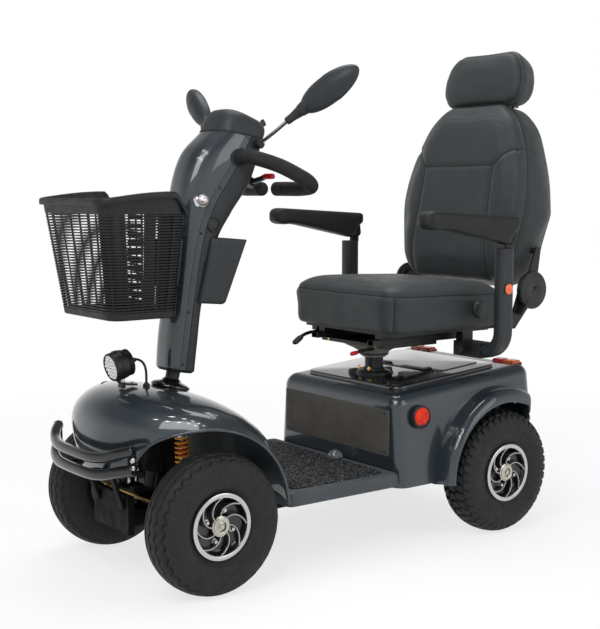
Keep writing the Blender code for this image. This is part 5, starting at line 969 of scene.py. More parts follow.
@dataclass
class RearBody:
    """Rear housing with its wheel flares and liners, deck, heel panel, reflectors and lamps."""

    body: str = "chassis"
    low_half: float = .262
    top_half: float = .246
    front: float = .103
    back: float = .606
    low: float = .1603
    tail_low: float = .27
    top_front: float = .397
    top_back: float = .44
    edge: float = .034
    wall: float = .004
    axle_y: float = .447
    axle_z: float = .165
    arch: float = .191
    hole: float = .09
    deck_half: float = .196
    deck_front: float = .15
    deck_back: float = .52
    flare_steps: int = 84
    flare_end: float = 134.0
    flare_drop: float = 115.0
    heel_z: float = .298
    post_y: float = .24
    reflector: Triple = (.2525, .18, .338)
    reflector_radius: float = .0252
    tail_y: float = .582
    tail_sunk: float = .009

    def build(self) -> None:
        """Makes every piece of the rear body."""
        self.build_housing()
        self.build_deck()
        self.build_trim()
        for side, word in SIDES:
            self.build_liner(side, word)
            self.build_reflector(side, word)
            self.build_tail_lamp(side, word)

    def top(self, y: Array) -> Array:
        """Height of the sloping top."""
        rise, run = self.top_back - self.top_front, self.back - self.front
        return self.top_front + rise * (y - self.front) / run

    def lowest(self, y: Array) -> Array:
        """Lower edge of the wall: level in front, round the wheel arch, then level behind the axle."""
        reach = np.sqrt(np.clip(self.arch ** 2 - (y - self.axle_y) ** 2, 0, None))
        arch = np.where(reach > 0, self.axle_z + reach, self.low)
        return np.maximum(np.where(y > self.axle_y, self.tail_low, self.low), arch)

    def outline(self, inset: float, share: Array | float) -> Array:
        """Plan outline drawn in by inset, between the low and the top width."""
        half = self.low_half + (self.top_half - self.low_half) * share - inset
        half_length = (self.back - self.front) / 2 - inset
        plan = rounded(half, half_length, max(self.edge - inset, .003), 10, 72)
        return plan + (0.0, (self.front + self.back) / 2)

    def build_housing(self) -> None:
        """Housing: walls from their lower edge, a round upper edge and a top open under the deck."""
        rings = []
        for share in np.linspace(0, 1, 16):
            plan = self.outline(0.0, share)
            base, high = self.lowest(plan[:, 1]), self.top(plan[:, 1]) - self.edge
            rings.append(np.column_stack([plan, base + (high - base) * share]))
        for turn in np.linspace(0, np.pi / 2, 10)[1:]:
            plan = self.outline(self.edge * (1 - math.cos(turn)), 1.0)
            rings.append(np.column_stack([plan, self.top(plan[:, 1]) - self.edge * (1 - math.sin(turn))]))
        for inset in np.linspace(self.edge, self.hole, 5)[1:]:
            plan = self.outline(inset, 1.0)
            rings.append(np.column_stack([plan, self.top(plan[:, 1])]))
        skin = shell(np.stack(rings), self.wall, True)
        for side, _word in SIDES:
            skin = skin + self.flare(side)
        piece("rear_housing", skin, self.body, PAINT, ["rear_shroud"])

    def flare(self, side: int) -> Skin:
        """Flare: a turned-down section carried round the axle from the floor to behind the wheel."""
        section = np.array([(.248, .2112), (.27, .2114), (.288, .2112), (.3, .2085), (.308, .2025),
                            (.312, .195), (.311, .191), (.308, .189), (.3045, .192), (.301, .1975),
                            (.294, .2035), (.284, .2065), (.268, .207), (.248, .207)])
        section = smooth(section, 3, True)
        turn = np.linspace(-2, self.flare_end, self.flare_steps)
        ends = 1 - .05 * np.exp(-((turn - self.flare_end) / 3) ** 2)
        # Past this angle the flare drops straight down behind the wheel
        arc = np.radians(np.minimum(turn, self.flare_drop))
        drop = .0016 * np.clip(turn - self.flare_drop, 0, None)
        crown = .016 * np.exp(-((turn - 100) / 38) ** 2)[:, None]
        crown = crown * np.clip((section[:, 1] - .192) / .018, 0, 1)
        out = np.stack([np.zeros_like(arc), -np.cos(arc), np.sin(arc)], -1)
        rings = np.array((0, self.axle_y, self.axle_z)) + out[:, None] * (section[:, 1] + crown)[..., None]
        rings[..., 2] -= drop[:, None]
        rings[..., 0] += side * section[None, :, 0] * ends[:, None]
        return loft(rings)

    def build_liner(self, side: int, word: str) -> None:
        """Dark liner inside the arch: a short tunnel with an inner wall, as one bent sheet."""
        turn = np.radians(np.linspace(-1, 122, 60))
        section = np.array([(.256, .202), (.196, .201), (.188, .196), (.186, .185), (.186, .12)])
        out = np.stack([np.zeros_like(turn), -np.cos(turn), np.sin(turn)], -1)
        points = np.array((0, self.axle_y, self.axle_z)) + out[:, None] * section[None, :, 1:]
        points[..., 0] += side * section[:, 0]
        piece("arch_liner_" + word, shell(points, .0025), self.body, BLACK_PLASTIC)

    def deck_place(self, outline: Array, height: float) -> Array:
        """Puts a plan outline on the sloping top."""
        plan = outline + (0.0, (self.deck_front + self.deck_back) / 2)
        return np.column_stack([plan, self.top(plan[:, 1]) + .0006 + height])

    def build_deck(self) -> None:
        """Gloss deck with a round edge, a raised battery lid and a collar round the post."""
        half_length = (self.deck_back - self.deck_front) / 2
        deck = plate(rounded(self.deck_half, half_length, .03, 10, 20), self.deck_place, .0045, .008)
        lid = centred_plate(rounded(.15, .085, .02, 8, 10) + (0, .08),
                            lambda points, height: self.deck_place(points, height + .0078), .002, .003)
        piece("deck_panel", deck + lid, self.body, DECK, ["deck_cover"])
        collar = lathe([(.0262, -.004), (.048, -.004), (.048, .003), (.044, .0065), (.034, .0085),
                        (.031, .014), (.0262, .0145)], (0, self.post_y, float(self.top(self.post_y)) + .0086),
                       (0, 0, 1), 56)
        piece("post_collar", collar, self.body, BLACK_PLASTIC)

    def heel_place(self, outline: Array, height: float) -> Array:
        """Puts an outline on the front wall, out from it by a height."""
        out = np.full(len(outline), self.front + .0008 - height)
        return np.column_stack([outline[:, 0], out, outline[:, 1] + self.heel_z])

    def build_trim(self) -> None:
        """Heel panel on the front wall, with a screw near each corner."""
        heel = plate(rounded(.222, .06, .006, 6, 30), self.heel_place, .0008, .0022)
        piece("heel_panel", heel, self.body, HEEL)
        screws = [screw((side * .205, self.front - .0012, z), (0, -1, 0), .0032)
                  for side, _word in SIDES for z in (.248, .348)]
        piece("heel_screws", joined(screws), self.body, BLACK_PLASTIC)

    def build_reflector(self, side: int, word: str) -> None:
        """Round reflector in a dark bezel on the side wall."""
        place, axis = sided(self.reflector, side), (side, 0, .06)
        bezel = lathe([(0, 0), (.03, 0), (.03, .008), (.0285, .0105), (.0262, .011), (.0255, .0085),
                       (0, .0085)], place, axis, 64, False)
        piece("reflector_bezel_" + word, bezel, self.body, BLACK_PLASTIC)
        turn = np.arange(72) * 2 * np.pi / 72
        share = np.linspace(0, 1, 14)[:, None]
        radius = self.reflector_radius * share
        ridge = .0011 * np.abs(np.cos(3 * turn))[None] * np.sin(np.pi * share) + .002 * (1 - share ** 2)
        points = place + np.stack([side * (.0087 + ridge), radius * np.cos(turn), radius * np.sin(turn)], -1)
        rim = points[-1:] - np.array((side * .002, 0, 0))
        piece("reflector_lens_" + word, loft(np.concatenate([points, rim])), self.body, REFLECTOR)

    def tail_place(self, outline: Array, height: float) -> Array:
        """Puts a plan outline on the sloping top by its rear edge, sunk into it."""
        plan = outline + (0.0, self.tail_y)
        return np.column_stack([plan, self.top(plan[:, 1]) - self.tail_sunk + height])

    def build_tail_lamp(self, side: int, word: str) -> None:
        """Tail lamp on the top's rear edge: an amber outer and a red inner lens on a dark base."""
        for name, low, high, finish in (("amber", .172, .214, AMBER), ("red", .128, .171, TAIL_RED)):
            outline = rounded((high - low) / 2, .016, .007, 6, 4) + (side * (low + high) / 2, 0)
            piece(f"tail_{name}_{word}", centred_plate(outline, self.tail_place, .006, .016), self.body,
                  finish)
        outline = rounded(.046, .019, .008, 6, 4) + (side * .171, 0)
        base = centred_plate(outline, lambda points, height: self.tail_place(points, height - .001), .002,
                             .01)
        piece("tail_base_" + word, base, self.body, BLACK_PLASTIC)


def centred_plate(outline: Array, place: Callable[[Array, float], Array], edge: float, thick: float) -> Skin:
    """Slab like plate(), for an outline whose middle is off the axis."""
    middle = (outline.max(0) + outline.min(0)) / 2
    return plate(outline - middle, lambda points, height: place(points + middle, height), edge, thick)


# Wheels and suspension

class Tread(Enum):
    """Patterns moulded into the tyres."""

    RIBS = "wavy ribs round the tyre"
    BLOCKS = "staggered blocks"


@dataclass
class Wheel:
    """Tyre with its tread, and a dished rim with curved spokes, hub cap and bolts."""

    name: str
    body: str
    side: int
    middle: Triple
    width: float
    face: float
    tread: Tread
    rim: float = .0775
    spokes: int = 8
    curl: float = math.radians(48)
    waves: int = 34
    blocks: int = 40
    block_row: float = .023
    row_start: float = .0575

    def build(self) -> None:
        """Makes the tyre and the rim."""
        self.build_tyre()
        self.build_rim()

    def axis(self) -> Array:
        """Direction out of the vehicle along the axle."""
        return np.array((float(self.side), 0.0, 0.0))

    def place(self, radius: Array, out: Array, turn: Array) -> Array:
        """Points at a radius, a distance out and an angle from straight up towards the back."""
        x = self.side * np.broadcast_to(out, np.broadcast_shapes(radius.shape, turn.shape))
        return np.array(self.middle) + np.stack([x, radius * np.sin(turn), radius * np.cos(turn)], -1)

    def grooves(self, out: Array, turn: Array) -> Array:
        """Depth of the tread's grooves over the tyre, from 0 to 1."""
        if self.tread is Tread.RIBS:
            wave = .0026 * np.sin(self.waves * turn)
            lines = np.array((-.038, -.02, 0, .02, .038)) * self.width / .1
            gaps = np.abs(out[..., None] + wave[..., None] - lines)
            return np.clip(1.8 - gaps.min(-1) / .0017, 0, 1)
        pitch = 2 * np.pi / self.blocks
        rows = (out + self.row_start) / self.block_row
        shift = turn + .5 * pitch * (np.floor(rows) % 2) + 3.0 * (np.abs(out) - .03)
        across = np.abs((shift / pitch) % 1 - .5)
        cuts = np.clip((across - .36) / .05, 0, 1)
        edges = np.abs(rows % 1 - .5)
        lines = np.clip((edges - .4) / .05, 0, 1) * (np.abs(out) < .04)
        return np.maximum(cuts, lines)

    def build_tyre(self) -> None:
        """Tyre: its section carried round the axle, with the grooves sunk where the tread is."""
        half, bead = self.width / 2, self.face - .0071
        side_line = np.array([(.0667, bead), (.0787, bead), (.094, .93 * half), (.1115, half),
                              (.128, .985 * half), (.1408, .93 * half), (.152, .82 * half),
                              (.16, .6 * half), (.164, .3 * half), (.165, 0)])
        line = np.vstack([side_line, side_line[-2::-1] * (1, -1)])
        fine = self.tread is Tread.BLOCKS
        section = smooth(line, 10)
        turn = np.linspace(0, 2 * np.pi, 480 if fine else 340, endpoint=False)
        radius, out = section[:, :1], section[:, 1:]
        depth = .0068 if fine else .0072
        start = .14 if fine else .142
        share = np.clip((radius - start) / .01, 0, 1)
        sunk = radius - depth * share * self.grooves(np.broadcast_to(out, (len(section), len(turn))),
                                                     turn[None])
        rings = .0007 * (np.exp(-((radius - .092) / .0012) ** 2) + np.exp(-((radius - .125) / .0012) ** 2))
        swell = out + np.sign(out) * (rings - .0007) * (radius < .15)
        points = self.place(sunk, swell, turn[None])
        piece("tyre_" + self.name, grid(points, True, True), self.body, TYRE,
              [self.name.replace("_", "_tyre_")])

    def build_rim(self) -> None:
        """Rim: a dark dish, a bright outer ring, spokes, hub cap and bolts."""
        face, disc = self.face, self.face - .02
        seat = self.rim - .012
        dish = [(self.rim - .0012, -face), (.0595, -face), (.0595, disc - .01), (.0106, disc - .01),
                (.0106, face - .014), (.0215, face - .014), (.0235, face - .017), (.0245, disc),
                (.056, disc), (.06, disc + .002), (.0628, disc + .006), (.066, face - .006),
                (.0672, face - .0058), (seat + .0025, face - .0068), (seat + .0025, -face + .0065),
                (self.rim - .0012, -face + .0065)]
        piece("dish_" + self.name, lathe(dish, self.middle, self.axis(), 96), self.body, DISH,
              [self.name.replace("_", "_rim_")])
        ring = [(.0668, face - .0068), (.0662, face - .0035), (.0668, face - .0012), (.0685, face),
                (.075, face), (.077, face - .0012), (self.rim, face - .004), (self.rim, face - .0066)]
        bright = [lathe(ring, self.middle, self.axis(), 120)]
        bright += [self.spoke(2 * np.pi * i / self.spokes, .0009, .0012, .0006) for i in range(self.spokes)]
        piece("rim_ring_" + self.name, joined(bright), self.body, BRIGHT)
        ribs = [self.spoke(2 * np.pi * i / self.spokes, .0034, .014, 0.0) for i in range(self.spokes)]
        piece("spokes_" + self.name, joined(ribs), self.body, DISH)
        self.build_hub(face, disc)

    def spoke(self, start: float, half: float, depth: float, lift: float) -> Skin:
        """Curved spoke: it leaves the hub straight out and bends on as it nears the ring.

        Args:
            start: Angle where it leaves the hub.
            half: Half its width.
            depth: How deep it is along the axle.
            lift: How far its face stands over the spokes' own face.
        Returns:
            The spoke's skin.
        """
        share = np.linspace(0, 1, 18)
        radius = .0225 + .0445 * share
        turn = start + self.curl * share ** 1.5
        out = self.face - .0085 + .0045 * share ** 2 + lift - depth / 2
        path = self.place(radius, out, turn)
        section = rounded(half, depth / 2, min(half, depth / 2) * .6, 3, 2)
        return sweep(path, section, self.axis())

    def build_hub(self, face: float, disc: float) -> None:
        """Nickel cap with a stepped rim and its nut, and four bolts round it."""
        cap = [(0.0, face - .009), (.0118, face - .009), (.0128, face - .0046), (.0142, face - .0036),
               (.019, face - .0036), (.0202, face - .0044), (.0206, face - .0062), (.0216, face - .0066),
               (.0236, face - .0078), (.024, face - .014), (.0118, face - .014), (.0118, face - .0112),
               (0, face - .0112)]
        nickel = lathe(cap, self.middle, self.axis(), 64, False)
        nickel = nickel + bolt(np.array(self.middle) + self.axis() * (face - .009), self.axis(), .0068, .007)
        piece("hub_cap_" + self.name, nickel, self.body, NICKEL)
        spots = self.place(np.full(4, .0365), np.full(4, disc), QUARTERS)
        bolts = joined([bolt(spot, self.axis(), .0052, .0105) for spot in spots])
        piece("rim_bolts_" + self.name, bolts, self.body, BRIGHT)


@dataclass
class Suspension:
    """Front coil shocks, tie rod and the CAD arms and knuckles."""

    shock_x: float = .124
    shock_y: float = -.452
    low: float = .1783
    high: float = .3647
    coil_low: float = .222
    coil_high: float = .345
    coil: float = .015
    wire: float = .0031
    curls: int = 11
    anchor_z: float = .365
    keep: float = .963
    rod_y: float = -.507
    rod_z: float = .1843
    rod: float = .0068
    rod_half: float = .172

    def build(self) -> None:
        """Makes the shocks, the tie rod and the dressed arms."""
        for side, word in SIDES:
            self.build_shock(side, word)
            keep_node("suspension_arm_" + word, STEEL)
            keep_node("knuckle_" + word, CAST)
        self.build_tie_rod()

    def build_shock(self, side: int, word: str) -> None:
        """Damper, the coil round it and a red stop, each given a mesh of its own."""
        foot = (side * self.shock_x, self.shock_y, self.low)
        tall = self.high - self.low
        damper = [(0, .0002), (.006, .0009), (.01, .003), (.0125, .0062), (.0125, .024), (.0075, .026),
                  (.0075, .038), (.0182, .0395), (.0186, .0425), (.0105, .044), (.0105, .108), (.006, .11),
                  (.006, .167), (.0175, .1675), (.0186, .169), (.0186, .172), (.012, .1745),
                  (.012, tall - .0005), (0, tall)]
        turn = np.linspace(0, 1, self.curls * 30 + 1)
        z = self.coil_low + (self.coil_high - self.coil_low) * turn
        angle = 2 * np.pi * self.curls * turn
        path = np.stack([side * self.shock_x + self.coil * np.cos(angle),
                         self.shock_y + self.coil * np.sin(angle), z], -1)
        shock = piece("damper_" + word, lathe(damper, foot, (0, 0, 1), 40, False), "chassis", BRIGHT,
                      ["shock_damper_" + word])
        spring = piece("coil_" + word, tube(path, self.wire, (0, 0, 1), 12), "chassis", YELLOW,
                       ["shock_spring_" + word])
        bellows = [(.0066, .118), (.01, .119), (.0112, .128), (.0095, .136), (.0112, .144), (.01, .152),
                   (.0066, .153)]
        stop = piece("bump_stop_" + word, lathe(bellows, foot, (0, 0, 1), 32), "chassis", RED)
        for part in (shock, spring, stop):
            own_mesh(part)

    def build_tie_rod(self) -> None:
        """Tie rod turned about its length, with a lock nut and a swelling at each end."""
        half = [(0, self.rod_half), (.005, self.rod_half), (self.rod, self.rod_half - .003),
                (self.rod, .15), (.0052, .147), (.0052, .138), (.0066, .137), (.0066, .128), (.0052, .127),
                (.0052, 0)]
        profile = half + [(radius, -along) for radius, along in half[-2::-1]]
        piece("steering_link", lathe(profile, (0, self.rod_y, self.rod_z), (1, 0, 0), 24, False),
              "tie_link", GOLD, ["tie_rod"])


# Tiller

@dataclass
class Tiller:
    """Steering column covers, hood with its controls, handlebar, throttle, signals and bin."""

    body: str = "tiller"
    squareness: float = .62
    wall: float = .003
    split: float = .0007
    strip_width: float = .017
    bar: float = .0178
    collar: Triple = (.0655, -.252, .994)
    socket: Triple = (.049, -.3155, .834)
    signal: Triple = (.0455, -.352, .892)
    throttle: Triple = (0, -.176, .938)
    control_x: float = .034
    bin_half: float = .062
    # Front, back and height of the bin's floor and of its mouth
    bin_low: Triple = (-.362, -.285, .64)
    bin_high: Triple = (-.322, -.219, .796)
    # Stations up the column: y, z, lean in degrees, half width, depth in front and behind
    stations: tuple = (
        (-.394, .479, 10, .047, .04, .036), (-.384, .55, 10, .049, .044, .034),
        (-.368, .66, 12, .05, .044, .034), (-.342, .8, 16, .052, .054, .05),
        (-.312, .885, 23, .06, .082, .066), (-.263, .964, 23, .069, .1, .07),
        (-.215, 1.047, 10, .072, .08, .051),
    )
    hood_stations: tuple = (
        (-.215, 1.048, 10, .073, .081, .052), (-.209, 1.067, 15, .072, .078, .053),
        (-.204, 1.082, 19, .067, .071, .05), (-.201, 1.092, 21, .056, .06, .042),
        (-.2, 1.097, 21, .036, .04, .028),
    )
    dash_point: Triple = (0.0, -.17, 1.073)
    dash_lean: float = math.radians(32)
    grip_points: tuple = (
        (0, -.252, .994), (.034, -.252, .994), (.07, -.252, .995), (.102, -.238, .996), (.144, -.187, .976),
        (.173, -.14, .948), (.176, -.118, .934), (.16, -.103, .924), (.12, -.104, .92), (.065, -.11, .92),
        (.031, -.113, .92),
    )

    def build(self) -> None:
        """Makes every piece of the tiller."""
        self.build_covers()
        self.build_strips()
        self.build_hood()
        self.build_controls()
        self.build_bar()
        self.build_throttle()
        for side, word in SIDES:
            self.build_signal(side, word)
        self.build_bin()
        keep_node("steering_stem", STEEL)
        keep_node("tiller_mast", STEEL)

    def rings(self, stations: Array, turn: Array, grow: float = 0.0) -> Array:
        """Squarish rounds up the column.

        Across is the half width times the cosine to the power of the squareness, ahead is the depth
        times the sine to the same power, both with their signs kept, and ahead leans with the station.

        Args:
            stations: Rows of y, z, lean, half width, front and back depth.
            turn: Angles from the left side over the front.
            grow: How far the round stands out.
        Returns:
            Points, (stations, turns, 3).
        """
        y, z, lean, half, front, back = (stations[:, i:i + 1] for i in range(6))
        lean = np.radians(lean)
        cosine, sine = np.cos(turn)[None], np.sin(turn)[None]
        across = np.sign(cosine) * np.abs(cosine) ** self.squareness * (half + grow)
        ahead = np.sign(sine) * np.abs(sine) ** self.squareness * (np.where(sine > 0, front, back) + grow)
        return np.stack([across, y - ahead * np.cos(lean), z + ahead * np.sin(lean)], -1)

    def dense(self, per: int = 10) -> Array:
        """The column's stations with smooth steps between them."""
        return smooth(np.array(self.stations, float), per)

    def turns(self, first: float, last: float, count: int) -> Array:
        """Angles spread so that the squared-off corners get most of the steps."""
        share = np.linspace(0, 1, count)
        eased = share - np.sin(4 * np.pi * share) / (4 * np.pi) * .55
        return first + (last - first) * eased

    def half_cover(self, first: float, last: float, shift: float) -> Skin:
        """One half of the cover as a closed wall, with a chamfer round its foot."""
        stations = self.dense()
        foot = np.vstack([stations[0], stations[0], stations[1:]])
        foot[0, 3:] *= .86
        foot[1, 0:2] += (stations[1] - stations[0])[:2] * .9
        points = self.rings(foot, self.turns(first, last, 72))
        lean = np.radians(foot[:, 2])
        points = points + shift * np.stack([0 * lean, -np.cos(lean), np.sin(lean)], -1)[:, None]
        return shell(points, self.wall)

    def build_covers(self) -> None:
        """Painted front half and dark rear half, with their foot plate."""
        piece("column_front", self.half_cover(0.0, math.pi, self.split), self.body, PAINT,
              ["tiller_front_cover"])
        piece("column_rear", self.half_cover(math.pi, 2 * math.pi, -self.split), self.body, PLASTIC,
              ["tiller_rear_cover"])
        stations = np.array(self.stations[:1], float).repeat(2, 0)
        stations[:, 3:] *= .83
        stations[1, 1] += .003
        turn = np.linspace(0, 2 * np.pi, 80, endpoint=False)
        piece("column_foot", loft(self.rings(stations, turn)), self.body, BLACK_PLASTIC)

    def strip_angle(self, stations: Array, width: float) -> Array:
        """Angle at which the round is a width ahead of the split line."""
        return np.arcsin(np.clip(width / stations[:, 4], 0, .9) ** (1 / self.squareness))

    def build_strips(self) -> None:
        """Flat flange with dark screws along each side of the front half, and the socket below the bar."""
        stations = self.dense()[1:]
        share = np.linspace(.02, 1, 9)[None, :, None]
        screws = []
        for side, word in SIDES:
            angle = self.strip_angle(stations, self.strip_width)[:, None, None] * share
            points = np.stack([self.rings(stations[i:i + 1], angle[i, :, 0], .0011)[0]
                               for i in range(len(stations))])
            points = sided(points, side)
            inner = points - np.array((side * .0022, 0, 0))
            piece("column_strip_" + word, closed_pair(points, inner), self.body, STRIP_PAINT)
            for row in (2, 16, 30, 43, 55):
                spot = points[row, 4] + np.array((side * .0004, 0, 0))
                screws.append(screw(spot, (side, 0, 0), .0031))
        piece("column_screws", joined(screws), self.body, BLACK_PLASTIC)
        for side, word in SIDES:
            ring = [(0, 0), (.019, 0), (.019, .0068), (.0176, .0086), (.0142, .0086), (.013, .0052),
                    (.0066, .0048), (.006, .003), (0, .003)]
            socket = lathe(ring, sided(self.socket, side), (side, 0, 0), 40, False)
            piece("charge_socket_" + word, socket, self.body, RUBBER)

    def build_hood(self) -> None:
        """Hood: squarish rounds that draw in to the top, cut flat by the dash."""
        stations = smooth(np.array(self.hood_stations, float), 9)
        turn = self.turns(0.0, 4 * math.pi, 129)[:128] / 2
        rings = self.rings(stations, turn)
        top = rings[-1].mean(0)
        lift = np.array((0.0, .002, .0035))
        for share in (.8, .55, .28):
            drawn_in = top + (rings[len(stations) - 1] - top) * share + lift * (1 - share)
            rings = np.concatenate([rings, drawn_in[None]])
        facing = self.dash_normal()
        beyond = np.clip((rings - np.array(self.dash_point)) @ facing, 0, None)
        rings = rings - beyond[..., None] * facing
        lower = rings[:1] - np.array((0, .0012, .003))
        piece("hood", loft(np.concatenate([lower, rings])), self.body, PLASTIC, ["console_hood"])
        seam = self.rings(np.array(self.hood_stations[:1], float), turn, .0004)[0]
        piece("hood_seam", tube(seam, .0011, (0, .6, .8), 8, True), self.body, RUBBER)

    def dash_normal(self) -> Array:
        """Direction that the dash faces, up and back to the rider."""
        return np.array((0.0, math.cos(self.dash_lean), math.sin(self.dash_lean)))

    def dash_place(self, across: float, up: float, out: float = 0.0) -> Array:
        """Point of the dash: across to the left, up its face and out of it."""
        rise = np.array((0.0, -math.sin(self.dash_lean), math.cos(self.dash_lean)))
        return np.array(self.dash_point) + (across, 0, 0) + rise * up + self.dash_normal() * out

    def build_controls(self) -> None:
        """Dial with a knurled skirt, key with its bow, and horn button in a bezel, on the dash."""
        facing = self.dash_normal()
        turn = np.arange(72) * 2 * np.pi / 72
        knurl = 1 + .035 * np.sign(np.sin(18 * turn))
        dial = lathe([(0, 0), (.0138, 0), (.0138, .002), (.0128, .0028), (.0122, .0125), (.0112, .0138),
                      (0, .0138)], self.dash_place(0, 0, .0003), facing, 72, False)
        middle = self.dash_place(0, 0)
        arm = (dial.points - middle) - ((dial.points - middle) @ facing)[:, None] * facing
        high = ((dial.points - middle) @ facing > .0029)[:, None]
        dial.points = dial.points + arm * high * (np.tile(knurl, len(dial.points) // 72)[:, None] - 1)
        mark = self.dash_place(0, .006, .0141)
        pointer = sweep(np.stack([self.dash_place(0, .002, .0139), mark, self.dash_place(0, .0105, .0139)]),
                        rounded(.0008, .0004, .0002, 2, 1), facing)
        piece("dial_knob", dial, "dial", BLACK_PLASTIC, ["speed_dial"])
        piece("dial_mark", pointer, "dial", BRIGHT)
        keyhole = self.dash_place(self.control_x, 0, .0003)
        lock = lathe([(0, 0), (.0098, 0), (.0098, .003), (.0085, .0042), (0, .0042)], keyhole, facing, 40,
                     False)
        heights = (.0036, .01, .013, .018, .0225, .0238)
        sizes = np.array([(.0045, .0045, .0085, .0095, .008, .005)]).T[..., None]
        bow = sweep(np.stack([keyhole + facing * h for h in heights]),
                    sizes * rounded(1, .2, .18, 3, 3)[None], (1, 0, 0))
        piece("ignition_lock", lock, "key", BRIGHT)
        piece("ignition_key", bow, "key", BLACK_PLASTIC, ["key_switch"], .0004)
        button = lathe([(0, -.0008), (.0078, -.0008), (.0078, .004), (.0068, .0056), (.004, .0062),
                        (0, .0064)], self.dash_place(-self.control_x, 0), facing, 40, False)
        piece("horn_cap", button, "horn", RED, ["horn_button"])
        bezel = lathe([(.0084, -.001), (.0112, -.001), (.0112, .0014), (.01, .0024), (.0084, .0024)],
                      self.dash_place(-self.control_x, 0), facing, 40)
        piece("dash_bezels", bezel, self.body, BLACK_PLASTIC)

    def build_bar(self) -> None:
        """Foam-covered bar: one tube round both hand loops, with round ends, and a collar on each side."""
        path = smooth(both_sides(self.grip_points), 14)
        piece("hand_loops", capped(path, self.bar, (0, .47, .88), 28), self.body, FOAM, ["handlebar"])
        for side, word in SIDES:
            collar = [(.0172, 0), (.0225, 0), (.0232, .002), (.0225, .0055), (.02, .0075), (.0172, .0078)]
            ring = lathe(collar, sided(self.collar, side), (side, 0, 0), 44)
            piece("bar_collar_" + word, ring, self.body, RUBBER)

    def build_throttle(self) -> None:
        """Rocking lever: a hub, flat arms and a red paddle at each end."""
        middle = np.array(self.throttle)
        axis = np.array((0.0, math.sin(self.dash_lean), math.cos(self.dash_lean)))
        hub = lathe([(0, -.0098), (.0165, -.0098), (.0178, -.0085), (.0178, .0085), (.0165, .0098),
                     (0, .0098)], middle, axis, 40, False)
        arms, paddles = [hub], []
        for side, _word in SIDES:
            x = np.array((.012, .03, .055, .074))
            path = middle + np.stack([side * x, 0 * x, 2.2 * x ** 2], -1)
            arms.append(sweep(path, rounded(.005, .0064, .003, 4, 2), (0, 0, 1)))
            x = np.array((.07, .072, .08, .092, .102, .1065, .108))
            size = np.array((.85, 1.0, 1.06, 1.08, 1.02, .85, .5))
            path = middle + np.stack([side * x, 0 * x, 0 * x + .0122], -1)
            paddles.append(sweep(path, size[:, None, None] * rounded(.0058, .0066, .0036, 5, 2)[None],
                                 (0, 0, 1)))
        piece("throttle_arms", joined(arms), "throttle", BLACK_PLASTIC, ["throttle_lever"])
        piece("throttle_paddles", joined(paddles), "throttle", RED)

    def build_signal(self, side: int, word: str) -> None:
        """Turn signal: a chrome foot and collar, a clear pointed lens over amber cells."""
        axis = np.array((side, 0, .02))
        foot = sided(self.signal, side)
        chrome = [(0, 0), (.019, 0), (.019, .004), (.0175, .0085), (.012, .011), (.011, .0125),
                  (.0142, .0145), (.0152, .0165), (.0152, .019), (.014, .0196), (0, .0196)]
        piece("signal_foot_" + word, lathe(chrome, foot, axis, 48, False), self.body, CHROME)
        share = np.linspace(0, 1, 12)
        lens = [(0, .0194)] + [(.0142 * (1 - s ** 1.7) ** .8, .0194 + .021 * s) for s in share]
        piece("signal_lens_" + word, lathe(lens, foot, axis, 48, False), self.body, CLEAR,
              ["turn_signal_" + word])
        inner = [(0, .0197)] + [(.0118 * (1 - s ** 1.7) ** .8, .0197 + .015 * s) for s in share]
        piece("signal_cells_" + word, lathe(inner, foot, axis, 40, False), self.body, LAMP)
        bulb = [(0, 0), (.003, 0), (.003, .0012), (.0016, .0026), (0, .003)]
        spots = [foot + np.array((side * .029, .0046 * math.cos(t), .0046 * math.sin(t)))
                 for t in QUARTERS]
        bulbs = [lathe(bulb, spot, axis, 14, False) for spot in spots]
        piece("signal_bulbs_" + word, joined(bulbs), self.body, AMBER)

    def bin_ring(self, share: float, inset: float, front_in: float) -> Array:
        """Round-cornered outline of the bin between its floor and its mouth."""
        low, high = np.array(self.bin_low), np.array(self.bin_high)
        front, back, z = low + (high - low) * share
        front, back = front + inset + front_in, back - inset
        outline = rounded(self.bin_half - inset, (back - front) / 2, .01 - .5 * inset, 6, 8)
        y = outline[:, 1] + (front + back) / 2
        return np.column_stack([outline[:, 0], y, z + .006 * (back - y) / (back - front)])

    def build_bin(self) -> None:
        """Bin behind the column: outer wall, rolled mouth, and a hollow down to its floor."""
        outer = [self.bin_ring(0.0, .006, 0), self.bin_ring(.015, .002, 0), self.bin_ring(.04, 0, 0)]
        outer += [self.bin_ring(s, 0, 0) for s in np.linspace(.08, .985, 14)]
        outer += [self.bin_ring(.995, .0008, 0), self.bin_ring(1.0, .002, .034)]
        inner = [self.bin_ring(s, .004, .036 + .012 * s) for s in np.linspace(.99, .04, 10)]
        piece("column_bin", loft(np.stack(outer + inner)), self.body, PLASTIC, ["storage_box"])


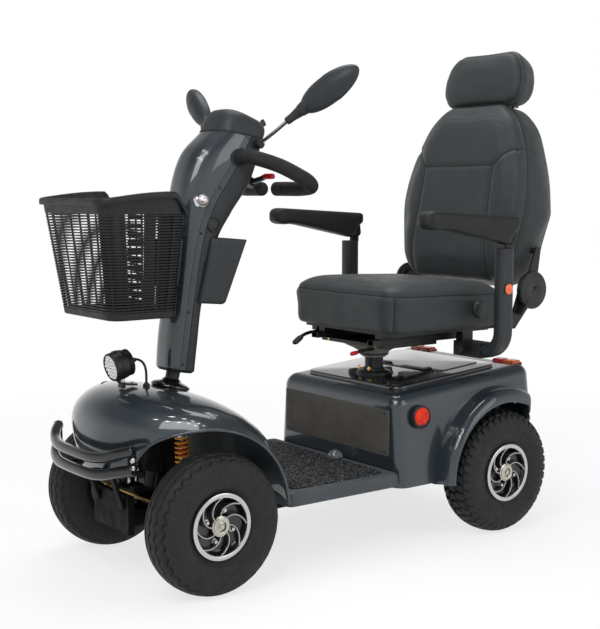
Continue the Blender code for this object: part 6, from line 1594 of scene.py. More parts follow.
@dataclass
class Basket:
    """Moulded basket: a band round its foot and its mouth, slats between them and upright ribs."""

    body: str = "tiller"
    corner: float = .036
    wall: float = .004
    rows: int = 34
    ribs: int = 24
    slat: float = .0031
    low: tuple[float, float, float, float] = (.132, -.634, -.456, .625)
    top: tuple[float, float, float, float] = (.167, -.669, -.448, .896)
    mouth_swell: float = .016
    mouth_drop: float = .038
    drop_from: float = .8
    drop_length: float = .15
    band_low: float = .062
    band_high: float = .88
    slot: Pair = (.037, .107)
    slots: int = 11
    slot_share: float = .4
    spine: float = .026
    lined_from: float = -.518
    lining: Pair = (.0086, .011)

    def build(self) -> None:
        """Makes the basket and its bracket."""
        self.build_bands()
        self.build_slats()
        self.build_back()
        self.build_floor()
        self.build_rim()
        keep_node("basket_bracket", STEEL)

    def ring(self, share: float, grow: float = 0.0, lift: Array | float = 0.0) -> Array:
        """Outline at a share of the height, from the middle of the right side round the front."""
        half, front, back, z = (np.array(self.low) + (np.array(self.top) - np.array(self.low)) * share)
        outline = rounded(half + grow, (back - front) / 2 + grow, self.corner + grow, 10, 22)
        y = outline[:, 1] + (front + back) / 2
        return np.column_stack([outline[:, 0], y, z + 0 * y + lift])

    def mouth(self) -> Array:
        """Height of the mouth over its front edge: it swells along the sides and drops at the back."""
        ring = self.ring(1.0)
        share = (ring[:, 1] - self.top[1]) / (self.top[2] - self.top[1])
        swell = self.mouth_swell * np.sin(np.clip(share / self.drop_from, 0, 1) * np.pi / 2)
        drop = np.clip((share - self.drop_from) / self.drop_length, 0, 1)
        return swell - self.mouth_drop * drop * drop * (3 - 2 * drop)

    def wall_between(self, shares: Array, lifts: Sequence[Array | float]) -> Skin:
        """Closed wall between heights of the basket."""
        outer = np.stack([self.ring(s, 0.0, lift) for s, lift in zip(shares, lifts)])
        inner = np.stack([self.ring(s, -self.wall, lift) for s, lift in zip(shares, lifts)])
        return grid(np.concatenate([outer, inner[::-1]]), True, True)

    def build_bands(self) -> None:
        """Plain band under the mouth and plain band over the floor, with a round foot edge."""
        mouth = self.mouth()
        steps = np.linspace(self.band_high, 1.0, 7)
        upper = self.wall_between(steps, [mouth * (s - self.band_high) / (1 - self.band_high) for s in steps])
        foot = np.array((0.0, .012, .035, self.band_low))
        rings = [self.ring(0.0, -.008), self.ring(.004, -.003)] + [self.ring(s) for s in foot[1:]]
        inside = [self.ring(s, -self.wall) for s in foot[:0:-1]] + [self.ring(.014, -.01)]
        lower = grid(np.stack(rings + inside), True, True)
        piece("basket_bands", upper + lower, self.body, BASKET_PLASTIC, ["basket"])

    def build_slats(self) -> None:
        """Level slats round the basket, and upright ribs that tie them together inside."""
        pitch = (self.band_high - self.band_low) / self.rows
        tall = self.top[3] - self.low[3]
        half = self.slat / 2 / tall
        slats = [self.wall_between(np.array((s - half, s + half)), (0.0, 0.0))
                 for s in self.band_low + pitch * (np.arange(self.rows) + .5)]
        piece("basket_slats", joined(slats), self.body, BASKET_PLASTIC)
        low, high = self.ring(self.band_low - .01, -.0042), self.ring(self.band_high + .01, -.0042)
        steps = np.linalg.norm(np.diff(np.vstack([low, low[:1]]), axis=0), axis=1)
        length = np.concatenate([[0], np.cumsum(steps)])
        spots = np.searchsorted(length, np.linspace(0, length[-1], self.ribs, endpoint=False)) % len(low)
        ribs = []
        for k in spots:
            path = np.stack([low[k] + (high[k] - low[k]) * s for s in np.linspace(0, 1, 6)])
            out = unit((path[0] - low.mean(0)) * (1, 1, 0))
            ribs.append(sweep(path, rounded(.0021, .0019, .0008, 2, 1), out))
        piece("basket_ribs", joined(ribs), self.body, BASKET_PLASTIC)

    def back_block(self, across: Array, low: float, high: float) -> Skin:
        """Slab inside the back wall between two places across and two shares of the height."""
        near, far = self.lining
        rings = []
        for share in (low, high):
            _, _, back, z = np.array(self.low) + (np.array(self.top) - np.array(self.low)) * share
            corners = zip((*across, *across[::-1]), (near, near, far, far))
            rings.append([(x, back - deep, z) for x, deep in corners])
        return loft(np.array(rings))

    def build_back(self) -> None:
        """Lining of the basket's back: closed round both corners and at the spine, with slots between."""
        low, high = self.band_low - .01, self.band_high + .01
        pitch = (high - low) / self.slots
        solid = (1 - self.slot_share) * pitch
        blocks = [self.back_block(np.array((-self.spine, self.spine)), low, high)]
        for side, _ in SIDES:
            ring = self.ring(.5)
            kept = (ring[:, 1] > self.lined_from) & (side * ring[:, 0] > self.slot[1])
            near, far = self.lining
            edges = ((low, near), (high, near), (high, far), (low, far))
            blocks.append(loft(np.stack([self.ring(s, -deep)[kept] for s, deep in edges], 1)))
            for start in low + pitch * np.arange(self.slots):
                blocks.append(self.back_block(side * np.array(self.slot), start, start + solid))
        piece("basket_back", joined(blocks), self.body, BASKET_PLASTIC)

    def build_floor(self) -> None:
        """Floor of crossing bars inside the foot band."""
        half, front, back, z = self.low
        bars = []
        for x in np.linspace(-half + .018, half - .018, 13):
            bars.append(box((x - .002, front + .008, z + .0035), (x + .002, back - .008, z + .0075)))
        for y in np.linspace(front + .018, back - .018, 9):
            bars.append(box((-half + .008, y - .002, z + .002), (half - .008, y + .002, z + .006)))
        piece("basket_floor", joined(bars), self.body, BASKET_PLASTIC, (), .0006)

    def build_rim(self) -> None:
        """Rolled rim round the mouth: an oval section carried round the outline."""
        path = self.ring(1.0, .0015, self.mouth())
        section = smooth(np.array([(.0058, -.012), (.0062, -.003), (.004, .0015), (-.001, .0022),
                                   (-.0042, .0008), (-.0044, -.003), (-.001, -.0035), (.0022, -.005),
                                   (.0032, -.012)]), 3, True)
        tangent = unit(np.roll(path, -1, 0) - np.roll(path, 1, 0))
        flat = unit(tangent * (1, 1, 0))
        out = np.cross(flat, (0, 0, 1))
        if np.sum(out * (path - path.mean(0))) < 0:
            out = -out
        up = np.array((0, 0, 1.0))
        rings = path[:, None] + section[None, :, :1] * out[:, None] + section[None, :, 1:] * up
        piece("basket_rim", grid(rings, True, True), self.body, BASKET_PLASTIC)


@dataclass
class Mirror:
    """Side mirror: an egg-shaped head with its glass, a stepped cuff, a thin stalk and a boss."""

    side: int
    word: str
    base: Triple = (.079, -.198, 1.028)
    elbow: Triple = (.129, -.196, 1.05)
    foot: Triple = (.183, -.191, 1.078)
    middle: Triple = (.284, -.142, 1.15)
    size: Triple = (.172, .056, .068)
    glass: float = .01
    roll: float = math.radians(32)
    turn: float = math.radians(25)
    neck: float = .42
    stalk: float = .0045
    boss_x: float = .0738

    def build(self) -> None:
        """Makes the head, the glass, the cuff and the stalk."""
        self.build_head()
        self.build_stalk()

    def flip(self, point: Point) -> Array:
        """A left-hand point on this mirror's own side."""
        return sided(point, self.side)

    def lean(self, points: Array) -> Array:
        """Head points turned to where the mirror looks: first about y, then about z."""
        roll, turn = -self.side * self.roll, self.side * self.turn
        about_y = np.array(((math.cos(roll), 0, math.sin(roll)), (0, 1, 0),
                            (-math.sin(roll), 0, math.cos(roll))))
        about_z = np.array(((math.cos(turn), -math.sin(turn), 0), (math.sin(turn), math.cos(turn), 0),
                            (0, 0, 1)))
        return points @ (about_z @ about_y).T + self.flip(self.middle)

    def body(self) -> str:
        """Body that this mirror is."""
        return "view_mirror_" + self.word

    def build_head(self) -> None:
        """Head: rounds of an egg from root to tip, flat behind for the glass, with a raised line."""
        length, depth, height = self.size
        share = (1 - np.cos(np.linspace(0.0, np.pi, 56))) / 2
        wide = np.sqrt(np.clip(1 - (2 * share - 1) ** 2, 0, 1)) * (1 - .16 * (share - .45))
        turn = np.linspace(0, 2 * np.pi, 72, endpoint=False)
        along = self.side * length * (share - .5)[:, None] + 0 * turn
        back = wide[:, None] * np.cos(turn) * depth / 2
        # The tip half of the shell stands a little proud of the root half
        step = np.clip((share[:, None] - .5) / .03, 0, 1)
        swell = 1 + .035 * step * (np.cos(turn) < .3)
        points = np.stack([along, np.minimum(back * swell, self.glass),
                           wide[:, None] * np.sin(turn) * height / 2 * swell], -1)
        piece("mirror_head_" + self.word, grid(self.lean(points), False, True), self.body(), MIRROR_SHELL,
              ["mirror_" + self.word])
        inner = np.linspace(0, .9, 12)[:, None]
        edge = 2 * np.pi * np.arange(64) / 64
        flat = math.sqrt(1 - (2 * self.glass / depth) ** 2)
        pane = np.stack([self.side * length / 2 * flat * inner * np.cos(edge),
                         0 * inner * edge + self.glass + .0007,
                         height / 2 * flat * .97 * inner * np.sin(edge)], -1)
        back_pane = pane[-1:] - np.array((0, .0012, 0))
        piece("mirror_glass_" + self.word, loft(np.concatenate([self.lean(pane), self.lean(back_pane)])),
              self.body(), GLASS)

    def build_stalk(self) -> None:
        """Stalk through its bend, the tapered cuff with two steps, and the boss at the hood."""
        base, foot = self.flip(self.base), self.flip(self.foot)
        root = self.lean(np.array((-self.side * self.neck * self.size[0], 0.0, 0.0)))
        path = smooth(np.stack([base, self.flip(self.elbow), foot, foot + (root - foot) * .3]), 8)
        piece("mirror_stalk_" + self.word, tube(path, self.stalk, (0, .3, 1), 16), self.body(), BRIGHT)
        way = root - foot
        long = float(np.linalg.norm(way))
        cuff = [(.0046, 0), (.0085, 0), (.0095, .0015), (.01, .3 * long), (.0122, .55 * long),
                (.0128, .57 * long), (.0128, .66 * long), (.0145, .7 * long), (.0168, .92 * long),
                (.0168, long + .006), (0, long + .01)]
        piece("mirror_cuff_" + self.word, lathe(cuff, foot, way, 36, False), self.body(), PLASTIC)
        boss = [(0, 0), (.011, 0), (.011, .012), (.0095, .015), (.0062, .0164), (0, .0164)]
        start = np.array((self.side * self.boss_x, base[1], base[2]))
        piece("mirror_boss_" + self.word, lathe(boss, start, (self.side, 0, 0), 36, False), self.body(),
              BLACK_PLASTIC)


# Padding

def points_of(mesh: Mesh) -> Array:
    """All points of a mesh, (n, 3)."""
    flat = np.empty(3 * len(mesh.vertices))
    mesh.vertices.foreach_get("co", flat)
    return flat.reshape(-1, 3)


def worked_in(obj: Object, kind: str, **settings: object) -> None:
    """Adds a modifier to an object and keeps its result as the object's own mesh."""
    modifier = obj.modifiers.new(kind.lower(), kind)
    for name, value in settings.items():
        setattr(modifier, name, value)
    graph = bpy.context.evaluated_depsgraph_get()
    made = bpy.data.meshes.new_from_object(obj.evaluated_get(graph))
    obj.modifiers.clear()
    obj.data = made


@dataclass
class Padding:
    """Foam under vinyl: a slightly small form is filled by a cloth simulation, then sewn."""

    name: str
    skin: Skin
    cap: float = .01
    voxel: float = .0058
    pressure: float = 4.0
    frames: int = 20
    ease: int = 90
    seam_depth: float = .0046
    seam_width: float = .0078
    pipe: float = .001

    def fill(self) -> Object:
        """Remeshes the form, fills it and subdivides it once.

        Returns:
            The filled object, linked into the scene.
        """
        obj = bpy.data.objects.new(self.name, to_mesh(self.name, self.skin))
        bpy.context.scene.collection.objects.link(obj)
        worked_in(obj, "REMESH", mode="VOXEL", voxel_size=self.voxel)
        self.inflate(obj)
        worked_in(obj, "SUBSURF", levels=1, render_levels=1)
        obj.data.shade_smooth()
        return obj

    def inflate(self, obj: Object) -> None:
        """Runs the cloth under pressure with no gravity, and moves each point by the cap at most."""
        rest = points_of(obj.data)
        cloth = obj.modifiers.new("filling", "CLOTH")
        cloth.settings.use_pressure = True
        cloth.settings.uniform_pressure_force = self.pressure
        cloth.settings.effector_weights.gravity = 0.0
        cloth.collision_settings.use_collision = False
        scene = bpy.context.scene
        for step in range(1, self.frames + 1):
            scene.frame_set(step)
        graph = bpy.context.evaluated_depsgraph_get()
        moved = points_of(obj.evaluated_get(graph).data) - rest
        moved = self.eased(obj.data, moved)
        far = np.linalg.norm(moved, axis=1, keepdims=True)
        LOG.info("%s swells by %.1f mm in the middle of its points", self.name, 1000 * float(np.median(far)))
        obj.modifiers.remove(cloth)
        scene.frame_set(1)
        held = rest + moved * np.minimum(1.0, self.cap / np.maximum(far, 1e-9))
        obj.data.vertices.foreach_set("co", held.ravel())
        obj.data.update()

    def eased(self, mesh: Mesh, moved: Array) -> Array:
        """Takes the creases out of a swelling: each point's move is averaged with its neighbours'."""
        ends = np.empty(2 * len(mesh.edges), int)
        mesh.edges.foreach_get("vertices", ends)
        near, far = ends.reshape(-1, 2).T
        count = np.bincount(ends, minlength=len(moved))[:, None]
        for _round in range(self.ease):
            total = np.stack([np.bincount(near, moved[far, i], len(moved))
                              + np.bincount(far, moved[near, i], len(moved)) for i in range(3)], -1)
            moved = (moved + total / count) / 2
        return moved

    def sew(self, obj: Object, lines: Sequence[Array]) -> None:
        """Draws the surface in along seams: each point sinks by a bell curve of its distance to them."""
        points = points_of(obj.data)
        near = np.full(len(points), 1.0)
        for line in lines:
            stitches = line + MIDDLE
            reach = 4 * self.seam_width
            low, high = stitches.min(0) - reach, stitches.max(0) + reach
            inside = np.nonzero(np.all((points > low) & (points < high), axis=1))[0]
            for rows in np.array_split(inside, 1 + len(inside) // 8000):
                gaps = np.linalg.norm(points[rows, None] - stitches[None], axis=-1)
                near[rows] = np.minimum(near[rows], gaps.min(1))
        normals = np.empty(3 * len(points))
        obj.data.vertex_normals.foreach_get("vector", normals)
        sunk = self.seam_depth * np.exp(-(near / self.seam_width) ** 2)
        obj.data.vertices.foreach_set("co", (points - sunk[:, None] * normals.reshape(-1, 3)).ravel())
        obj.data.update()

    def finish(self, obj: Object, body: str, node: str, lines: Sequence[tuple[Array, Point, bool]],
               fill: float) -> None:
        """Args:
            obj: The filled object.
            body: CAD body that it rides on.
            node: CAD node that it stands for.
            lines: Seams, each with a direction that it never runs along and whether it is closed.
            fill: How full the padding is; not used.
        """
        self.sew(obj, [line for line, _facing, _closed in lines])
        dressed(obj, body, VINYL, [node])
        pipes = [tube(laid_on(obj, line, 0.0), self.pipe, facing, 8, closed)
                 for line, facing, closed in lines]
        piece(self.name + "_piping", joined(pipes), body, PIPING)


def laid_on(obj: Object, line: Array, lift: float, way: Point | None = None) -> Array:
    """Points of a line carried to an object's surface.

    Args:
        obj: The object.
        line: Points, (n, 3), in metres from the middle of the wheelbase.
        lift: How far the points end over the surface.
        way: Direction in which they travel, or none for the nearest place.
    Returns:
        The points on the surface.
    """
    tree = BVHTree.FromObject(obj, bpy.context.evaluated_depsgraph_get())
    laid = []
    for point in line + MIDDLE:
        spot, normal = None, None
        if way is not None:
            spot, normal, _face, _far = tree.ray_cast(Vector(point - .3 * unit(way)), Vector(unit(way)))
        if spot is None:
            spot, normal, _face, _far = tree.find_nearest(Vector(point))
        laid.append(np.array(spot) + lift * np.array(normal))
    return np.stack(laid) - MIDDLE


# Seat

@dataclass
class Seat:
    """Post, swivel bracket, slide rails, cushion and armrests."""

    middle_y: float = .321
    cushion_low: float = .5489
    half: Pair = (.232, .219)
    corner: float = .06
    start_in: float = .002
    seam_height: float = .0975
    # Layers of the cushion from its base: how far in and how high
    layers: tuple = ((.012, 0), (.004, .0113), (.003, .047), (0.0, .0808), (.004, .096), (.022, .1085),
                     (.054, .1175), (.09, .1215), (.15, .126))
    arm_x: float = .317
    arm_y: float = .412
    bar_z: float = .492
    bend: float = .055
    post_top: float = .766
    hinge: Pair = (.428, .792)
    post_y: float = .24
    recliner: Triple = (.245, .594, .644)
    side_knob: Triple = (.23, .406, .6)
    receiver_knob: Triple = (.2, .3864, .492)
    reflector_z: float = .661
    pad_start: float = .118
    pad_end: float = .442
    pad_top: float = .846
    pad_half: float = .029
    pad_slope: float = .058

    def build(self) -> None:
        """Makes every piece of the seat."""
        self.build_pedestal()
        self.build_levers()
        self.build_cushion()
        for side, word in SIDES:
            self.build_arm(side, word)
            self.build_pad(side, word)
            self.build_fittings(side, word)

    def build_pedestal(self) -> None:
        """Post and frame in their CAD shapes, a cast cone under the slide channels, and brass screws."""
        keep_node("seat_post", STEEL)
        keep_node("seat_frame", STEEL)
        rings = []
        for z, half, corner in ((.463, .0335, .033), (.468, .035, .0345), (.474, .0385, .037),
                                (.48, .043, .036), (.487, .051, .03), (.494, .061, .022), (.5, .069, .016),
                                (.503, .069, .016)):
            plan = rounded(half, half * .98, corner, 8, 6)
            rings.append(np.column_stack([plan[:, 0], plan[:, 1] + self.post_y, np.full(len(plan), z)]))
        piece("bracket_cone", loft(np.stack(rings)), "seat_turntable", CAST, ["seat_swivel_base"])
        slides = [box((-.132, .16, .501), (.132, .35, .5108))]
        channel = np.array([(-.013, 0), (.013, 0), (.013, .0155), (.0075, .0155), (.0075, .013),
                            (.0105, .013), (.0105, .0025), (-.0105, .0025), (-.0105, .013), (-.0075, .013),
                            (-.0075, .0155), (-.013, .0155)])
        for side, _word in SIDES:
            path = np.array([(side * .12, .125, .5105), (side * .12, .44, .5105)])
            slides.append(sweep(path, channel * (-1, 1), (0, 0, 1)))
        piece("slide_channels", joined(slides), "seat_turntable", STEEL, (), .0006)
        screws = [bolt((x, .1995, .4905), (0, -1, 0), .0034, .004) for x in (-.018, .018)]
        screws += [bolt((x, .16, .5058), (0, -1, 0), .0032, .0034) for x in (-.1, .1)]
        piece("bracket_screws", joined(screws), "seat_turntable", GOLD)
        clamp = [bolt((x, .204, .433), (0, -1, 0), .004, .005) for x in (-.02, .022)]
        piece("post_bolts", joined(clamp), "chassis", GOLD)

    def build_levers(self) -> None:
        """Bent slide lever with a flat paddle, and the swivel lever with a red grip."""
        x = -.155
        path = smooth(np.array([(x, .176, .522), (x, .15, .522), (x, .128, .5195), (x, .108, .513),
                                (x, .094, .5035)]), 6)
        piece("slide_lever", tube(path, .0048, (1, 0, 0), 16), "slide_release", STEEL, ["seat_lever"])
        along = np.linspace(0, 1, 12)
        spine = np.stack([0 * along + x, .109 - .031 * along, .5135 - .0215 * along], -1)
        size = np.sqrt(np.clip(1 - (2 * along - 1) ** 4, .05, 1))
        paddle = sweep(spine, size[:, None, None] * rounded(.011, .0052, .0048, 5, 3)[None], (0, 0, 1))
        piece("slide_paddle", paddle, "slide_release", BLACK_PLASTIC)
        path = smooth(np.array([(.06, .186, .4927), (.061, .165, .4927), (.064, .14, .4912),
                                (.068, .115, .4886), (.07, .1035, .4877)]), 6)
        piece("turn_lever", tube(path, .0046, (1, 0, .2), 16), "swivel_release", STEEL, ["swivel_lever"])
        grip = [(0, 0), (.005, 0), (.0056, .003), (.0056, .018), (.0048, .0215), (0, .0225)]
        piece("turn_grip", lathe(grip, (.0687, .122, .4893), (.07, -.99, -.1), 24, False), "swivel_release",
              RED)

    def ring(self, inset: float, height: float) -> Array:
        """Outline of the cushion drawn in by inset, at a height, with sides that pull in a little."""
        half_a, half_b = self.half
        plan = rounded(half_a - inset, half_b - inset, max(self.corner - .35 * inset, .012), 12, 16)
        pull = .004 * math.sin(math.pi * min(1.0, height / .13))
        bow = pull * (1 - np.clip(plan[:, 1] / half_b, -1, 1) ** 2) * np.sign(plan[:, 0])
        bow = bow * (np.abs(plan[:, 0]) > .7 * half_a)
        tilt = .006 * (plan[:, 1] / half_b) * (height / .094)
        return np.column_stack([plan[:, 0] - bow, self.middle_y + plan[:, 1],
                                self.cushion_low + height - tilt])

    def build_cushion(self) -> None:
        """Cushion: filled layers of a round-cornered outline, sewn round its edge and front corners."""
        layers = smooth(np.array(self.layers, float), 4)
        rings = np.stack([self.ring(inset + self.start_in, max(height - self.start_in, .0008))
                          for inset, height in layers])
        padding = Padding("seat_cushion_padding", loft(rings), .009)
        obj = padding.fill()
        self.rest_on_pan(obj)
        edge = smooth(self.ring(.004, self.seam_height), 5, True)
        lines = [(edge, (0, 0, 1), True)]
        half_a, half_b = self.half
        share = np.linspace(.03, 1, 26)
        for side, _word in SIDES:
            corner = np.array((side * (half_a - .0165), self.middle_y - half_b + .0165, self.cushion_low))
            line = corner + np.stack([0 * share, .006 * share, self.seam_height * share], -1)
            lines.append((laid_on(obj, line, 0.0, (-side, 1, 0)), (1, 1, .1), False))
        lines[0] = (laid_on(obj, edge, 0.0), (0, 0, 1), True)
        padding.finish(obj, "seat", "seat_cushion", lines, .8)

    def rest_on_pan(self, obj: Object) -> None:
        """Flattens the underside where it lies on the pan."""
        points = points_of(obj.data)
        points[:, 2] = np.maximum(points[:, 2], self.cushion_low)
        obj.data.vertices.foreach_set("co", points.ravel())
        obj.data.update()

    def build_arm(self, side: int, word: str) -> None:
        """Arm: one oval tube from the receiver out, round a bend and up, thinner where it slides."""
        turn = np.linspace(0, np.pi / 2, 14)
        x = np.concatenate([[.178, .255, .264, .267], self.arm_x - self.bend + self.bend * np.sin(turn),
                            [self.arm_x] * 9])
        z = np.concatenate([[self.bar_z] * 4, self.bar_z + self.bend - self.bend * np.cos(turn),
                            np.linspace(self.bar_z + self.bend + .02, self.post_top, 9)])
        path = np.stack([side * x, np.full(len(x), self.arm_y), z], -1)
        slim, full = rounded(.0136, .0196, .005, 6, 4), rounded(.0168, .0248, .0125, 6, 4)
        sections = np.stack([slim] * 3 + [full] * (len(x) - 3))
        piece("arm_tube_" + word, sweep(path, sections, (0, 1, 0)), "armrest_" + word, ARM_STEEL,
              ["arm_post_" + word], .0015)
        y, z = self.hinge
        cap = [(0, 0), (.015, 0), (.015, .0108), (0, .0108)]
        eye = lathe(cap, (side * (self.arm_x - .0054), y, z), (side, 0, 0), 32, False)
        stem = sweep(np.array([(side * self.arm_x, y, self.post_top - .004), (side * self.arm_x, y, z)]),
                     rounded(.0054, .0146, .003, 4, 2), (0, 1, 0))
        piece("arm_tongue_" + word, eye + stem, "armrest_" + word, STEEL, (), .0008)
        self.build_reflector(side, word)

    def build_reflector(self, side: int, word: str) -> None:
        """Round amber reflector on the outside of the arm."""
        place = np.array((side * (self.arm_x + .0166), self.arm_y, self.reflector_z))
        base = lathe([(0, 0), (.015, 0), (.015, .0024), (.014, .0032), (0, .0032)], place, (side, 0, 0), 48,
                     False)
        piece("arm_reflector_base_" + word, base, "armrest_" + word, BLACK_PLASTIC)
        share = np.linspace(0, 1, 9)
        dome = [(.0138 * s, .0032 + .0022 * (1 - s * s)) for s in share] + [(.0138, .0026)]
        piece("arm_reflector_" + word, lathe(dome, place, (side, 0, 0), 48, False), "armrest_" + word, AMBER)

    def build_pad(self, side: int, word: str) -> None:
        """Arm pad: moulded sections from the round nose back, deeper to the rear, cut away at the hinge."""
        share = (1 - np.cos(np.linspace(0, np.pi / 2, 12))) * .1
        share = np.concatenate([share, np.linspace(.12, .975, 40), [.985, .993, .998, 1.0]])
        nose = np.sqrt(np.clip(1 - (1 - np.clip(share / .1, 0, 1)) ** 2, .01, 1))
        tail = np.interp(share, (.975, .985, .993, .998, 1.0), (1.0, .985, .955, .9, .84))
        low = np.interp(share, (0, .12, .2, .3, 1.0), (.799, .799, .802, .799, .766))
        y = self.pad_start + (self.pad_end - self.pad_start) * share
        notch = np.sqrt(np.clip(.044 ** 2 - (y - self.pad_end - .014) ** 2, 0, None))
        under = np.maximum(low, np.where(notch > 0, .772 + notch, low))
        half_h = (self.pad_top - under) / 2 * nose * tail
        mid_z = (self.pad_top + under) / 2 - .004 * (1 - nose)
        # Each section is a squarish round with a flatter, lightly crowned top
        turn = np.linspace(0, 2 * np.pi, 64, endpoint=False)
        across = np.sign(np.cos(turn)) * np.abs(np.cos(turn)) ** .42
        height = np.sign(np.sin(turn)) * np.abs(np.sin(turn)) ** .55
        lift = (.003 + self.pad_slope * (self.pad_end - y))[:, None]
        x = side * self.arm_x + self.pad_half * (nose * tail)[:, None] * across
        rings = np.stack([x, np.broadcast_to(y[:, None], x.shape),
                          mid_z[:, None] + half_h[:, None] * height + lift], -1)
        pad = piece("arm_cushion_" + word, loft(rings), "arm_rest_pad_" + word, ARM_PAD, ["arm_pad_" + word])
        y, z = self.hinge
        cheeks = []
        for out in (-1, 1):
            start = np.array((side * self.arm_x + out * .0068, y, z))
            cheeks.append(lathe([(0, 0), (.0135, 0), (.015, .001), (.015, .007), (.0138, .0082),
                                 (0, .0082)], start, (out, 0, 0), 40, False))
            cheeks.append(sweep(np.array([start + (out * .0041, 0, 0), start + (out * .0041, -.004, .034)]),
                                rounded(.004, .015, .003, 4, 2), (0, 1, .1)))
        piece("arm_cheeks_" + word, joined(cheeks), "arm_rest_pad_" + word, ARM_PAD, (), .0008)
        pivot = screw(np.array((side * (self.arm_x + .015), y, z)), (side, 0, 0), .0056)
        piece("arm_pivot_" + word, pivot, "arm_rest_pad_" + word, BLACK_PLASTIC)

    def build_fittings(self, side: int, word: str) -> None:
        """Recliner cover, the clamp knob beside the cushion and two knobs on the receiver."""
        place = sided(self.recliner, side)
        profile = [(0, .0004), (.049, .0004), (.052, .002), (.052, .0105), (.0495, .0135), (.044, .0145),
                   (.043, .0138), (.0415, .0145), (.012, .016), (.0105, .015), (0, .015)]
        piece("recliner_cover_" + word, lathe(profile, place, (side, 0, 0), 72, False), "seat", BLACK_PLASTIC)
        link = sweep(np.array([(side * .2405, .594, .644), (side * .2405, .566, .61),
                               (side * .2405, .548, .58)]), rounded(.003, .021, .0024, 3, 3), (1, 0, .01))
        piece("recliner_arm_" + word, link, "seat", STEEL, (), .001)
        pivot = screw(place + np.array((side * .0152, .004, .006)), (side, 0, 0), .0042)
        piece("recliner_screw_" + word, pivot, "seat", STEEL)
        knob = [(0, 0), (.0215, 0), (.0225, .0016), (.0225, .0085), (.02, .0118), (.012, .0135), (0, .014)]
        piece("side_knob_" + word, lathe(knob, sided(self.side_knob, side), (side, 0, 0), 48, False), "seat",
              BLACK_PLASTIC)
        turn = np.arange(60) * 2 * np.pi / 60
        middle = sided(self.receiver_knob, side)
        lobes = lathe([(0, 0), (.0065, 0), (.0065, .012), (.0135, .0135), (.0145, .016), (.0145, .0225),
                       (.013, .025), (0, .0256)], middle, (0, -1, 0), 60, False)
        arm = (lobes.points - middle) * (1, 0, 1)
        shape = np.tile(1 - .1 * (1 + np.cos(5 * turn)) / 2, len(lobes.points) // 60)
        lobes.points = lobes.points + arm * (shape - 1)[:, None]
        piece("receiver_knob_" + word, lobes, "seat", BLACK_PLASTIC)


# Backrest and headrest

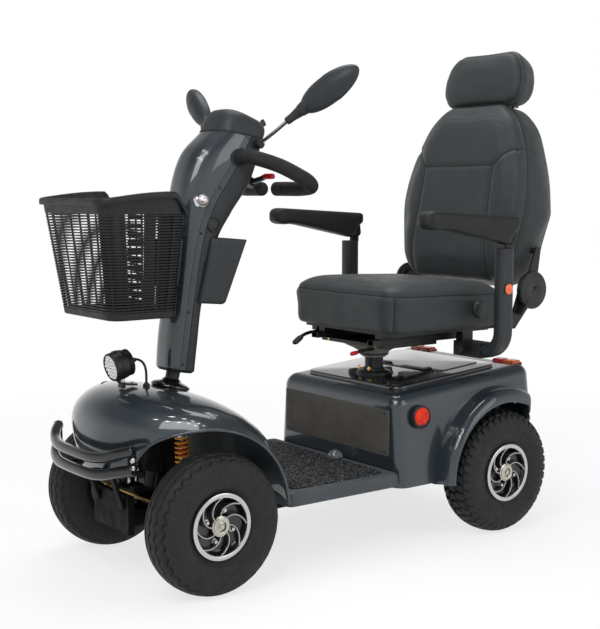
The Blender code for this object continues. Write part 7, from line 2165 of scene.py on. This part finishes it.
@dataclass
class Backrest:
    """Backrest cushion with its yoke and side seams, its frame and the headrest above it."""

    hinge_y: float = .594
    hinge_z: float = .644
    lean: float = math.radians(11)
    half_a: float = .246
    half_b: float = .263
    corner: float = .074
    middle_b: float = .261
    start_in: float = .002
    face: float = .1
    yoke: Pair = (.136, .329)
    stalk: Pair = (.07, -.009)
    # Layers from the back face to the front face: how far in and how far out
    layers: tuple = ((.15, -.091), (.07, -.088), (.024, -.0774), (.004, -.0396), (.002, .02), (.001, .06),
                     (.006, .078), (.022, .088), (.052, .094), (.1, .0985), (.15, .1))
    head_b: float = .5895
    head_half: Pair = (.156, .0815)
    head_corner: float = .05
    head_layers: tuple = ((.06, 0), (.04, .001), (.016, .0118), (.005, .0441), (.001, .0735), (.014, .0902),
                          (.04, .0965), (.06, .098))

    def build(self) -> None:
        """Makes the cushion, the headrest and the frame's fittings."""
        keep_node("backrest_frame", STEEL)
        self.build_cushion()
        self.build_headrest()
        self.build_guides()

    def place(self, a: Array, b: Array, out: Array) -> Array:
        """Point of the leaning back: a across, b up it and out towards the rider."""
        sine, cosine = math.sin(self.lean), math.cos(self.lean)
        a, b, out = np.broadcast_arrays(a, b, out)
        return np.stack([a, self.hinge_y + sine * b - cosine * out, self.hinge_z + cosine * b + sine * out],
                        -1)

    def forward(self) -> Array:
        """Direction out of the back towards the rider."""
        return np.array((0.0, -math.cos(self.lean), math.sin(self.lean)))

    def shaped(self, plan: Array, out: float) -> Array:
        """A plan outline at a depth: narrow at foot and top, thin behind the shoulders, and wrapped."""
        share = (plan[:, 1] + self.half_b) / (2 * self.half_b)
        below, above = np.clip(.42 - share, 0, None) / .42, np.clip(share - .42, 0, None) / .58
        width = 1 - .2 * below ** 1.3 - .45 * above ** 2
        wrap = .02 * np.sin(np.pi * share) * (plan[:, 0] / self.half_a) ** 2 * out / self.face
        depth = out * (1 - .66 * above) if out < 0 else out + wrap
        return self.place(plan[:, 0] * width, self.middle_b + plan[:, 1], depth)

    def ring(self, inset: float, out: float) -> Array:
        """Outline of the cushion drawn in by inset, at a depth."""
        plan = rounded(self.half_a - inset, self.half_b - inset, max(self.corner - .3 * inset, .014), 12, 18)
        return self.shaped(plan, out)

    def build_cushion(self) -> None:
        """Cushion: layers from back to front, filled, then sewn along yoke, channels and boxing."""
        layers = smooth(np.array(self.layers, float), 3)
        rings = np.stack([self.ring(inset + self.start_in, out * .965) for inset, out in layers])
        padding = Padding("back_cushion_padding", loft(rings), .01, .0062)
        obj = padding.fill()
        inward = -self.forward()
        lines = []
        for side, _word in SIDES:
            yoke = smooth(np.array([(side * .226, .384), (side * .196, .379), (side * .166, .362),
                                    (side * .146, .338), (side * self.yoke[0], self.yoke[1])]), 10)
            channel = smooth(np.array([(side * self.yoke[0], self.yoke[1]), (side * .138, .25),
                                       (side * .144, .16), (side * .148, .08), (side * .149, .01)]), 12)
            for line in (yoke, channel):
                flat = self.place(line[:, 0], line[:, 1], self.face)
                lines.append((laid_on(obj, flat, 0.0, inward), tuple(inward), False))
            bead = smooth(np.array([(side * .11, .512), (side * .15, .487), (side * .181, .444),
                                    (side * .198, .388), (side * .21, .29), (side * .222, .186),
                                    (side * .224, .1), (side * .2, .024)]), 10)
            flat = self.place(bead[:, 0], bead[:, 1], .052)
            lines.append((laid_on(obj, flat, 0.0), tuple(inward), False))
        yoke_a, yoke_b = self.yoke
        cross = np.linspace(-yoke_a, yoke_a, 50)
        flat = self.place(cross, 0 * cross + yoke_b, self.face)
        lines.append((laid_on(obj, flat, 0.0, inward), tuple(inward), False))
        padding.finish(obj, "backrest", "backrest_cushion", lines, .8)

    def head_ring(self, inset: float, out: float) -> Array:
        """Outline of the headrest drawn in by inset, at a depth, narrower towards its top."""
        half_a, half_b = self.head_half
        plan = rounded(half_a - inset, half_b - inset, max(self.head_corner - .4 * inset, .01), 12, 12)
        narrow = 1 - .16 * np.clip(plan[:, 1] / half_b, 0, None)
        return self.place(plan[:, 0] * narrow, self.head_b + plan[:, 1], out - .018)

    def build_headrest(self) -> None:
        """Headrest: layers filled like the back, with one seam round its face, on two bright stalks."""
        layers = smooth(np.array(self.head_layers, float), 3)
        rings = np.stack([self.head_ring(inset + .001, .001 + .975 * out) for inset, out in layers])
        padding = Padding("headrest_padding", loft(rings), .005, .005, ease=400)
        obj = padding.fill()
        seam = laid_on(obj, smooth(self.head_ring(.004, .082), 4, True), 0.0)
        padding.finish(obj, "head_support", "headrest", [(seam, tuple(self.forward()), True)], .9)
        for side, word in SIDES:
            path = self.place(np.full(2, side * self.stalk[0]), np.array((.455, .545)),
                              np.full(2, self.stalk[1]))
            piece("headrest_stalk_" + word, tube(path, .0058, (1, 0, 0), 20), "head_support", BRIGHT)

    def build_guides(self) -> None:
        """Collars where the stalks go into the back."""
        for side, word in SIDES:
            foot = self.place(np.array(side * self.stalk[0]), np.array(.522), np.array(self.stalk[1]))
            up = np.array((0.0, math.sin(self.lean), math.cos(self.lean)))
            collar = [(.0068, 0), (.0135, 0), (.014, .0012), (.0125, .0042), (.0085, .005), (.0068, .005)]
            piece("stalk_collar_" + word, lathe(collar, foot, up, 32), "backrest", BLACK_PLASTIC)


# Studio

@dataclass
class Studio:
    """Floor that fades into white, soft lamps, a white surround and the camera."""

    eye: Triple = (2.4633, -1.8596, .9151)
    azimuth: float = math.radians(53.174)
    elevation: float = math.radians(5.969)
    lens: float = 67.69
    floor_radius: float = 14.0
    fade_start: float = .9
    fade_end: float = 2.6
    floor_glow: float = .74
    surround: float = .5
    overhead: float = .2
    # Soft lamps: name, place, point that it faces, side and power
    lamps: tuple = (
        ("key", (1.6, -2.4, 2.7), (0.0, -.1, .5), 1.6, 46.0),
        ("fill", (3.0, 1.2, 1.9), (0.0, .2, .5), 2.0, 24.0),
        ("top", (-.5, .4, 3.2), (0.0, .1, .4), 1.8, 46.0),
    )
    # Small ceiling lamps, in two rows of five
    ceiling: Triple = (.2, -1.2, 2.4)
    ceiling_step: Pair = (.4, -.6)
    ceiling_size: float = .13
    ceiling_power: float = 1.2

    def build(self) -> None:
        """Makes the floor, the lamps, the world and the camera."""
        self.build_floor()
        self.build_world()
        for lamp in self.lamps:
            self.lamp(*lamp)
        x, y, z = self.ceiling
        for i in range(10):
            place = (x + self.ceiling_step[0] * (i % 5), y + self.ceiling_step[1] * (i // 5), z)
            self.lamp(f"ceiling_{i}", place, (*place[:2], 0.0), self.ceiling_size, self.ceiling_power)
        self.build_camera()

    def seen(self, tree: NodeTree) -> Socket:
        """One for rays from the camera, from gloss and through glass, and zero for light."""
        path = tree.nodes.new("ShaderNodeLightPath")
        total = path.outputs["Is Camera Ray"]
        for name in ("Is Glossy Ray", "Is Transmission Ray"):
            more = tree.nodes.new("ShaderNodeMath")
            more.operation = "MAXIMUM"
            tree.links.new(total, more.inputs[0])
            tree.links.new(path.outputs[name], more.inputs[1])
            total = more.outputs[0]
        return total

    def build_floor(self) -> None:
        """Round floor: matt near the scooter, where it keeps the shadow, and white further out."""
        radius = np.array((0.0, .5, 1.0, 2.0, 4.0, self.floor_radius))[:, None]
        turn = np.arange(64) * 2 * np.pi / 64
        points = np.stack([radius * np.cos(turn), radius * np.sin(turn), 0 * radius * turn - .0005], -1)
        floor = bpy.data.objects.new("studio_floor", to_mesh("studio_floor", grid(points, False, True)))
        bpy.context.scene.collection.objects.link(floor)
        shader = Shader("studio_floor")
        tree = shader.tree
        shader.surface.inputs["Base Color"].default_value = (.86, .86, .86, 1)
        shader.surface.inputs["Roughness"].default_value = .9
        shader.surface.inputs["Specular IOR Level"].default_value = 0.0
        far = shader.node("VectorMath", {"0": shader.place}, operation="LENGTH").outputs["Value"]
        fade = shader.remap(far, self.fade_start, self.fade_end, self.floor_glow, 1.0)
        share = shader.sums("MULTIPLY", fade, self.seen(tree))
        glow = shader.node("Emission", {"Color": (1, 1, 1, 1), "Strength": 1.0})
        mixed = tree.nodes.new("ShaderNodeMixShader")
        end = next(node for node in tree.nodes if node.bl_idname == "ShaderNodeOutputMaterial")
        tree.links.new(share, mixed.inputs[0])
        tree.links.new(shader.surface.outputs[0], mixed.inputs[1])
        tree.links.new(glow.outputs[0], mixed.inputs[2])
        tree.links.new(mixed.outputs[0], end.inputs["Surface"])
        floor.data.materials.append(shader.material)

    def build_world(self) -> None:
        """White surround for the eye, and a softer one for the light it gives."""
        world = bpy.data.worlds.new("studio")
        bpy.context.scene.world = world
        world.use_nodes = True
        tree = world.node_tree
        light = tree.nodes["Background"]
        light.inputs["Color"].default_value = (1, 1, 1, 1)
        height = tree.nodes.new("ShaderNodeSeparateXYZ")
        tree.links.new(tree.nodes.new("ShaderNodeTexCoord").outputs["Generated"], height.inputs[0])
        dome = self.ranged(tree, height.outputs["Z"], (.1, .6), (1.0, self.overhead))
        path = tree.nodes.new("ShaderNodeLightPath").outputs
        clear = tree.nodes.new("ShaderNodeMath")
        clear.operation = "MAXIMUM"
        tree.links.new(path["Is Camera Ray"], clear.inputs[0])
        tree.links.new(path["Is Transmission Ray"], clear.inputs[1])
        gloss = self.ranged(tree, path["Is Glossy Ray"], (0.0, 1.0), (self.surround, dome))
        strength = self.ranged(tree, clear.outputs[0], (0.0, 1.0), (gloss, 1.0))
        tree.links.new(strength, light.inputs["Strength"])

    def ranged(self, tree: NodeTree, value: Socket, old: Point,
               new: Sequence[float | Socket]) -> Socket:
        """A value carried from one range to another, whose new ends are numbers or sockets."""
        made = tree.nodes.new("ShaderNodeMapRange")
        tree.links.new(value, made.inputs["Value"])
        for name, end in zip(("From Min", "From Max", "To Min", "To Max"), (*old, *new)):
            if isinstance(end, Socket):
                tree.links.new(end, made.inputs[name])
            else:
                made.inputs[name].default_value = end
        return made.outputs[0]

    def lamp(self, name: str, place: Point, aim: Point, size: float, power: float) -> None:
        """Square area lamp at a place, aimed at a point.

        Args:
            name: Name of the lamp.
            place: Where it stands.
            aim: Point that it faces.
            size: Length of its side.
            power: Its power in watts.
        """
        data = bpy.data.lights.new("lamp_" + name, "AREA")
        data.size = size
        data.energy = power
        made = bpy.data.objects.new("lamp_" + name, data)
        made.location = Vector(place) + Vector(MIDDLE)
        made.rotation_euler = (Vector(aim) - Vector(place)).to_track_quat("-Z", "Y").to_euler()
        bpy.context.scene.collection.objects.link(made)

    def build_camera(self) -> None:
        """Camera at the photograph's place: it looks back along its azimuth and elevation."""
        data = bpy.data.cameras.new("photograph")
        data.lens = self.lens
        camera = bpy.data.objects.new("photograph", data)
        camera.location = Vector(self.eye) + Vector(MIDDLE)
        back = Vector((math.sin(self.azimuth) * math.cos(self.elevation),
                       -math.cos(self.azimuth) * math.cos(self.elevation), math.sin(self.elevation)))
        camera.rotation_euler = (-back).to_track_quat("-Z", "Y").to_euler()
        bpy.context.scene.collection.objects.link(camera)
        bpy.context.scene.camera = camera


def keep_rest() -> None:
    """Finishes the CAD nodes that stay in view as they are."""
    for node in ("main_frame", "drive_unit"):
        keep_node(node, UNDERCOAT)
    for _side, word in SIDES:
        keep_node("battery_" + word, CASE)


# Each axle's wheels: end, place across and along, tyre width, rim face and tread
FRONT_WHEEL = ("front", .2465, -.447, .1, .0426, Tread.RIBS)
REAR_WHEEL = ("rear", .263, .447, .105, .05, Tread.BLOCKS)
AXLE_HEIGHT = .165


def wheels() -> list[Wheel]:
    """The four wheels, fronts narrower than rears."""
    made = []
    for side, word in SIDES:
        for end, x, y, width, face, tread in (FRONT_WHEEL, REAR_WHEEL):
            name = f"{end}_{word}"
            middle = (side * x, y, AXLE_HEIGHT)
            made.append(Wheel(name, f"{end}_wheel_{word}", side, middle, width, face, tread))
    return made


def main() -> None:
    """Builds the sub-assemblies in order and sets up the studio."""
    logging.basicConfig(level=logging.INFO, format="%(name)s: %(message)s")
    bpy.context.scene.view_settings.view_transform = "Standard"
    keep_rest()
    right_mirror = Mirror(-1, "right", middle=(.284, -.142, 1.138), turn=math.radians(13))
    assemblies = [FrontBody(), Footplate(), RearBody(), *wheels(), Suspension(), Tiller(), Basket(),
                  Mirror(1, "left"), right_mirror, Seat(), Backrest(), Studio()]
    for assembly in assemblies:
        assembly.build()
        LOG.info("%s is in place", type(assembly).__name__)


if __name__ == "__main__":
    main()
